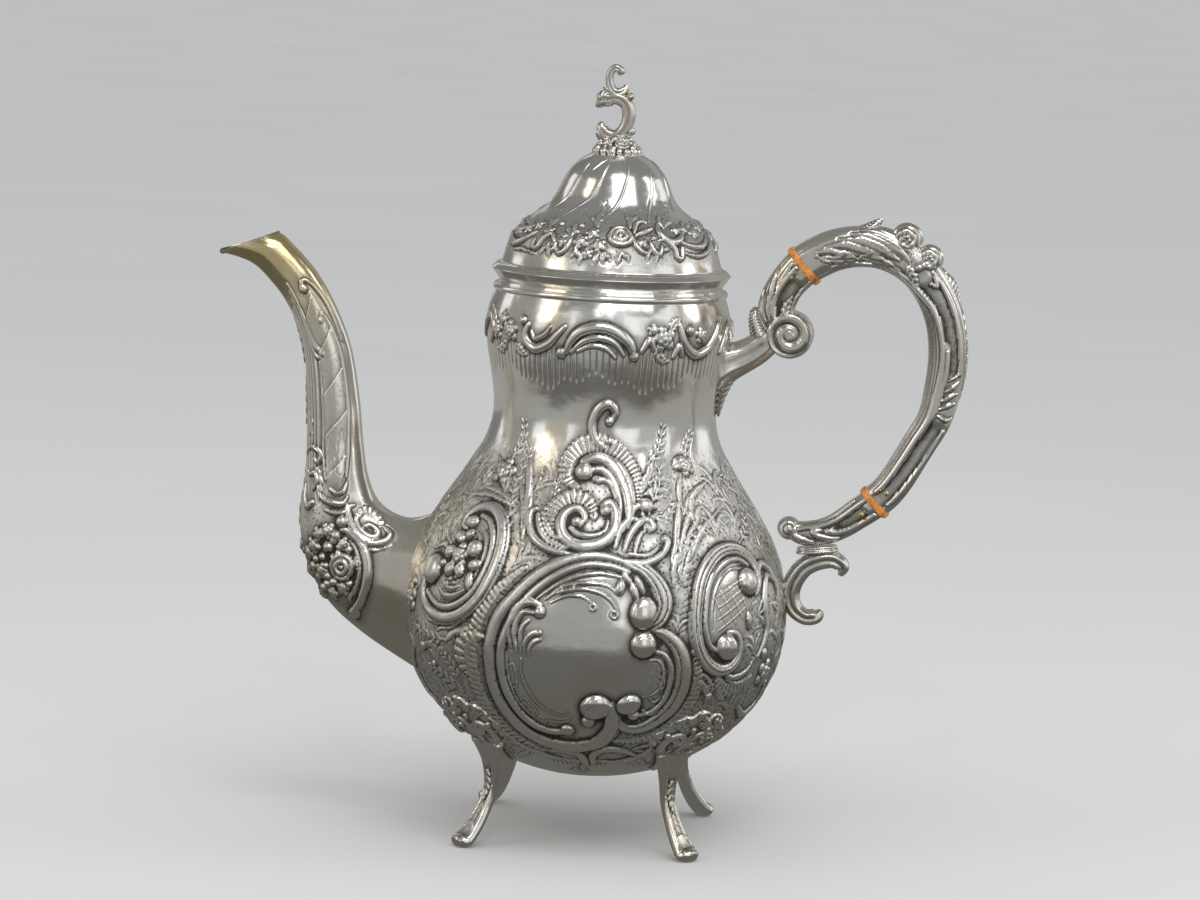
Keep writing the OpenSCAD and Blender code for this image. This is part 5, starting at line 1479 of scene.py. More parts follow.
            r.rosette(at, size, 1.25, 5, 7 * size)
        for path in ([(-50, 171.4), (-54, 169), (-60, 168.6)], [(-43, 171), (-39, 168.8), (-35, 168)],
                     [(28, 172.4), (31, 169), (35.6, 168.4)], [(35, 179), (38, 181.6), (42, 183)],
                     [(-61, 178), (-66, 181), (-70, 183)]):
            r.leaf(path, 3.0, 0.5, 3)

    def chase_foot_ornament(self, relief: Relief) -> None:
        """Chase the scrolls under the front frame and between the feet."""
        r = relief
        for path, width in (
                ([(-11, 36.2), (-5, 36.8), (1, 35.4), (3.6, 31.6), (2, 29.4)], [0.7, 1.3, 1.5, 1.0]),
                ([(8, 30.6), (6.8, 35), (11, 38.2), (18, 38), (25, 35.6)], [0.8, 1.4, 1.5, 0.8]),
                ([(-8, 33), (-16, 34.6), (-24, 38), (-29, 43)], [0.7, 1.2, 1.3, 0.7]),
                ([(12, 33), (20, 33), (28, 36), (32, 41)], [0.7, 1.2, 1.2, 0.7])):
            r.stroke(path, width, 1.1, dip=0.22)
        r.comb([(-14, 32), (0, 31), (14, 32)], -2.5, 2.5, 1.6, 0.25, 0.3)
        for path in ([(-22, 36), (-30, 33), (-36, 30)], [(24, 34), (32, 31.4), (38, 30)],
                     [(-36, 47), (-44, 45), (-52, 48)], [(64, 44), (70, 40), (78, 41)]):
            r.leaf(path, 4.0, 0.6, 4)
        r.rosette((0, 27.2), 3.4, 0.9, 6, 0)

    # -- building --

    def build(self, silver: bpy.types.Material) -> None:
        """Build the panels, the base and the mouth's wire.

        Args:
            silver: the finish.
        """
        sheet = self.surface()
        relief = Relief(sheet)
        self.chase(relief)
        outer = relief.carved()
        normals = sheet.normals(outer)
        worn = wear_of(relief)
        inner = self.inner_grid(sheet)
        columns = len(sheet.v)
        size = columns // self.sectors
        shift = columns // 2 - size // 2
        names = ("front", "front_right", "back_right", "back", "back_left", "front_left")
        for k, place in enumerate(names[:self.sectors]):
            take = (np.arange(size + 1) + shift + k * size) % columns
            clay = Clay()
            walled(clay, outer[:, take], inner[:, take], worn[:, take], normals[:, take], wrap=False)
            finish_piece(clay, f"body_panel_{place}", "pot", "silver_body", silver, "body_shell")
        self.build_base(silver, columns // 8)
        self.build_wire(silver)

    def inner_grid(self, sheet: Surface) -> Array:
        """Return every eighth row, moved in by the wall."""
        plain = sheet.normals()
        inner = sheet.points - self.wall * plain
        inner[0, :, 2] = self.foot_gap
        inner[-1] = sheet.points[-1] * [1 - self.wall / self.rim_r, 1 - self.wall / self.rim_r, 1]
        return inner[::8]

    def build_base(self, silver: bpy.types.Material, columns: int) -> None:
        """Build the round base: a slightly sunk disc with two turned rings."""
        r = np.array([0, 2, 5, 8, 8.5, 9, 12, 15, 15.6, 16.2, self.base_r])
        dent = np.array([1.1, 1.05, 1.1, 0.9, 0.6, 0.85, 0.6, 0.3, 0.0, 0.1, 0.0])
        low = np.stack([r[1:], self.foot_gap + dent[1:]], axis=1)
        crown = 1.15 * (1 - (r[:0:-1] / self.base_r) ** 2)
        high = np.stack([r[:0:-1] - 0.05, self.foot_gap + crown + self.wall], axis=1)
        loop = revolved(np.concatenate([low, high]), columns)
        clay = Clay()
        # The base takes an even 0.3 of recess, crest and matting, so it is a little darker and rougher all
        # over.
        solid_limb(clay, loop.points, loop.normals(), np.zeros((*loop.points.shape[:2], 3)) + 0.3)
        finish_piece(clay, "body_base", "pot", "silver_body", silver, "body_shell")

    def build_wire(self, silver: bpy.types.Material) -> None:
        """Build the half-round wire round the mouth."""
        z = self.rim_z - self.wire_drop
        centre = self.radius_at(np.array([z]))[0]
        turn = np.linspace(-115, 115, 21)
        ring = np.stack([centre + self.wire_r * np.cos(np.radians(turn)),
                         z + self.wire_r * np.sin(np.radians(turn))], axis=1)
        loop = revolved(ring, 320)
        clay = Clay()
        clay.add(loop.points.reshape(-1, 3), loop.normals().reshape(-1, 3),
                 [grid_faces(*loop.points.shape[:2], True, loop=True)],
                 np.tile([0.1, 0.2, 0.0], (loop.points[..., 0].size, 1)))
        finish_piece(clay, "mouth_wire_ring", "pot", "silver_body", silver, "mouth_wire")


# ---- the lid ---------------------------------------------------------------------------------------


@dataclass
class Lid:
    """The domed lid: a chased dome, a moulded flange and a bezel."""

    rim_z: float = 190.5
    rim_r: float = 38.0
    wall: float = 1.2
    flange_r: float = 40.8
    flange_h: float = 7.0
    dome_r: float = 37.5
    dome_h: float = 37.9
    dome_wall: float = 1.0
    bezel_depth: float = 8.0
    bezel_wall: float = 1.0
    clearance: float = 0.3
    collar_r: float = 8.3
    shares: tuple[tuple[float, float], ...] = (
        (1.0, 0.0), (0.973, 0.092), (0.931, 0.219), (0.851, 0.325), (0.72, 0.433), (0.611, 0.515),
        (0.541, 0.604), (0.491, 0.712), (0.435, 0.82), (0.341, 0.92), (0.24, 0.985))

    def foot(self) -> float:
        """Return the height of the dome's foot."""
        return self.rim_z + self.flange_h

    def surface(self) -> Surface:
        """Return the plain dome, from its foot to the edge of the finial's collar."""
        line = smooth_line([(r * self.dome_r, self.foot() + h * self.dome_h) for r, h in self.shares], 16)
        line = np.concatenate([line, [[0.62 * self.collar_r, self.foot() + self.dome_h]]])
        rows = 8 * round(run_lengths(line)[-1] / GRID_MM / 8) + 1
        columns = 8 * round(2 * math.pi * self.dome_r / GRID_MM / 8)
        return revolved(line, columns, rows)

    def chase(self, relief: Relief) -> None:
        """Chase the garland round the foot and the swirling ridges up the dome."""
        r = relief
        for path in (
                [(-38, 213), (-30, 217), (-20, 220.5), (-14, 224.5), (-9, 230), (-6, 232)],
                [(1, 216), (9, 220), (16, 226), (23, 232)],
                [(31, 214), (38, 218.5), (45, 222.4), (50, 227), (56, 231.6)],
                [(-56, 216.6), (-46, 221), (-40, 227), (-38, 232)], [(-26, 230), (-18, 232.4), (-8, 234)],
                [(66, 217), (74, 222), (80, 228), (86, 233)],
                [(-86, 215), (-76, 219), (-70, 226), (-66, 232)]):
            r.stroke(path, [0.4, 0.5, 0.45, 0.35], 0.3, Shape.RIDGE, dip=0.12)
        for path, width in (
                ([(36.4, 213.2), (34.8, 211), (37, 209), (42, 207.8), (48, 208.6), (54, 211)], 1.2),
                ([(26.6, 208), (28.6, 204.8), (31.6, 204), (33.6, 206.6)], 0.9),
                ([(33, 208.4), (37.6, 208.4), (41.6, 205.8), (42.4, 202.8), (45.6, 202.8), (47.4, 206)], 0.9),
                ([(-44.4, 206.6), (-43.6, 204), (-40, 204), (-37.6, 207.2), (-33, 208.6), (-29.4, 206.2)],
                 0.9), ([(-33.6, 206), (-31.6, 203.8), (-28.8, 203.8), (-28, 206)], 0.7),
                ([(-27.6, 204.4), (-25, 202.8), (-21.4, 204), (-19.4, 208)], 0.9),
                ([(-15.8, 205.6), (-14.4, 203), (-11, 202.4)], 0.7),
                ([(17, 209), (18.6, 206.4), (22, 204.4), (26, 204.6)], 0.9),
                ([(18, 210.6), (20, 213), (24, 214), (28.4, 213.8)], 0.8),
                ([(18.6, 209.8), (24, 210.8), (31, 212)], 0.9),
                ([(46, 208), (56, 206.2), (66, 206.2), (78, 209)], 0.9),
                ([(47, 204.4), (58, 203), (70, 204.4), (82, 208.6)], 0.7),
                ([(-46, 208.6), (-56, 205.2), (-66, 204.4), (-80, 207)], 1.1),
                ([(-40, 201.6), (-52, 202.6), (-64, 202)], 0.5), ([(84, 204), (90, 208)], 0.9)):
            r.stroke(path, [0.5 * width, width, width, 0.5 * width], 0.4 + 0.5 * width, dip=0.22)
        for root, tips in (
                ((16, 212), [(20, 216), (14, 216.6), (25, 216)]),
                ((-2, 204), [(0, 200.4), (4, 201), (-4, 200)]),
                ((-20, 208), [(-26, 211.4), (-22, 213), (-28, 208.8)]), ((10, 204), [(14, 201), (8, 200)]),
                ((40, 212), [(46, 214.6), (52, 214), (43, 216)]), ((-38, 210), [(-44, 213.4), (-36, 213.6)]),
                ((-5, 212), [(-9, 216), (-3, 217.6), (-13, 215)]), ((58, 211), [(64, 214), (70, 212.6)]),
                ((-60, 210.6), [(-66, 213.6), (-70, 211)]), ((27, 206), [(24, 201.6), (29, 201)]),
                ((-14, 204), [(-18, 201), (-12, 200)]), ((-34, 204.6), [(-37, 201.4), (-31, 201)])):
            r.fan(root, tips, 0.12, 0.95, 0.75)
        for at, size in (
                ((-2.6, 206.2), 2.5), ((-7.4, 210), 2.3), ((-13.4, 207.2), 2.6), ((-8.6, 203.2), 1.9),
                ((-23.8, 206.6), 2.0), ((-36.6, 209.4), 2.1), ((48.6, 211.4), 1.9), ((55.4, 211.6), 2.0),
                ((63, 210.4), 2.3), ((76, 212), 2.4), ((-48.6, 211), 2.1), ((-56.4, 209.6), 2.4),
                ((-66, 208.6), 2.4), ((-77, 211), 2.4), ((21.6, 207.6), 1.8), ((87, 209), 2.4)):
            r.rosette(at, size, 1.0, 5, 17 * size)
        r.ring_rose((9.4, 209.2), 4.4, 1.5)
        r.sprig([(-4.6, 213), (-5, 216), (-5.2, 219.6)], 4, 1.8, 0.35)
        r.sprig([(44, 214), (52, 216), (60, 219)], 4, 2.0, 0.35)
        for v, u in ((-16, 212), (-17.6, 210), (2.6, 202.6), (29.6, 209), (12.6, 203), (-31, 212),
                (36, 205.4)):
            r.blob((v, u), 0.8, 0.7, long=1.2)
        v, u = relief.grid()
        r.matting[:] = 0.6 * soft_step(u, 199, 202) * (1 - soft_step(u, 213, 219))
        mirror_front(relief)

    def build(self, silver: bpy.types.Material) -> None:
        """Build the dome, the flange and the bezel."""
        sheet = self.surface()
        relief = Relief(sheet)
        self.chase(relief)
        outer = relief.carved()
        inner = (sheet.points - self.dome_wall * sheet.normals())[::8]
        inner[0, :, 2] = self.foot()
        inner[-1, :, :2] = sheet.points[-1, :, :2]
        clay = Clay()
        walled(clay, outer, inner, wear_of(relief), sheet.normals(outer), wrap=True)
        finish_piece(clay, "lid_dome_chased", "lid", "silver_body", silver, "lid_dome")
        self.build_flange(silver)

    def build_flange(self, silver: bpy.types.Material) -> None:
        """Build the moulded flange with its bezel: one turned profile each, closed to a loop."""
        z, tip = self.rim_z, self.rim_z + 0.62 * self.flange_h
        edge = smooth_line([(self.rim_r, z), (self.rim_r + 0.5, z + 0.9), (self.rim_r + 1.7, z + 2.6),
                            (self.flange_r - 0.25, tip - 0.45), (self.flange_r, tip),
                            (self.flange_r - 0.3, tip + 0.4), (self.dome_r + 1.9, tip + 1.5),
                            (self.dome_r + 0.55, self.foot() - 0.5), (self.dome_r + 0.2, self.foot())], 5)
        bezel_r = self.rim_r - self.wall - self.clearance
        loop = np.concatenate([edge, [[bezel_r, self.foot()], [bezel_r, z]]])
        base = z - self.bezel_depth
        sleeve = np.array([[bezel_r - self.bezel_wall, base], [bezel_r - 0.3, base], [bezel_r, base + 0.4],
                           [bezel_r, self.foot()], [bezel_r - self.bezel_wall, self.foot()]])
        for name, line, node in (("lid_flange_ring", loop, "lid_flange"),
                ("lid_bezel_sleeve", sleeve, "lid_bezel")):
            turned = revolved(line, 320)
            clay = Clay()
            clay.add(turned.points.reshape(-1, 3), turned.normals().reshape(-1, 3),
                     [grid_faces(*turned.points.shape[:2], True, loop=True)],
                     np.tile([0.05, 0.2, 0.0], (turned.points[..., 0].size, 1)))
            finish_piece(clay, name, "lid", "silver_body", silver, node)


# ---- the spout -------------------------------------------------------------------------------------


@dataclass
class Spout:
    """The hollow S-curved spout with its reeded panel, its bunch of flowers and its beaked mouth."""

    root: float = 55.8
    reach: float = 135.6
    base_z: float = 81.3
    tip_z: float = 198.2
    base_h: float = 58.0
    base_w: float = 32.0
    neck_t: float = 14.6
    neck_w: float = 13.4
    mouth_l: float = 21.4
    wall: float = 1.1
    lip_t: float = 0.45

    def stations(self) -> list[tuple[float, float, float, float, float]]:
        """Return (x, z, slope, half thickness, half width) from the base to the tip."""
        t, w, h, b = self.neck_t, self.neck_w, self.base_h, self.base_w
        mid_t, mid_w = lerp(t, h, 0.12), lerp(w, b, 0.2)
        rows = ((0.876, 1.000, 112, self.mouth_l, 0.90 * w),
            (0.814, 0.987, 118, 0.81 * self.mouth_l, 0.98 * w), (0.764, 0.967, 124, 1.01 * t, w),
            (0.701, 0.927, 127, 0.99 * t, w), (0.634, 0.873, 123, t, w),
            (0.563, 0.788, 115, 1.03 * t, 1.02 * w), (0.510, 0.682, 107, 1.14 * t, 1.08 * w),
            (0.480, 0.543, 102, 1.26 * t, 1.18 * w), (0.466, 0.417, 100, mid_t, mid_w),
            (0.455, 0.322, 101, 1.10 * mid_t, 1.15 * mid_w), (0.446, 0.244, 107, 1.33 * mid_t, 1.35 * mid_w),
            (0.420, 0.183, 116, 0.53 * h, 1.50 * mid_w), (0.367, 0.123, 128, 0.62 * h, 0.84 * b),
            (0.292, 0.073, 141, 0.70 * h, 0.91 * b), (0.201, 0.040, 154, 0.78 * h, 0.96 * b),
            (0.103, 0.017, 165, 0.88 * h, b), (0.000, 0.000, 172, h, 1.04 * b))
        return [(-lerp(self.root, self.reach, out), lerp(self.base_z, self.tip_z, up), slope,
                 thick / 2, wide / 2)
                for out, up, slope, thick, wide in rows[::-1]]

    def chase(self, relief: Relief) -> None:
        """Chase the near side; the far side takes its mirror image."""
        r = relief
        v, u = relief.grid()
        # the reeded panel: a raised leaf whose folds cross it
        left = np.interp(u, [52, 58, 75, 100, 112, 120], [88, 78, 74, 74, 66, 70])
        right = np.interp(u, [52, 60, 68, 80, 95, 103, 110, 120, 126],
            [100, 117, 124, 129, 129, 127, 124, 118, 108])
        x = np.clip((v - left) / np.maximum(right - left, 1), 0, 1)
        panel = soft_step(x, 0, 0.12) * (1 - soft_step(x, 0.88, 1)) * soft_step(u, 54, 60) * (
            1 - soft_step(u, 119, 125))
        fold = ((u - 0.17 * (v - 75)) % 14.5) / 14.5
        r.height += panel * (0.32 + 0.42 * fold)
        for k in range(4):
            edge = 36 + 8.5 * k
            r.stroke([(edge + 2, 60), (edge, 76), (edge, 94), (edge + 3, 108 + 3 * k),
                 (edge + 8, 120 + 3 * k)], [0.5, 0.8, 0.8, 0.7, 0.4], 0.5, Shape.RIDGE, dip=0.1)
        r.stroke([(117, 58), (124, 67), (129, 80), (129.6, 95), (127, 104), (121, 111), (113, 114.6),
             (105, 113)], [0.5, 0.75, 0.8, 0.8, 0.8, 0.75, 0.7, 0.6], 0.75, dip=0.2)
        r.blob((103, 112.4), 1.25, 0.8)
        r.stroke([(141, 104), (140, 114), (134, 121), (122, 126), (108, 127), (97, 125)],
                 [0.3, 0.6, 0.75, 0.8, 0.8, 0.9], 0.75, dip=0.2)
        r.blob((100, 124.4), 1.5, 1.0, dip=0.2)
        r.stroke([(97, 124), (86, 122.6), (74, 120.4), (66, 119)], [0.4, 0.3, 0.3], 0.25, dip=0.15)
        r.stroke([(63, 120), (63.4, 113), (67, 107), (74, 103.6), (83, 102.4)], [0.4, 0.7, 0.8, 0.9, 1.1],
            0.75, dip=0.2)
        r.stroke([(58, 118), (59, 110), (62, 104), (70, 100.6), (80, 100.4)], [0.3, 0.5, 0.6, 0.6], 0.5)
        r.blob((84, 101.4), 1.3, 0.9)
        r.stroke([(74.6, 99), (74, 88), (74.4, 76), (73.6, 66), (78, 58)], [0.4, 0.5, 0.5, 0.4], 0.5,
            dip=0.16)
        # scrolls at the foot of the panel
        for path, width in (
                ([(28, 67.6), (42, 69.6), (57, 68.8), (69, 66.8), (62, 64.2), (52, 65.6)],
                 [0.5, 0.8, 0.9, 0.8, 0.5]),
                ([(30, 62), (42, 60.4), (54, 60.8), (62, 58), (54, 55.4)], [0.5, 0.8, 0.8, 0.5]),
                ([(26, 57), (34, 52.6), (45, 50.4), (54, 51.4)], [0.4, 0.8, 0.9, 1.1]),
                ([(66, 54), (78, 51.6), (92, 50), (106, 49), (116, 51)], [0.5, 0.9, 1.1, 0.9, 0.5]),
                ([(86, 55), (98, 53), (110, 53.4), (117, 56)], [0.4, 0.8, 0.9, 0.5]),
                ([(78, 48.4), (92, 46.4), (106, 45.6), (113, 48)], [0.4, 0.8, 0.9, 0.5])):
            r.stroke(path, width, 0.9, dip=0.2)
        for path in ([(34, 74), (40, 79), (38, 86)], [(60, 62), (66, 57), (68, 51)],
                [(84, 60), (88, 66), (86, 72)], [(104, 60), (110, 66), (112, 74)]):
            r.leaf(path, 2.6, 0.5, 3)
        # the oval scroll
        r.stroke([(124, 47), (114, 46.6), (108.6, 41.6), (107, 35.6), (110, 29.6), (118, 25), (127, 22.6),
                  (135, 24), (138, 28)], [0.6, 1.1, 1.5, 1.7, 1.7, 1.5, 1.2, 0.8], 1.2, dip=0.25)
        r.stroke([(127, 42), (118, 41), (114, 36.4), (116, 31), (123, 28.6), (129, 31), (127.6, 35.4),
             (122, 36)], [0.6, 1.0, 1.2, 1.2, 1.0, 0.8], 0.9, dip=0.2)
        r.shell((127, 36), 30, 80, 3.6, 6.4, 7, 0.6)
        # the frame under the bunch
        r.stroke([(42, 19), (52, 17.8), (66, 17.4), (80, 18.4), (92, 21.2), (101, 26), (104.6, 32),
             (101, 37.6), (96, 39.6)], [1.0, 1.4, 1.6, 1.7, 1.7, 1.6, 1.5, 1.0], 1.25, dip=0.25)
        r.stroke([(52, 21), (66, 20.6), (80, 22), (90, 25), (96.4, 30), (97, 34)], [0.5, 0.7, 0.8, 0.6], 0.7)
        r.blob((41, 18.2), 2.0, 1.3, long=1.3, turn=10, dip=0.2)
        r.leaf([(100, 44), (106, 30), (114, 22), (124, 18)], 3.6, 0.6, 4, (-1,))
        r.leaf([(106, 36), (112, 26), (121, 20.6)], 2.6, 0.5, 3, (1,))
        # the bunch of flowers
        r.berries((62, 31), 9.6, 1.35, 1.2, 26, 11)
        for at, size in (
                ((50, 39), 2.9), ((63, 41.6), 2.4), ((78, 41.2), 2.8), ((46, 32), 2.8), ((88, 34.6), 2.6),
                ((57, 24), 2.6), ((86, 26), 2.4), ((40, 25.6), 2.4), ((36, 38), 2.4)):
            r.rosette(at, size, 1.3, 5, 13 * size)
        r.blob((99, 42.4), 2.1, 1.7, dip=0.25)
        r.blob((85, 38.6), 1.7, 1.4)
        r.blob((70, 36.6), 1.7, 1.5)
        r.ring_rose((73, 28.6), 4.9, 2.1)
        # the outer edge of the tube
        for start in (46, 78, 100):
            r.leaf([(0, start), (0, start + 9), (0, start + 18)], 3.0, 0.55, 4)
        for at in (30, 36, 42):
            r.rosette((12, at - 2), 2.6, 1.2, 5, at)
        r.matting[:] = 0.8 * soft_step(u, 19, 24) * (1 - soft_step(u, 48, 54)) * (
            1 - soft_step(v, 96, 106)) * (v > 0) + 0.25 * panel
        mirror_near_side(relief)

    def build(self, silver: bpy.types.Material, painted_warm_reflection: bpy.types.Material, body: Body) -> None:
        """Build the tube, whose foot follows the body's skin, and the wire band round the mouth."""
        whole = limb_surface(self.stations(), 8 * round(150 / (1.1 * GRID_MM) / 8) + 1,
                             8 * round(112 / GRID_MM / 8), angles=True)
        sheet = self.trimmed(whole, body)
        relief = Relief(sheet)
        self.chase(relief)
        relief.height *= soft_step(sheet.u, sheet.u[0], sheet.u[0] + 4)[:, None]
        outer = relief.carved()
        inner = (sheet.points - self.wall * sheet.normals())[::8]
        inner[-1] = sheet.points[-1] - self.wall * sheet.normals()[-1]
        worn = wear_of(relief)
        clay = Clay()
        walled(clay, outer, inner, worn, sheet.normals(outer), wrap=True)
        finish_piece(clay, "spout_tube", "pot", "silver_spout", silver, "spout")
        self.build_lip(whole, painted_warm_reflection)

    def trimmed(self, whole: Surface, body: Body) -> Surface:
        """Slide each column's rows so that it starts just inside the body's skin.

        Args:
            whole: the untrimmed tube.
            body: the body that it is soldered to.

        Returns:
            The same grid with its first row on the body.
        """
        p = whole.points
        line = body.profile()
        outside = np.hypot(p[..., 0], p[..., 1]) - np.interp(p[..., 2], line[:, 1], line[:, 0]) + 0.35
        rows = len(whole.u)
        inside = outside < 0
        last = rows - 1 - inside[::-1].argmax(0)
        last = np.where(inside.any(0), last, 0)
        cols = np.arange(p.shape[1])
        a, b = outside[last, cols], outside[np.minimum(last + 1, rows - 1), cols]
        start = last + np.clip(-a / np.maximum(b - a, 1e-6), 0, 1)
        fade = np.linspace(0, 1, rows)[:, None]
        at = np.arange(rows)[:, None] + (start[None] * (1 - np.minimum(fade / 0.35, 1)) ** 2)
        at = np.maximum.accumulate(np.clip(at, 0, rows - 1), axis=0)
        low = np.minimum(at.astype(int), rows - 2)
        share = (at - low)[..., None]
        moved = p[low, cols] * (1 - share) + p[low + 1, cols] * share
        return Surface(moved, whole.u, whole.v, wrap=True)

    def build_lip(self, whole: Surface, painted_warm_reflection: bpy.types.Material) -> None:
        """Build the band round the mouth: a half-round wire that follows the mouth's edge."""
        rows = np.searchsorted(whole.u, whole.u[-1] - 1.7)
        tip = whole.points[rows:]
        grow = whole.normals()[rows:]
        t = np.linspace(0, 1, len(tip))[:, None, None]
        outer = tip + grow * (0.05 + self.lip_t * np.sqrt(np.clip(1 - (2 * t - 1) ** 4, 0, 1)))
        inner = tip[[0, -1]] - grow[[0, -1]] * 0.25
        clay = Clay()
        points = np.concatenate([outer, inner[::-1]])
        shape = points.shape[:2]
        normals = np.concatenate([grow, -grow[[0, -1]]])
        clay.add(points.reshape(-1, 3), normals.reshape(-1, 3), [grid_faces(*shape, True, loop=True)],
                 np.tile([0.1, 0.2, 0.0], (shape[0] * shape[1], 1)))
        # The lip wire's gold finish is a painted warm reflection.
        finish_piece(clay, "spout_lip_wire", "pot", "silver_spout", painted_warm_reflection, "spout_lip")


# ---- the handle ------------------------------------------------------------------------------------


def heading(angle: float) -> Array:
    """Return the (x, z) direction at an angle in degrees."""
    return np.array([math.cos(math.radians(angle)), math.sin(math.radians(angle))])


@dataclass
class Handle:
    """The scroll grip between two insulators, its sockets, collar and brackets."""

    upper_joint: tuple[float, float] = (65.7, 200.2)
    upper_angle: float = 42.0
    lower_joint: tuple[float, float] = (94.0, 120.6)
    lower_angle: float = 44.0
    bow: float = 42.7
    top_t: float = 14.2
    bottom_t: float = 11.6
    grip_w: float = 11.6
    insulator_t: float = 2.5
    proud: float = 0.7
    pin_r: float = 0.9
    pin_out: float = 5.6
    volute_r: float = 7.8
    volute_drop: float = 23.6
    knob_r: float = 4.0
    collar_l: float = 14.6
    collar_ring_t: float = 1.1
    collar_tilt: float = 6.5
    power: float = 2.5

    # -- middle lines, as (x, z, half thickness, half width) --

    def grip_stations(self) -> list[tuple[float, float, float, float]]:
        """Return the grip from the upper to the lower insulator."""
        shape = ((1.036, 0.118, 0.0), (1.073, 0.282, 0.0), (1.094, 0.463, 0.05), (1.092, 0.658, 0.1),
                 (1.055, 0.825, 0.2), (0.986, 0.941, 0.3), (0.881, 1.000, 0.4), (0.769, 0.998, 0.4),
                 (0.636, 0.936, 0.4), (0.510, 0.830, 0.6), (0.378, 0.690, 0.9), (0.256, 0.490, 1.0),
                 (0.124, 0.270, 1.0), (0.054, 0.136, 1.0))
        half_w = self.grip_w / 2
        low, high = np.array(self.lower_joint), np.array(self.upper_joint)
        top = high + self.insulator_t / 2 * heading(self.upper_angle)
        end = low + self.insulator_t / 2 * heading(self.lower_angle)
        middle = [(*(lerp(low, high, up) + [out * self.bow, 0]),
                   lerp(self.top_t, self.bottom_t, thin) / 2, half_w)
                  for up, out, thin in shape]
        return [(*top, self.top_t / 2, half_w), *middle, (*end, self.bottom_t / 2, half_w)]

    def volute_centre(self) -> Array:
        """Return the volute's (x, z)."""
        return np.array(self.upper_joint) + [-3.6, -self.volute_drop]

    def upper_socket_stations(self) -> list[tuple[float, float, float, float]]:
        """Return the upper socket from the insulator to the volute."""
        joint, thick, wide = np.array(self.upper_joint), 0.95 * self.top_t, self.grip_w
        face = joint - self.insulator_t / 2 * heading(self.upper_angle)
        rows = ((-5.2, -6.0, 0.47, 0.49), (-8.1, -11.6, 0.46, 0.48), (-8.9, -16.4, 0.45, 0.47),
                (-8.0, -20.4, 0.36, 0.44))
        return [(*face, thick / 2, wide / 2),
                *[(*(joint + [x, z]), t * thick, w * wide) for x, z, t, w in rows],
                (*(self.volute_centre() + [-1.5, 0]), 0.22 * thick, 0.38 * wide)]

    def knob(self) -> Array:
        """Return the (x, z) of the lower socket's knob."""
        return np.array(self.lower_joint) + [-28.8, -10.6]

    def lower_socket_stations(self) -> list[tuple[float, float, float, float]]:
        """Return the lower socket from the insulator to the knob."""
        joint, thick, wide = np.array(self.lower_joint), self.bottom_t, self.grip_w
        face = joint - self.insulator_t / 2 * heading(self.lower_angle)
        rows = ((-5.0, -4.0, 0.45, 0.46), (-10.6, -8.3, 0.41, 0.44), (-16.6, -11.1, 0.39, 0.42),
                (-23.4, -12.1, 0.36, 0.38))
        return [(*face, 0.47 * thick, 0.47 * wide),
                *[(*(joint + [x, z]), t * thick, w * wide) for x, z, t, w in rows],
                (*self.knob(), 0.26 * thick, 0.3 * wide)]

    def upper_bracket_stations(self) -> list[tuple[float, float, float, float]]:
        """Return the upper bracket from the volute into the bulge under the rim."""
        root = np.array([38.2 - 4, 176 - 14.0])
        mouth = self.volute_centre() + [-self.volute_r + 1.2, -1.5]
        wide = self.grip_w
        return [(*mouth, 5.0, 0.40 * wide), (*(lerp(mouth, root, 0.22) + [0, -1.4]), 5.4, 0.40 * wide),
                (*(lerp(mouth, root, 0.45) + [0, -1.4]), 5.8, 0.46 * wide),
                (*(lerp(mouth, root, 0.70) + [0, -0.4]), 7.2, 0.56 * wide), (*root, 9.0, 0.66 * wide)]

    def lower_bracket_stations(self) -> list[tuple[float, float, float, float]]:
        """Return the C-scroll on the belly, from its upper curl to its lower one."""
        joint, wide = np.array(self.lower_joint), self.grip_w
        rows = ((-10.4, -26.0, 0.9, 0.10), (-9.7, -22.9, 2.4, 0.26), (-13.2, -20.6, 3.1, 0.34),
                (-18.6, -21.4, 3.4, 0.38), (-23.0, -24.0, 3.4, 0.38), (-26.1, -28.6, 3.4, 0.38),
                (-27.0, -33.4, 3.2, 0.36), (-25.6, -38.2, 3.0, 0.34), (-21.8, -41.0, 2.8, 0.32),
                (-18.0, -40.6, 2.6, 0.30), (-16.2, -38.8, 1.2, 0.14))
        return [(*(joint + [x, z]), t, w * wide) for x, z, t, w in rows]

    # -- chasing --

    def chase_grip(self, relief: Relief) -> None:
        """Chase the grip's near side: an acanthus spray, edge ridges and a matted panel between them."""
        r = relief
        v, u = relief.grid()
        left = np.interp(u, [44, 50, 58, 66, 78, 100, 129], [66, 62, 58, 55, 50, 50, 58])
        right = np.interp(u, [44, 50, 58, 66, 70, 96, 129], [128, 118, 106, 100, 90, 100, 118])
        field = soft_step(v, left, left + 8) * (1 - soft_step(v, right - 9, right))
        panel = field * (soft_step(u, 44, 48) * (1 - soft_step(u, 77, 81)) + soft_step(u, 94, 98))
        r.height -= 0.55 * panel
        inner = soft_step(v, 116, 124) * (1 - soft_step(v, 150, 160)) * soft_step(u, 10, 20)
        r.height -= 0.4 * inner * (1 - soft_step(u, 112, 124))
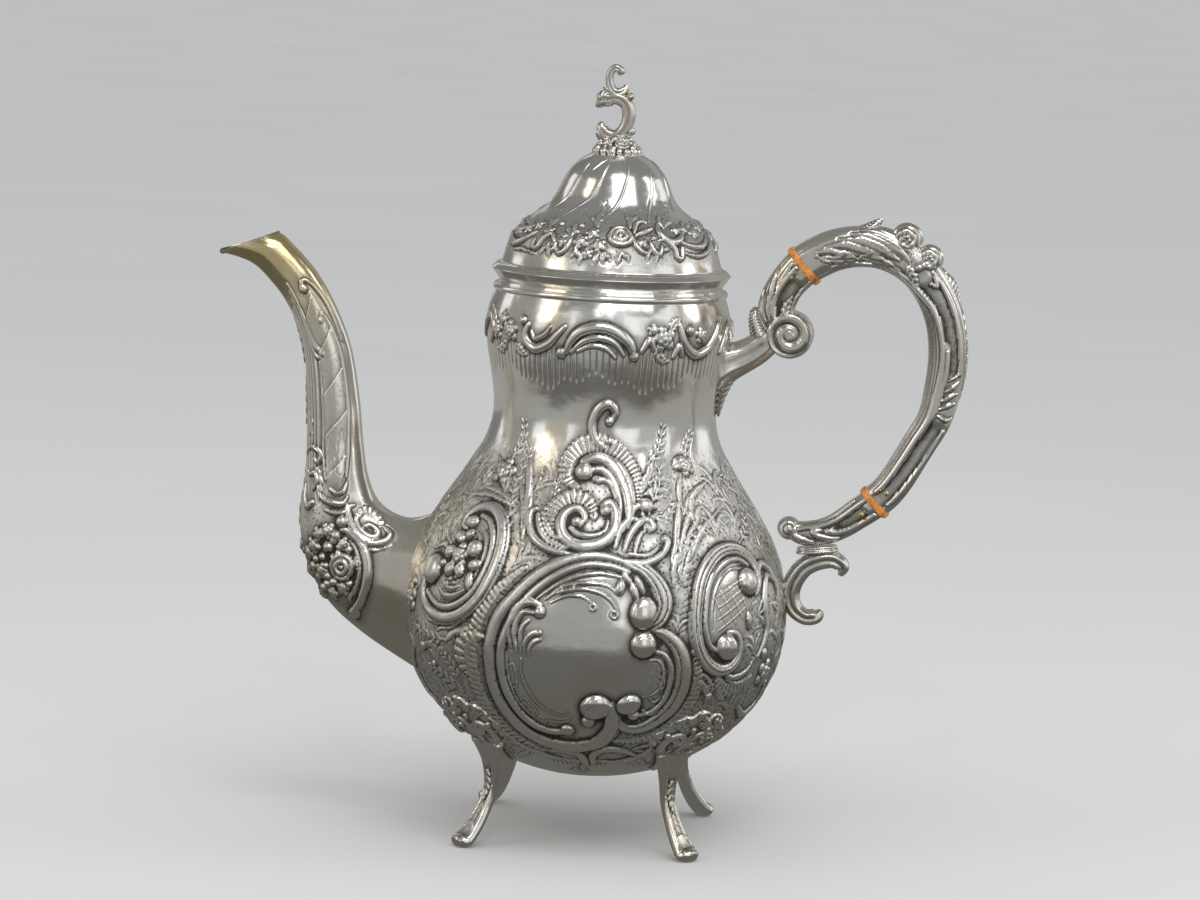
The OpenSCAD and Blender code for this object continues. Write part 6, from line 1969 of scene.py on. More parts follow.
        # the edge ridges
        r.stroke([(128, 8), (134, 16), (141, 25), (138, 31), (133, 39), (127, 46), (116, 51), (108, 55),
                  (103, 62), (100, 70), (101, 80), (104, 90), (106, 100), (110, 112), (116, 127)],
                 [0.6, 1.0, 1.2, 1.1, 1.0, 1.1, 1.2, 1.1, 0.9], 0.75, dip=0.15)
        r.stroke([(62, 44.5), (57, 52), (54, 60), (50, 69), (46, 78)], [0.7, 1.0, 1.0, 1.0, 0.9], 0.6,
            dip=0.25)
        r.stroke([(44, 97), (38, 104), (42, 110), (52, 118), (62, 127)], [0.8, 1.1, 1.2, 1.1, 0.8], 0.75,
            dip=0.25)
        r.stroke([(88, 71), (90, 78), (92, 86), (93, 95)], [0.6, 0.9, 0.9, 0.5], 0.4, dip=0.2)
        # the spray up to the roses
        for path, width in (
                ([(80, 5), (88, 9), (100, 13), (108, 19)], 3.6),
                ([(76, 8), (84, 14), (98, 21), (110, 29)], 4.4),
                ([(66, 13), (76, 19), (88, 25), (96, 34)], 4.8),
                ([(52, 17), (62, 23), (74, 29), (86, 37)], 4.6),
                ([(36, 20), (44, 25), (56, 31), (66, 36)], 4.2),
                ([(12, 22), (24, 26), (36, 31), (44, 37)], 3.8)):
            r.stroke(path, [0.5, 0.36 * width, 0.42 * width, 0.4], 1.0, Shape.LEAN, dip=0.3)
            r.cut(path, 0.3, 0.2, 0.12 * width)
        for path in ([(96, 6), (112, 12), (122, 22)], [(112, 20), (120, 28), (124, 38)],
                [(98, 38), (108, 41), (116, 46)]):
            r.leaf(path, 3.0, 0.5, 3)
        for at in ((72, 41), (60, 42.4), (84, 40.6), (48, 43)):
            r.blob(at, 1.25, 0.95, dip=0.2)
        # leaf strokes over and under the panel
        for path, width in (
                ([(34, 92.5), (56, 93.6), (86, 93.2)], 0.7), ([(40, 88), (60, 88.6), (86, 90.6)], 0.9),
                ([(40, 84.6), (60, 85.4), (88, 88)], 0.9), ([(46, 80.6), (62, 82.4), (84, 84.6)], 0.9),
                ([(50, 78), (66, 79.4), (80, 80.6)], 0.6), ([(68, 46), (76, 49), (86, 47)], 0.7)):
            r.stroke(path, [0.4, width, 0.4], 0.6, dip=0.2)
        for k in range(9):
            r.cut([(70 + 2 * (k % 3), 49 + 3.2 * k), (74 + 3 * (k % 2), 50.6 + 3.2 * k)], 0.3, 0.1)
        # the outer edge behind the roses
        for start in (46, 60, 72):
            r.leaf([(2, start), (0, start + 8), (0, start + 15)], 3.4, 0.5, 4)
        r.matting[:] = 0.35 * panel + 0.2 * inner
        mirror_near_side(relief)

    def chase_upper_socket(self, relief: Relief) -> None:
        """Chase a ridge, a sandy panel on its right and leaf strokes on its left."""
        r = relief
        v, u = relief.grid()
        panel = soft_step(v, 28, 38) * (1 - soft_step(v, 84, 92)) * soft_step(u, 2.5, 5)
        r.height -= 0.45 * panel
        r.stroke([(99, 1), (97, 6), (97, 12), (95, 17), (90, 21), (82, 24)], [0.8, 1.0, 1.0, 1.0, 0.7], 0.7,
                 dip=0.25)
        r.stroke([(40, 1), (34, 5), (30, 10), (22, 16), (18, 22)], [0.8, 1.1, 1.1, 0.9], 0.6, dip=0.2)
        for path in ([(150, 5), (128, 9), (112, 14), (104, 20)], [(160, 12), (140, 16), (122, 20)],
                     [(118, 1), (110, 5), (104, 10)]):
            r.stroke(path, [0.5, 1.0, 0.6], 0.5, dip=0.18)
        r.leaf([(64, 21), (58, 15), (56, 9)], 3.0, 0.45, 4)
        r.matting[:] = 0.4 * panel
        mirror_near_side(relief)

    def chase_lower_socket(self, relief: Relief) -> None:
        """Chase ridges along both edges, a sandy panel between them, and curls towards the knob."""
        r = relief
        v, u = relief.grid()
        panel = soft_step(v, 62, 70) * (1 - soft_step(v, 110, 120)) * soft_step(u, 1.5, 3.5) * (
            1 - soft_step(u, 13, 17))
        r.height -= 0.5 * panel
        for path, width in (([(56, 0.6), (56, 5), (61, 10), (74, 14), (86, 17), (94, 17.6), (94, 15.8)],
                             [0.9, 1.0, 1.0, 1.0, 0.9, 0.8, 0.6]),
                            ([(48, 15), (62, 17.6), (78, 20), (92, 22), (106, 22.4), (104, 20)],
                             [0.6, 0.9, 1.0, 1.0, 0.8, 0.6]),
                            ([(122, 0.6), (122, 7), (124, 14), (126, 20), (122, 26), (110, 28)],
                             [0.9, 1.0, 1.0, 1.1, 0.8]),
                            ([(56, 23), (64, 26), (74, 28.4)], [0.7, 1.3, 0.9]),
                            ([(150, 4), (148, 12), (146, 20)], [0.5, 0.9, 0.5])):
            r.stroke(path, width, 0.75, dip=0.22)
        r.blob((92, 16.6), 0.9, 0.7)
        r.blob((102, 21.4), 0.9, 0.7)
        r.matting[:] = 0.4 * panel
        mirror_near_side(relief)

    def chase_bracket(self, relief: Relief) -> None:
        """Chase a groove with two edge ridges along a scroll."""
        v, u = relief.grid()
        end = soft_step(u, 1, 4) * (1 - soft_step(u, u.max() - 4, u.max() - 1))
        relief.height += end * (0.34 * np.exp(-((np.abs(v) - 62) / 10) ** 2) - 0.4 * np.exp(
            -((np.abs(v) - 90) / 13) ** 2) + 0.34 * np.exp(-((np.abs(v) - 118) / 10) ** 2))
        relief.matting += 0.5 * end * np.exp(-((np.abs(v) - 90) / 14) ** 2)

    def chase_leaf(self, relief: Relief) -> None:
        """Chase a small leaf: a midrib and slanting veins on both faces."""
        v, u = relief.grid()
        t = u / u.max()
        vein = np.cos(2 * np.pi * (9 * t + np.abs((np.abs(v) - 90) / 60)))
        edge = 1 - np.exp(-((np.abs(v) - 90) / 16) ** 2)
        relief.height += (0.16 * vein * edge + 0.22 * (1 - edge)) * soft_step(t, 0, 0.1) * (
            1 - soft_step(t, 0.85, 1))

    # -- building --

    def limb(self, name: str, node: str, stations: Sequence[Sequence[float]], silver: bpy.types.Material,
             chase: Callable[[Relief], None], power: float = 2.5, first: Optional[float] = None,
             last: Optional[float] = None) -> None:
        """Build one solid limb with its relief.

        Args:
            name: the piece's name.
            node: the node that it stands for.
            stations: its middle line.
            silver: the finish.
            chase: the method that draws its relief.
            power: the superellipse's power.
            first: direction at the start, in degrees.
            last: direction at the end.
        """
        rows, columns = limb_cells(stations, 0.8 * GRID_MM, 24, 32)
        relief = Relief(limb_surface(stations, rows, columns, power, first, last))
        chase(relief)
        clay = Clay()
        cast(clay, relief)
        finish_piece(clay, name, "pot", "silver_cast", silver, node)

    def build(self, silver: bpy.types.Material, horn: bpy.types.Material, brass: bpy.types.Material) -> None:
        """Build the grip with its roses and leaves, the sockets, the brackets, the discs and the pins."""
        up, low = self.upper_angle, self.lower_angle
        self.limb("grip_scroll", "handle_grip", self.grip_stations(), silver, self.chase_grip, self.power, up,
                  low - 180)
        self.limb("upper_socket_neck", "upper_socket", self.upper_socket_stations(), silver,
                  self.chase_upper_socket, self.power, up - 180)
        self.limb("lower_socket_neck", "lower_socket", self.lower_socket_stations(), silver,
                  self.chase_lower_socket, 2.2, low - 180)
        self.limb("upper_bracket_stem", "upper_bracket", self.upper_bracket_stations(), silver,
                  self.chase_bracket, 2.0)
        self.limb("lower_bracket_scroll", "lower_bracket", self.lower_bracket_stations(), silver,
                  self.chase_bracket, 2.0)
        self.build_leaves(silver)
        self.build_roses(silver)
        self.build_volute(silver)
        self.build_knob(silver)
        self.build_collar(silver)
        self.build_discs(horn)
        self.build_pins(brass)

    def on_grip(self, station: float) -> tuple[Array, Array, Array]:
        """Return the place on the grip's outer side at a station, the outward and the forward direction."""
        rows = np.array(self.grip_stations())
        k = int(station)
        place = lerp(rows[k], rows[k + 1], station - k)
        ways = [np.arctan2(*(rows[i + 1] - rows[i - 1])[1::-1]) for i in (k, k + 1)]
        angle = lerp(ways[0], ways[1], station - k)
        out = np.array([-math.sin(angle), math.cos(angle)])
        return place[:2] + place[2] * out, out, np.array([math.cos(angle), math.sin(angle)])

    def build_leaves(self, silver: bpy.types.Material) -> None:
        """Build the leaves that stand out from the grip and from the upper bracket."""
        spur = ((-7, -2.6, 1.5, 2.6), (-3, -1.2, 1.9, 2.8), (0, 1, 1.5, 2.2), (1.8, 2.6, 0.8, 1),
            (2.6, 3.6, 0.3, 0.4))
        tail = ((-6, -1.4, 1.8, 2.4), (-3, -0.4, 1.9, 2.6), (1, -0.6, 1.8, 2.2), (6, -1.8, 1, 1),
            (8, -2.8, 0.4, 0.4))
        for name, station, rows in (("grip_spur_leaf", 3.65, spur), ("grip_tail_leaf", 6.9, tail)):
            at, out, ahead = self.on_grip(station)
            stations = [(*(at + along * ahead + rise * out), t, w) for along, rise, t, w in rows]
            self.limb(name, "handle_grip", stations, silver, self.chase_leaf, 2.0)
        wide, (x, z) = self.grip_w, (38.2, 176.0)
        self.limb("bracket_tail_leaf", "upper_bracket",
                  [(x + 7.2, z - 9.5, 2.2, 0.36 * wide), (x + 6.4, z - 11.5, 2.4, 0.40 * wide),
                   (x + 3.6, z - 16.0, 2.2, 0.34 * wide), (x + 1.6, z - 21.5, 1.7, 0.26 * wide),
                   (x + 0.8, z - 27.0, 0.9, 0.12 * wide), (x + 1.0, z - 29.0, 0.4, 0.05 * wide)],
                  silver, self.chase_leaf, 2.0)
        mouth = self.volute_centre() + [-self.volute_r + 1.2, -1.5]
        self.limb("bracket_spur_leaf", "upper_bracket",
                  [(*(mouth + [-3.6, 0.6]), 3.4, 0.36 * wide), (*(mouth + [-5.2, 5.0]), 2.6, 0.28 * wide),
                   (*(mouth + [-5.6, 8.4]), 1.9, 0.2 * wide), (*(mouth + [-5.4, 10.2]), 0.7, 0.07 * wide)],
                  silver, self.chase_leaf, 2.0)

    def drum(self, profile: Sequence[tuple[float, float]], centre: Array) -> Surface:
        """Turn a profile of (radius, half width) about a line across the handle.

        Args:
            profile: from the near face's middle to the rim; the far side is its mirror image.
            centre: the line's (x, z).

        Returns:
            The surface: u is the run from the far face's middle, v = 0 points up, and v grows towards the
            handle's outer side.
        """
        near = smooth_line(profile, 6)
        both = np.concatenate([near * [1, -1], near[::-1]])
        keep = np.concatenate([[True], np.linalg.norm(np.diff(both, axis=0), axis=1) > 1e-6])
        both = both[keep]
        step = 0.7 * GRID_MM
        line = even_line(both, step)
        columns = 8 * round(2 * math.pi * line[:, 0].max() / step / 8)
        v = -180 + 360 * np.arange(columns) / columns
        a = np.radians(v)[None]
        r, y = line[:, :1], line[:, 1:2]
        points = np.stack([centre[0] + r * np.sin(a), -y + 0 * a, centre[1] + r * np.cos(a)], axis=2)
        surface = Surface(points, run_lengths(line), v, wrap=True)
        middle = surface.normals()[len(line) // 2, columns // 2]
        if middle @ (points[len(line) // 2, columns // 2] - [centre[0], 0, centre[1]]) < 0:
            surface.outward = -1.0
        return surface

    def turned(self, name: str, node: str, relief: Relief, silver: bpy.types.Material) -> None:
        """Build a drum with its relief."""
        clay = Clay()
        cast(clay, relief)
        finish_piece(clay, name, "pot", "silver_cast", silver, node)

    def build_roses(self, silver: bpy.types.Material) -> None:
        """Build the two roses that cross the grip.

        The petals are one roll. Its height is 1 less the 2.2th power of the phase's distance from its middle,
        where the phase is the turns plus 2.2 times the reach, with a little swing.
        """
        for name, station, sink, radius, half in (("grip_rose_large", 4.75, 0.5, 5.1, 0.5 * self.grip_w),
                                                  ("grip_rose_small", 5.7, 1.0, 4.3, 0.48 * self.grip_w)):
            at, out, _ = self.on_grip(station)
            profile = [(0.02, half + 0.04 * radius), (0.4 * radius, half),
                       (0.75 * radius, half - 0.3 * radius), (0.97 * radius, half - 0.75 * radius),
                       (radius, 0.0)]
            sheet = self.drum(profile, at - sink * out)
            relief = Relief(sheet)
            v, u = relief.grid()
            reach = np.minimum(u, sheet.u[-1] - u) / radius
            phase = (v / 360 + 2.2 * reach + 0.09 * np.cos(np.radians(5 * v) + 5 * reach)) % 1
            roll = 1 - np.abs(2 * phase - 1) ** 2.2
            relief.height += ((1.25 * roll - 0.55) * soft_step(reach, 0.06, 0.2)
                              * (1 - soft_step(reach, 1.5, 1.9)))
            relief.height = box_blur(relief.height, 1, True)
            self.turned(name, "handle_grip", relief, silver)

    def build_volute(self, silver: bpy.types.Material) -> None:
        """Build the volute: a drum whose faces carry one rolled leaf.

        The roll's height is 1 less the 1.8th power of the phase's distance from its middle, where the phase
        is the turns plus the reach over the pitch.
        """
        half, r = 1.06 * self.grip_w / 2, self.volute_r
        profile = [(0.02, half + 0.7), (1.4, half + 0.6), (2.2, half), (3.6, half - 0.1), (r - 1.8, half),
                   (r - 0.8, half - 0.2), (r - 0.1, half - 1.2), (r, half - 2.4), (r, 0.0)]
        sheet = self.drum(profile, self.volute_centre())
        relief = Relief(sheet)
        v, u = relief.grid()
        reach = np.minimum(u, sheet.u[-1] - u)
        phase = (v / 360 + reach / 4.3) % 1
        roll = 1 - np.abs(2 * phase - 1) ** 1.8
        face = soft_step(reach, 1.6, 2.4) * (1 - soft_step(reach, r - 0.4, r + 0.6))
        relief.height += (1.1 * roll - 0.5 + 0.1 * np.cos(6 * np.pi * phase)) * face
        band = np.exp(-((reach - r - 2.6) / 0.8) ** 2)
        relief.height += 0.3 * band
        leaf = np.cos(np.radians(9 * v) + 1.2 * (u - sheet.u[-1] / 2))
        relief.height += 0.3 * leaf * soft_step(reach, r + 3.4, r + 4.4)
        relief.matting += 0.5 * soft_step(reach, r + 3.4, r + 4.4)
        self.turned("upper_socket_volute", "upper_socket", relief, silver)

    def build_knob(self, silver: bpy.types.Material) -> None:
        """Build the knob at the lower socket's end: a ball with a smooth roll round an eye."""
        r = self.knob_r
        turn = np.radians(np.linspace(89, 0, 12))
        sheet = self.drum([(r * math.cos(a) + 0.02, (r + 0.5) * math.sin(a)) for a in turn], self.knob())
        relief = Relief(sheet)
        u = np.broadcast_to(sheet.u[:, None], relief.height.shape)
        reach = np.minimum(u, sheet.u[-1] - u)
        relief.height += -0.45 * np.exp(-((reach - 2.0) / 0.4) ** 2) + 0.1 * np.exp(-(reach / 1.2) ** 2)
        self.turned("lower_socket_knob", "lower_socket", relief, silver)

    def build_collar(self, silver: bpy.types.Material) -> None:
        """Build the two oval rings under the lower socket, each a rounded band."""
        centre = np.array(self.lower_joint) - [18.8, 17.4]
        wide = 0.78 * self.grip_w
        turn = np.radians(np.linspace(0, 360, 97)[:-1])
        profile = np.array([(-2.4, -1.1), (-0.2, -1.1), (0.0, -0.95), (0.02, -0.6), (0.0, -0.3),
             (-0.25, -0.14), (-0.7, -0.08), (-0.7, 0.05), (-0.45, 0.2), (-0.36, 0.6), (-0.4, 0.95),
             (-0.6, 1.1), (-2.4, 1.1)])
        straight = (self.collar_l - wide) / 2
        reach = wide / 2 + profile[:, :1]
        x = np.sign(np.cos(turn)) * straight * np.minimum(1, np.abs(np.cos(turn)) * 3) + reach * np.cos(turn)
        y = reach * np.sin(turn)
        z = np.broadcast_to(profile[:, 1:2] * self.collar_ring_t / 1.1, x.shape)
        tilt = math.radians(self.collar_tilt)
        points = np.stack([centre[0] + x * math.cos(tilt) - z * math.sin(tilt), y,
                           centre[1] + x * math.sin(tilt) + z * math.cos(tilt)], axis=2)
        sheet = Surface(points, run_lengths(profile), np.degrees(turn), wrap=True)
        clay = Clay()
        solid_limb(clay, points, sheet.normals(), np.zeros((*points.shape[:2], 3)) + [0.15, 0.2, 0])
        finish_piece(clay, "lower_collar_rings", "pot", "silver_cast", silver, "lower_collar")

    def build_discs(self, horn: bpy.types.Material) -> None:
        """Build the two insulating discs with softly rounded rims."""
        half = self.insulator_t / 2
        for name, joint, angle, thick in (
                ("upper_insulator", self.upper_joint, self.upper_angle, self.top_t),
                ("lower_insulator", self.lower_joint, self.lower_angle, self.bottom_t)):
            turn = np.linspace(-1, 1, 9)
            round_off = 0.5 * (1 - np.sqrt(1 - np.clip(np.abs(turn) - 0.2, 0, 0.8) ** 2 / 0.65))
            stations = [(*(np.array(joint) + half * t * heading(angle)), angle,
                         thick / 2 + self.proud - cut, self.grip_w / 2 + self.proud - cut)
                        for t, cut in zip(turn, round_off)]
            sheet = limb_surface(stations, 17, 96, self.power, angles=True)
            clay = Clay()
            solid_limb(clay, sheet.points, sheet.normals(), np.zeros((*sheet.points.shape[:2], 3)))
            finish_piece(clay, f"{name}_disc", "pot", "insulator", horn, name)

    def build_pins(self, brass: bpy.types.Material) -> None:
        """Build the four cross pins with domed ends."""
        clay = Clay()
        turn = np.radians(np.linspace(0, 360, 33)[:-1])
        for joint, angle in ((self.upper_joint, self.upper_angle), (self.lower_joint, self.lower_angle)):
            for side in (-1, 1):
                x, z = np.array(joint) + side * self.pin_out * heading(angle)
                bow = np.radians(np.array([84, 60, 40, 20, 0]))
                reach = self.grip_w / 2 + 0.05
                ring = [(self.pin_r * math.cos(b), -reach - 0.35 * math.sin(b)) for b in bow]
                ring += [(r, -y) for r, y in ring[::-1]]
                r, y = np.array(ring).T[:, :, None]
                points = np.stack([x + r * np.cos(turn), y + 0 * turn, z + r * np.sin(turn)], axis=2)
                sheet = Surface(points, np.arange(len(ring)), np.degrees(turn), wrap=True)
                middle = sheet.normals()[5, 0] @ (points[5, 0] - [x, 0, z])
                flip = middle < 0
                sheet.outward = -1.0 if flip else 1.0
                solid_limb(clay, points, sheet.normals(), np.zeros((*points.shape[:2], 3)), flip)
        finish_piece(clay, "handle_pin_heads", "pot", "pins", brass, "handle_pins")


# ---- the feet --------------------------------------------------------------------------------------


@dataclass
class Foot:
    """One cast foot: a scroll leg with a spoon-shaped toe, and the apron that joins it to the bowl."""

    name: str
    azimuth: float
    flip: bool
    ankle_r: float = 42.2
    toe_reach: float = 14.8
    leg_t: float = 4.4
    leg_w: float = 5.0
    toe_w: float = 8.4
    foot_gap: float = 22.7
    apron_t: float = 1.6
    apron_l: float = 30.0
    apron_w: float = 27.0
    apron_slope: float = 50.0
    apron_middle: float = 13.0

    def leg_stations(self) -> list[tuple[float, float, float, float]]:
        """Return (reach, height, half thickness, half width) from the root to the tip of the toe."""
        a, reach, gap, t, w = self.ankle_r, self.toe_reach, self.foot_gap, self.leg_t, self.leg_w
        mid_t = 0.54 * t
        mid_z = mid_t - 0.5
        return [(a + 3, gap + 14, 0.9 * t, 1.5 * w), (a + 0.8, gap + 7.5, 0.7 * t, w),
                (a, gap + 2, 0.56 * t, 0.62 * w), (a + 0.4, 0.80 * gap, t / 2, w / 2),
                (a + 0.18 * reach, 0.57 * gap, 0.52 * t, 0.52 * w),
                (a + 0.38 * reach, 0.36 * gap, 0.54 * t, lerp(w, self.toe_w, 0.4) / 2),
                (a + 0.60 * reach, 0.19 * gap, 0.56 * t, lerp(w, self.toe_w, 0.8) / 2),
                (a + 0.80 * reach, mid_z, mid_t, self.toe_w / 2),
                (a + 0.94 * reach, mid_z + 0.8, 0.8 * mid_t, 0.38 * self.toe_w),
                (a + reach, mid_z + 1.7, 0.35 * mid_t, 0.16 * self.toe_w)]

    def placed(self, points: Array) -> Array:
        """Turn points from the foot's own upright plane to its azimuth."""
        a = math.radians(self.azimuth)
        x, y = points[..., 0], points[..., 1]
        return np.stack([x * math.cos(a) - y * math.sin(a), x * math.sin(a) + y * math.cos(a),
             points[..., 2]], axis=-1)

    def chase_leg(self, relief: Relief) -> None:
        """Raise the rims, sink the sandy middle and the dish of the toe."""
        v, u = relief.grid()
        total = u.max()
        a = np.sin(np.radians(v))
        front = (np.cos(np.radians(v)) > -0.2) * 1.0
        along = soft_step(u, 7, 12)
        rim = np.exp(-((np.abs(a) - 0.76) / 0.17) ** 2)
        relief.height += front * along * (0.38 * rim * (1 - soft_step(u, total - 3, total))
                                          - 0.42 * (1 - soft_step(np.abs(a), 0.42, 0.62)) * (
                                              1 - soft_step(u, total - 12, total - 9.5)))
        dish = np.clip(1 - (a / 0.8) ** 2 - ((u - total + 6) / 4.6) ** 2, 0, 1)
        relief.height -= front * 0.9 * dish ** 0.7
        for k in range(7):
            relief.cut([(-38 + 5 * (k % 2), total - 26 + 2.1 * k), (0, total - 27.5 + 2.1 * k),
                        (38 - 5 * (k % 2), total - 26 + 2.1 * k)], 0.35, 0.12)
        relief.leaf([(0, 12), (0, 18), (0, 24)], 2.6, 0.4, 4)
        relief.matting[:] = 0.8 * front * along * (1 - soft_step(np.abs(a), 0.5, 0.7)) * (
            1 - soft_step(u, total - 12, total - 9))

    def ground(self, body: Body) -> Surface:
        """Lay a square grid on the bowl round the foot.

        The grid's (X, Y) lie in the apron's plane, X up the slope and Y to the side, and each point slides
        along the plane's normal to the bowl, by halving.

        Args:
            body: the body that it lies on.

        Returns:
            The grid: u is X and v is Y, in mm.
        """
        slope = math.radians(self.apron_slope)
        start = np.array([self.ankle_r - 1, 0, self.foot_gap + 6])
        up = np.array([math.cos(slope), 0, math.sin(slope)])
        out = np.array([math.sin(slope), 0, -math.cos(slope)])
        step = 0.8 * GRID_MM
        u = np.arange(-7, 33, step)
        v = np.arange(-19, 19 + step, step)
        flat = start + u[:, None, None] * up + v[None, :, None] * np.array([0, 1, 0])
        low = np.full(flat.shape[:2], -22.0)
        high = np.full(flat.shape[:2], 22.0)
        line = body.profile()
        for _ in range(22):
            mid = (low + high) / 2
            p = flat + mid[..., None] * out
            outside = (np.hypot(p[..., 0], p[..., 1]) > np.interp(p[..., 2], line[:, 1], line[:, 0])) | (
                p[..., 2] < self.foot_gap)
            high = np.where(outside, mid, high)
            low = np.where(outside, low, mid)
        return Surface(flat + low[..., None] * out, u, v)

    def outline(self, angle: Array) -> Array:
        """Return the apron's reach from its middle at an angle: the farthest of a ring of round lobes."""
        lobe = self.apron_w / 4.6
        turn = np.radians(np.linspace(-80, 80, 5))
        centres = [(0.0, 0.0, self.leg_w), (0.62 * self.apron_l, 0.0, 0.34 * self.apron_w)]
        centres += [(0.5 * self.apron_l + (0.5 * self.apron_l - lobe) * math.cos(t),
                     1.1 * (0.5 * self.apron_l - lobe) * math.sin(t), lobe) for t in turn]
        centres += [(6.0, 3.2, 4.6), (6.0, -3.2, 4.6)]
        reach = np.zeros_like(angle)
        for x, y, r in centres:
            x = x - self.apron_middle
            ahead = x * np.cos(angle) + y * np.sin(angle)
            inside = r * r - x * x - y * y + ahead ** 2
            reach = np.maximum(reach, np.where(inside > 0, ahead + np.sqrt(np.maximum(inside, 0)), 0))
        return reach

    def chase_apron(self, relief: Relief) -> None:
        """Chase a flower bunch at the outer end, scrolls down to the ankle and a ruffled border."""
        r = relief
        x, y = relief.grid()
        angle = np.arctan2(x, y - self.apron_middle)
        reach = np.hypot(x, y - self.apron_middle) / self.outline(angle)
        ruffle = np.abs(np.cos(11 * angle)) ** 0.7
        r.height += 0.4 * (ruffle - 0.4) * soft_step(reach, 0.7, 0.9) * (np.abs(angle) < 2.5)
        s = -1.0 if self.flip else 1.0
        for path, width, height in (
                ([(-1.5, -3), (-3.2, 3), (-6.4, 8), (-9.8, 13), (-9.6, 18), (-5.6, 20), (-3.2, 17), (-5, 15)],
                 [1.1, 1.5, 1.6, 1.6, 1.5, 1.3, 1.0], 1.3),
                ([(1.5, -3), (3.4, 3), (6.6, 7.4), (10.4, 11), (12.4, 15.6), (10.6, 18.6)],
                 [1.1, 1.5, 1.6, 1.5, 1.1], 1.3),
                ([(-1, 4), (-2, 10), (-1, 16), (2.6, 20), (6, 19), (5.6, 16)], [0.7, 1.0, 1.1, 1.1, 0.8],
                 1.0), ([(1.4, 3), (3, 8), (6.6, 12.4)], [0.6, 1.0, 0.6], 0.8)):
            r.stroke([(s * v, u) for v, u in path], width, height, dip=0.35)
        for root, tips in (
                ((0, -2), [(-5, 6), (-2.4, 9), (1, 10), (4.6, 7)]),
                ((-7, 9), [(-12.4, 12), (-13, 17), (-11, 7)]), ((7, 8), [(12.6, 9.6), (14, 14), (10.6, 5)]),
                ((0, 12), [(-4, 20), (0, 21), (4, 15)])):
            r.fan((s * root[0], root[1]), [(s * v, u) for v, u in tips], 0.14, 1.1, 1.0)
        for path, size in (([(0, -2), (0, 5), (1, 12)], 3.4), ([(-4, 21), (-7, 24), (-11, 24)], 3.0),
                           ([(-9, 9), (-13, 11), (-15, 15)], 3.0)):
            r.leaf([(s * v, u) for v, u in path], size, 0.6, 4)
        for v, u, size in ((8.6, 23.4, 3.4), (2.4, 25.2, 3.0), (12.6, 19.2, 2.8)):
            r.rosette((s * v, u), size, 1.4, 5, 17 * size)
        r.berries((s * 7.4, 18.6), 3.6, 1.05, 1.1, 8, 21)
        for v, u, size in ((-6.2, 17.4, 1.5), (5, 21.6, 1.2), (-1.8, 22.4, 1.2), (-10.8, 19.6, 1.2)):
            r.blob((s * v, u), size, 1.1, dip=0.2)
        r.matting[:] = 0.5 * (reach < 0.75)

    def build(self, silver: bpy.types.Material, body: Body) -> None:
        """Build the leg and the apron."""
        line = self.leg_stations()
        cell = 0.75 * GRID_MM
        sheet = limb_surface(line, round(50 / cell), 8 * round(24 / cell / 8))
        sheet.points = self.placed(sheet.points)
        relief = Relief(sheet)
        self.chase_leg(relief)
        outer = relief.carved()
        outer[..., 2] = np.maximum(outer[..., 2], 0)  # the toe is filed flat where it stands
        clay = Clay()
        solid_limb(clay, outer, sheet.normals(outer), wear_of(relief))
        finish_piece(clay, f"{self.name}_leg", "pot", "silver_cast", silver, self.name)
        self.build_apron(silver, body)

    def build_apron(self, silver: bpy.types.Material, body: Body) -> None:
        """Build the apron as a round grid that samples the chased ground, closed by a back in the sheet."""
        patch = self.ground(body)
        relief = Relief(patch)
        self.chase_apron(relief)
        plain = patch.normals()
        cell = 0.8 * GRID_MM
        columns = 4 * round(96 / cell / 4)
        angle = np.linspace(0, 2 * np.pi, columns, endpoint=False)
        reach = self.outline(angle)
        reach = np.convolve(np.concatenate([reach[-2:], reach, reach[:2]]), np.ones(5) / 5, "valid")
        rings = round(15 / cell)
        share = np.concatenate([np.linspace(0.01, 1, rings), np.linspace(1, 0.05, 8)])[:, None]
        x = self.apron_middle + share * reach * np.cos(angle)
        y = share * reach * np.sin(angle)
        base = patch.place(y, x)
        way = Surface(plain, patch.u, patch.v).place(y, x)
        way /= np.linalg.norm(way, axis=2, keepdims=True)
        worn = wear_of(relief)
        stack = np.concatenate([relief.height[..., None], worn], axis=2)
        taken = Surface(stack, patch.u, patch.v).place(y, x)
        back = np.arange(len(share)) >= rings
        thick = 0.75 * self.apron_t * np.sqrt(np.clip(1 - share ** 10, 0, 1))
        lift = thick + taken[..., 0] * (1 - soft_step(share, 0.93, 1.0)) - 0.3 * soft_step(share, 0.97, 1.0)
        lift = np.where(back[:, None], -0.7, lift)
        points = base + way * lift[..., None]
        worn = np.where(back[:, None, None], 0.3, taken[..., 1:])
        sheet = Surface(self.placed(points), np.arange(len(share)), angle, wrap=True)
        clay = Clay()
        solid_limb(clay, sheet.points, sheet.normals(), worn)
        finish_piece(clay, f"{self.name}_apron", "pot", "silver_cast", silver, self.name)


# ---- the finial ------------------------------------------------------------------------------------


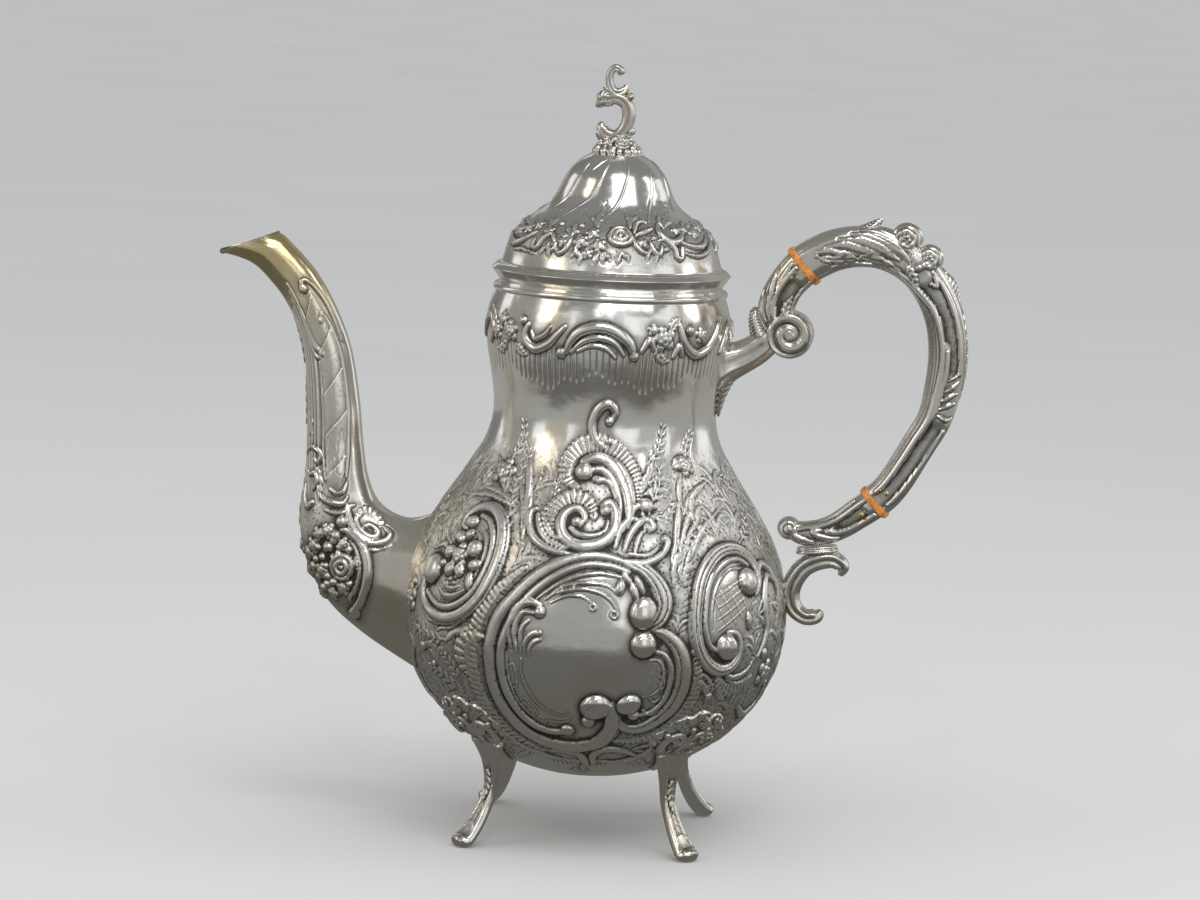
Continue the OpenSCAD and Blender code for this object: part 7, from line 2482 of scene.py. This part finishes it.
@dataclass
class Finial:
    """The openwork finial: two C-scrolls back to back, their leaves, and the flower collar under them."""

    base_z: float = 235.4
    collar_r: float = 8.3
    collar_h: float = 6.0
    height: float = 23.6

    def scroll(self, shape: Sequence[Sequence[float]]) -> list[tuple[float, float, float, float]]:
        """Scale the shares of a scroll to mm."""
        foot = self.base_z + self.collar_h
        full = self.height
        return [(x * full, foot + z * full, 1.38 * t * full, 1.2 * w * full) for x, z, t, w in shape]

    def chase_scroll(self, relief: Relief) -> None:
        """Chase a groove along the scroll's middle, with a ridge on each side, and mat the groove."""
        v, u = relief.grid()
        away = np.abs(np.abs(v) - 90)
        end = soft_step(u, 0.5, 3) * (1 - soft_step(u, u.max() - 3, u.max() - 0.5))
        relief.height += end * (0.2 * np.exp(-((away - 34) / 12) ** 2) - 0.28 * np.exp(-(away / 15) ** 2))
        relief.matting += 0.2 * end * np.exp(-(away / 15) ** 2)

    def chase_leaf(self, relief: Relief) -> None:
        """Chase veins on a small leaf."""
        v, u = relief.grid()
        t = u / u.max()
        away = np.abs(np.abs(v) - 90)
        veins = 0.16 * np.cos(2 * np.pi * (6 * t + away / 60)) * (away > 8) + 0.16 * np.exp(-(away / 10) ** 2)
        relief.height += veins * soft_step(t, 0, 0.12) * (1 - soft_step(t, 0.85, 1))

    def limb(self, clay: Clay, stations: Sequence[Sequence[float]], chase: Callable[[Relief], None],
             sway: float = 0.0) -> None:
        """Add one solid limb to the clay, leaning sideways towards its end."""
        rows, columns = limb_cells(stations, 0.6 * GRID_MM, 20, 24)
        sheet = limb_surface(stations, rows, columns)
        if sway:
            sheet.points[..., 1] -= sway * (np.linspace(0, 1, rows) ** 1.5)[:, None]
        relief = Relief(sheet)
        chase(relief)
        cast(clay, relief, (0.05, 0, 0))

    def chase_collar(self, relief: Relief) -> None:
        """Chase the ring of flowers: a tight rose in front, smaller flowers, buds and a beaded edge."""
        r = relief
        r.ring_rose((21, 238.4), 2.5, 1.5)
        for v, u, size in (
                (-30, 238.6, 2.0), (75, 238.2, 2.2), (-80, 238.4, 2.2), (128, 238.6, 2.2), (178, 238.2, 2.2),
                (-130, 238.4, 2.2)):
            r.rosette((v, u), size, 1.3, 5, v)
        for v, u in (
                (48, 239.6), (52, 237.2), (-5, 237.0), (-8, 240), (-55, 239.8), (-56, 236.9), (100, 239.8),
                (152, 239.6), (-104, 239.8), (-156, 239.6), (101, 236.9), (152, 236.9), (-105, 236.9)):
            r.blob((v, u), 1.0, 0.95, dip=0.15)
        for k in range(17):
            r.blob((-180 + 21.2 * k, 235.8 + 0.3 * (k % 2)), 0.9 + 0.3 * (k % 3), 0.75, long=1.25,
                turn=70 + 30 * (k % 3), dip=0.12, vein=0.2)

    def build(self, silver: bpy.types.Material, brass: bpy.types.Material) -> None:
        """Build the collar and the scrolls with their leaves, and give the fittings under the dome their
        brass.
        """
        self.build_collar(silver)
        upper = ((0.030, 0.868, 0.020, 0.03), (0.020, 0.885, 0.044, 0.055), (-0.020, 0.940, 0.044, 0.07),
                 (-0.100, 0.950, 0.042, 0.07), (-0.155, 0.850, 0.042, 0.07), (-0.145, 0.720, 0.044, 0.07),
                 (-0.080, 0.620, 0.048, 0.08), (0.010, 0.610, 0.050, 0.08), (0.075, 0.660, 0.044, 0.06),
                 (0.095, 0.725, 0.022, 0.03))
        lower = ((-0.205, 0.400, 0.045, 0.05), (-0.185, 0.485, 0.080, 0.08), (-0.065, 0.530, 0.070, 0.09),
                 (0.070, 0.480, 0.070, 0.09), (0.140, 0.350, 0.072, 0.09), (0.135, 0.190, 0.070, 0.09),
                 (0.060, 0.040, 0.068, 0.09), (-0.060, -0.020, 0.066, 0.09), (-0.185, 0.015, 0.068, 0.09),
                 (-0.235, 0.105, 0.058, 0.08), (-0.215, 0.165, 0.030, 0.04))
        clay = Clay()
        for shape in (upper, lower):
            self.limb(clay, self.scroll(shape), self.chase_scroll)
        for shape, sway in (
                (((-0.10, 0.50, 0.04, 0.06), (-0.20, 0.56, 0.055, 0.08), (-0.27, 0.53, 0.045, 0.07),
                  (-0.30, 0.47, 0.015, 0.02)), 1.0),
                (((-0.12, 0.46, 0.04, 0.06), (-0.22, 0.47, 0.05, 0.08), (-0.30, 0.42, 0.04, 0.05),
                  (-0.33, 0.38, 0.012, 0.02)), -1.0),
                (((0.08, 0.48, 0.04, 0.06), (0.15, 0.55, 0.045, 0.06), (0.21, 0.56, 0.02, 0.03)), 0.8),
                (((-0.15, 0.02, 0.05, 0.06), (-0.23, -0.03, 0.05, 0.06), (-0.30, 0.03, 0.02, 0.03)), 0.8),
                (((0.10, 0.10, 0.05, 0.07), (0.18, 0.05, 0.045, 0.06), (0.24, 0.09, 0.02, 0.02)), -0.6),
                (((-0.09, 0.62, 0.03, 0.05), (-0.17, 0.64, 0.04, 0.05), (-0.23, 0.70, 0.015, 0.02)), 0.5)):
            self.limb(clay, self.scroll(shape), self.chase_leaf, sway)
        finish_piece(clay, "finial_scrolls", "lid", "silver_cast", silver, "finial")
        self.dress_fittings(brass)

    def build_collar(self, silver: bpy.types.Material) -> None:
        """Build the domed collar with its ring of flowers."""
        r = self.collar_r
        line = np.array([(r - 2.5, self.base_z - 0.6), (r - 0.8, self.base_z - 0.5),
             (r - 0.3, self.base_z + 0.1), (r - 0.5, self.base_z + 1.0), (r - 1.6, self.base_z + 2.1),
             (r - 3.0, self.base_z + 3.5), (r - 4.4, self.base_z + 4.9), (r - 5.4, self.base_z + 5.9),
             (1.2, self.base_z + 6.3)])
        sheet = revolved(smooth_line(line, 8), 8 * round(52 / (0.6 * GRID_MM) / 8),
            round(14 / (0.6 * GRID_MM)))
        relief = Relief(sheet)
        self.chase_collar(relief)
        clay = Clay()
        cast(clay, relief, (0.1, 0, 0.1))
        finish_piece(clay, "finial_flowers", "lid", "silver_cast", silver, "finial_collar")

    def dress_fittings(self, brass: bpy.types.Material) -> None:
        """Give the washer and the nut their brass."""
        for name in ("finial_washer", "finial_nut"):
            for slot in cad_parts[name].material_slots:
                slot.material = brass


# ---- the studio ------------------------------------------------------------------------------------


@dataclass
class Studio:
    """A pale floor, soft lamps, glowing grey boards that only polished metal sees, which paint the
    reflections of a room and a shadow under the object, and the camera.
    """

    distance: float = 1.4700
    height: float = 0.3193
    yaw: float = 5.04
    swing: float = 5.0
    pitch: float = 7.22
    roll: float = 2.7
    lens: float = 129.4

    def build(self) -> None:
        """Set up everything but the object."""
        self.place_camera()
        self.lay_floor()
        self.light_world()
        self.set_lamps()
        self.hang_boards()
        bpy.context.scene.view_settings.view_transform = "Standard"

    def place_camera(self) -> None:
        """Place the camera: turned, tilted down and rolled about its own axis."""
        data = bpy.data.cameras.new("camera")
        data.lens, data.sensor_width = self.lens, 36.0
        camera = bpy.data.objects.new("camera", data)
        angle = math.radians(self.swing)
        camera.location = (AXIS_X * MM + self.distance * math.sin(angle), -self.distance * math.cos(angle),
                           self.height)
        turn = (Matrix.Rotation(math.radians(self.yaw), 3, "Z")
                @ Matrix.Rotation(math.radians(90 - self.pitch), 3, "X")
                @ Matrix.Rotation(math.radians(self.roll), 3, "Z"))
        camera.rotation_euler = turn.to_euler()
        bpy.context.scene.collection.objects.link(camera)
        bpy.context.scene.camera = camera

    def plate(self, name: str, width: float, height: float, centre: Vector, aim: Vector) -> bpy.types.Object:
        """Make a flat rectangle that faces a point."""
        facing = (aim - centre).normalized()
        side = facing.cross(Vector((0, 0, 1)))
        side = side.normalized() if side.length > 1e-4 else Vector((1, 0, 0))
        up = side.cross(facing)
        corners = [centre + side * (x * width / 2) + up * (y * height / 2)
                   for x, y in ((-1, -1), (1, -1), (1, 1), (-1, 1))]
        mesh = bpy.data.meshes.new(name)
        mesh.from_pydata([tuple(c) for c in corners], [], [(0, 1, 2, 3)])
        plate = bpy.data.objects.new(name, mesh)
        bpy.context.scene.collection.objects.link(plate)
        return plate

    def lay_floor(self) -> None:
        """Lay the pale floor."""
        floor = self.plate("floor", 60, 60, Vector((0, 0, -0.0002)), Vector((0, 0, 1)))
        mat = bpy.data.materials.new("pale_floor")
        w = Wiring(mat)
        w.feed(w.shader.inputs["Base Color"],
               w.blend(w.noise(3, 3), (0.72, 0.715, 0.70, 1), (0.78, 0.775, 0.76, 1)))
        w.shader.inputs["Roughness"].default_value = 0.32
        w.shader.inputs["Specular IOR Level"].default_value = 0.0
        floor.data.materials.append(mat)

    def light_world(self) -> None:
        """Light the world: white where the camera, polish or glass looks at it, softer as a lamp."""
        world = bpy.data.worlds.new("studio_world")
        bpy.context.scene.world = world
        world.use_nodes = True
        tree = world.node_tree
        tree.nodes.clear()
        nodes = {name: tree.nodes.new("ShaderNode" + kind) for name, kind in (
            ("path", "LightPath"), ("seen", "Math"), ("both", "Math"), ("soft", "Background"),
            ("white", "Background"), ("mix", "MixShader"), ("out", "OutputWorld"))}
        nodes["seen"].operation = nodes["both"].operation = "ADD"
        nodes["both"].use_clamp = True
        for name, colour, strength in (("soft", (0.95, 0.97, 1.0, 1), 0.72), ("white", (1, 1, 1, 1), 1.0)):
            nodes[name].inputs["Color"].default_value = colour
            nodes[name].inputs["Strength"].default_value = strength
        for source, output, target, entry in (
                ("path", "Is Camera Ray", "seen", 0), ("path", "Is Glossy Ray", "seen", 1),
                ("seen", 0, "both", 0), ("path", "Is Transmission Ray", "both", 1), ("both", 0, "mix", "Fac"),
                ("soft", 0, "mix", 1), ("white", 0, "mix", 2), ("mix", 0, "out", "Surface")):
            tree.links.new(nodes[source].outputs[output], nodes[target].inputs[entry])

    def set_lamps(self) -> None:
        """Set the window and its fill on the right, a spark in front, a warm fill and a rim strip."""
        for name, azimuth, elevation, far, size, power, colour in (
                ("key_window", 28, 51, 1.6, (1.15, 0.85), 5.2, (0.97, 0.985, 1.0)),
                ("top_fill", 16, 64, 1.6, (0.5, 0.42), 1.5, (0.97, 0.985, 1.0)),
                ("spark", 2, 36, 1.5, (0.16, 0.16), 1.0, (1.0, 1.0, 1.0)),
                ("warm_fill", -58, 30, 1.7, (0.5, 0.9), 2.2, (1.0, 0.86, 0.66)),
                ("rim_strip", 96, 32, 1.6, (0.4, 0.9), 2.0, (1.0, 0.97, 0.92))):
            a, e = math.radians(azimuth), math.radians(elevation)
            lamp = bpy.data.lights.new(name, "AREA")
            lamp.shape, (lamp.size, lamp.size_y) = "RECTANGLE", size
            lamp.energy, lamp.color = power, colour
            spot = bpy.data.objects.new(name, lamp)
            spot.location = (far * math.cos(e) * math.sin(a), -far * math.cos(e) * math.cos(a),
                             0.12 + far * math.sin(e))
            aim = Vector((0, 0, 0.14)) - spot.location
            spot.rotation_euler = aim.to_track_quat("-Z", "Y").to_euler()
            bpy.context.scene.collection.objects.link(spot)

    def hang_boards(self) -> None:
        """Hang glowing grey boards round, over and under the object, so that polish shows darks between the
        lights: painted reflections of a room, and a painted shadow under the object.
        """
        # Each board glows with its own grey, a painted reflection of a room's walls; the warm one on the
        # front left paints a warm reflection.
        for name, azimuth, far, width, low, high, glow in (
                ("board_front", -4, 2.0, 1.5, 0.0, 1.5, (0.37, 0.37, 0.37)),
                ("board_front_right", 52, 1.9, 0.9, 0.0, 0.9, (0.46, 0.46, 0.45)),
                ("board_right", 96, 1.6, 1.1, 0.0, 1.2, (0.38, 0.375, 0.36)),
                ("board_back_right", 152, 1.5, 0.9, 0.0, 1.5, (0.34, 0.335, 0.32)),
                ("board_back", 184, 1.6, 0.9, 0.0, 1.4, (0.28, 0.27, 0.25)),
                ("board_back_left", 220, 1.5, 0.9, 0.0, 1.5, (0.20, 0.195, 0.185)),
                ("board_left", -88, 1.6, 1.1, 0.0, 1.3, (0.30, 0.29, 0.27)),
                ("board_front_left", -44, 1.9, 0.8, 0.0, 1.0, (0.44, 0.40, 0.33))):
            a = math.radians(azimuth)
            centre = Vector((far * math.sin(a), -far * math.cos(a), (low + high) / 2))
            board = self.plate(name, width, high - low, centre, Vector((0, 0, (low + high) / 2)))
            self.make_board_glow(board, glow)
        roof = self.plate("board_roof", 6.0, 6.0, Vector((0, 0, 2.1)), Vector((0, 0, 0)))
        self.make_board_glow(roof, (0.23, 0.23, 0.225))
        # Two boards lie on the floor for glossy rays only: a large grey one paints the reflection of a darker
        # floor, and a small dark one under the pot paints its shadow in the metal's reflections.
        for name, size, low, glow in (("board_far_floor", 5.0, 0.0001, (0.36, 0.36, 0.345)),
                                      ("board_painted_shadow", 0.8, 0.0002, (0.13, 0.125, 0.115))):
            self.make_board_glow(self.plate(name, size, size, Vector((0, 0, low)), Vector((0, 0, 1))), glow)

    def make_board_glow(self, board: bpy.types.Object, glow: Sequence[float]) -> None:
        """Make a board glow with an even tone, as a painted reflection, and let only glossy rays see it."""
        mat = bpy.data.materials.new(board.name)
        w = Wiring(mat)
        w.shader.inputs["Base Color"].default_value = (0, 0, 0, 1)
        w.shader.inputs["Specular IOR Level"].default_value = 0.0
        w.shader.inputs["Emission Color"].default_value = (*glow, 1)
        w.shader.inputs["Emission Strength"].default_value = 1.0
        board.data.materials.append(mat)
        board.visible_camera = board.visible_diffuse = board.visible_shadow = False
        board.visible_transmission = board.visible_volume_scatter = False


def main() -> None:
    """Build the studio and every sub-assembly, in order."""
    logging.basicConfig(level=logging.INFO, format="%(message)s")
    Studio().build()
    polished = Silver("silver_sheet").material()
    cast = Silver("silver_cast", bright=(0.88, 0.87, 0.84), tarnish=0.55, punch=0.12).material()
    # This finish's gold is a painted warm reflection, for the spout's lip.
    painted_warm_reflection = Silver("silver_painted_warm_reflection", bright=(0.86, 0.80, 0.62), warm=(0.82, 0.66, 0.36)).material()
    brass = Silver("brass_pins", bright=(0.80, 0.62, 0.34), warm=(0.62, 0.40, 0.18)).material()
    horn = Insulator().material()
    body = Body()
    body.build(polished)
    Lid().build(polished)
    # The spout's top takes a gold band: a painted warm reflection.
    pouring = Silver("silver_spout", bright=(0.85, 0.83, 0.78), tarnish=0.65, painted_warm_reflection_band=(0.172, 0.194))
    Spout().build(pouring.material(), painted_warm_reflection, body)
    Handle().build(cast, horn, brass)
    for name, azimuth, flip in (("foot_front_left", 225, True), ("foot_front_right", 315, False),
                                ("foot_back_left", 135, False), ("foot_back_right", 45, True)):
        Foot(name, azimuth, flip).build(cast, body)
    Finial().build(cast, brass)


if __name__ == "__main__":
    main()
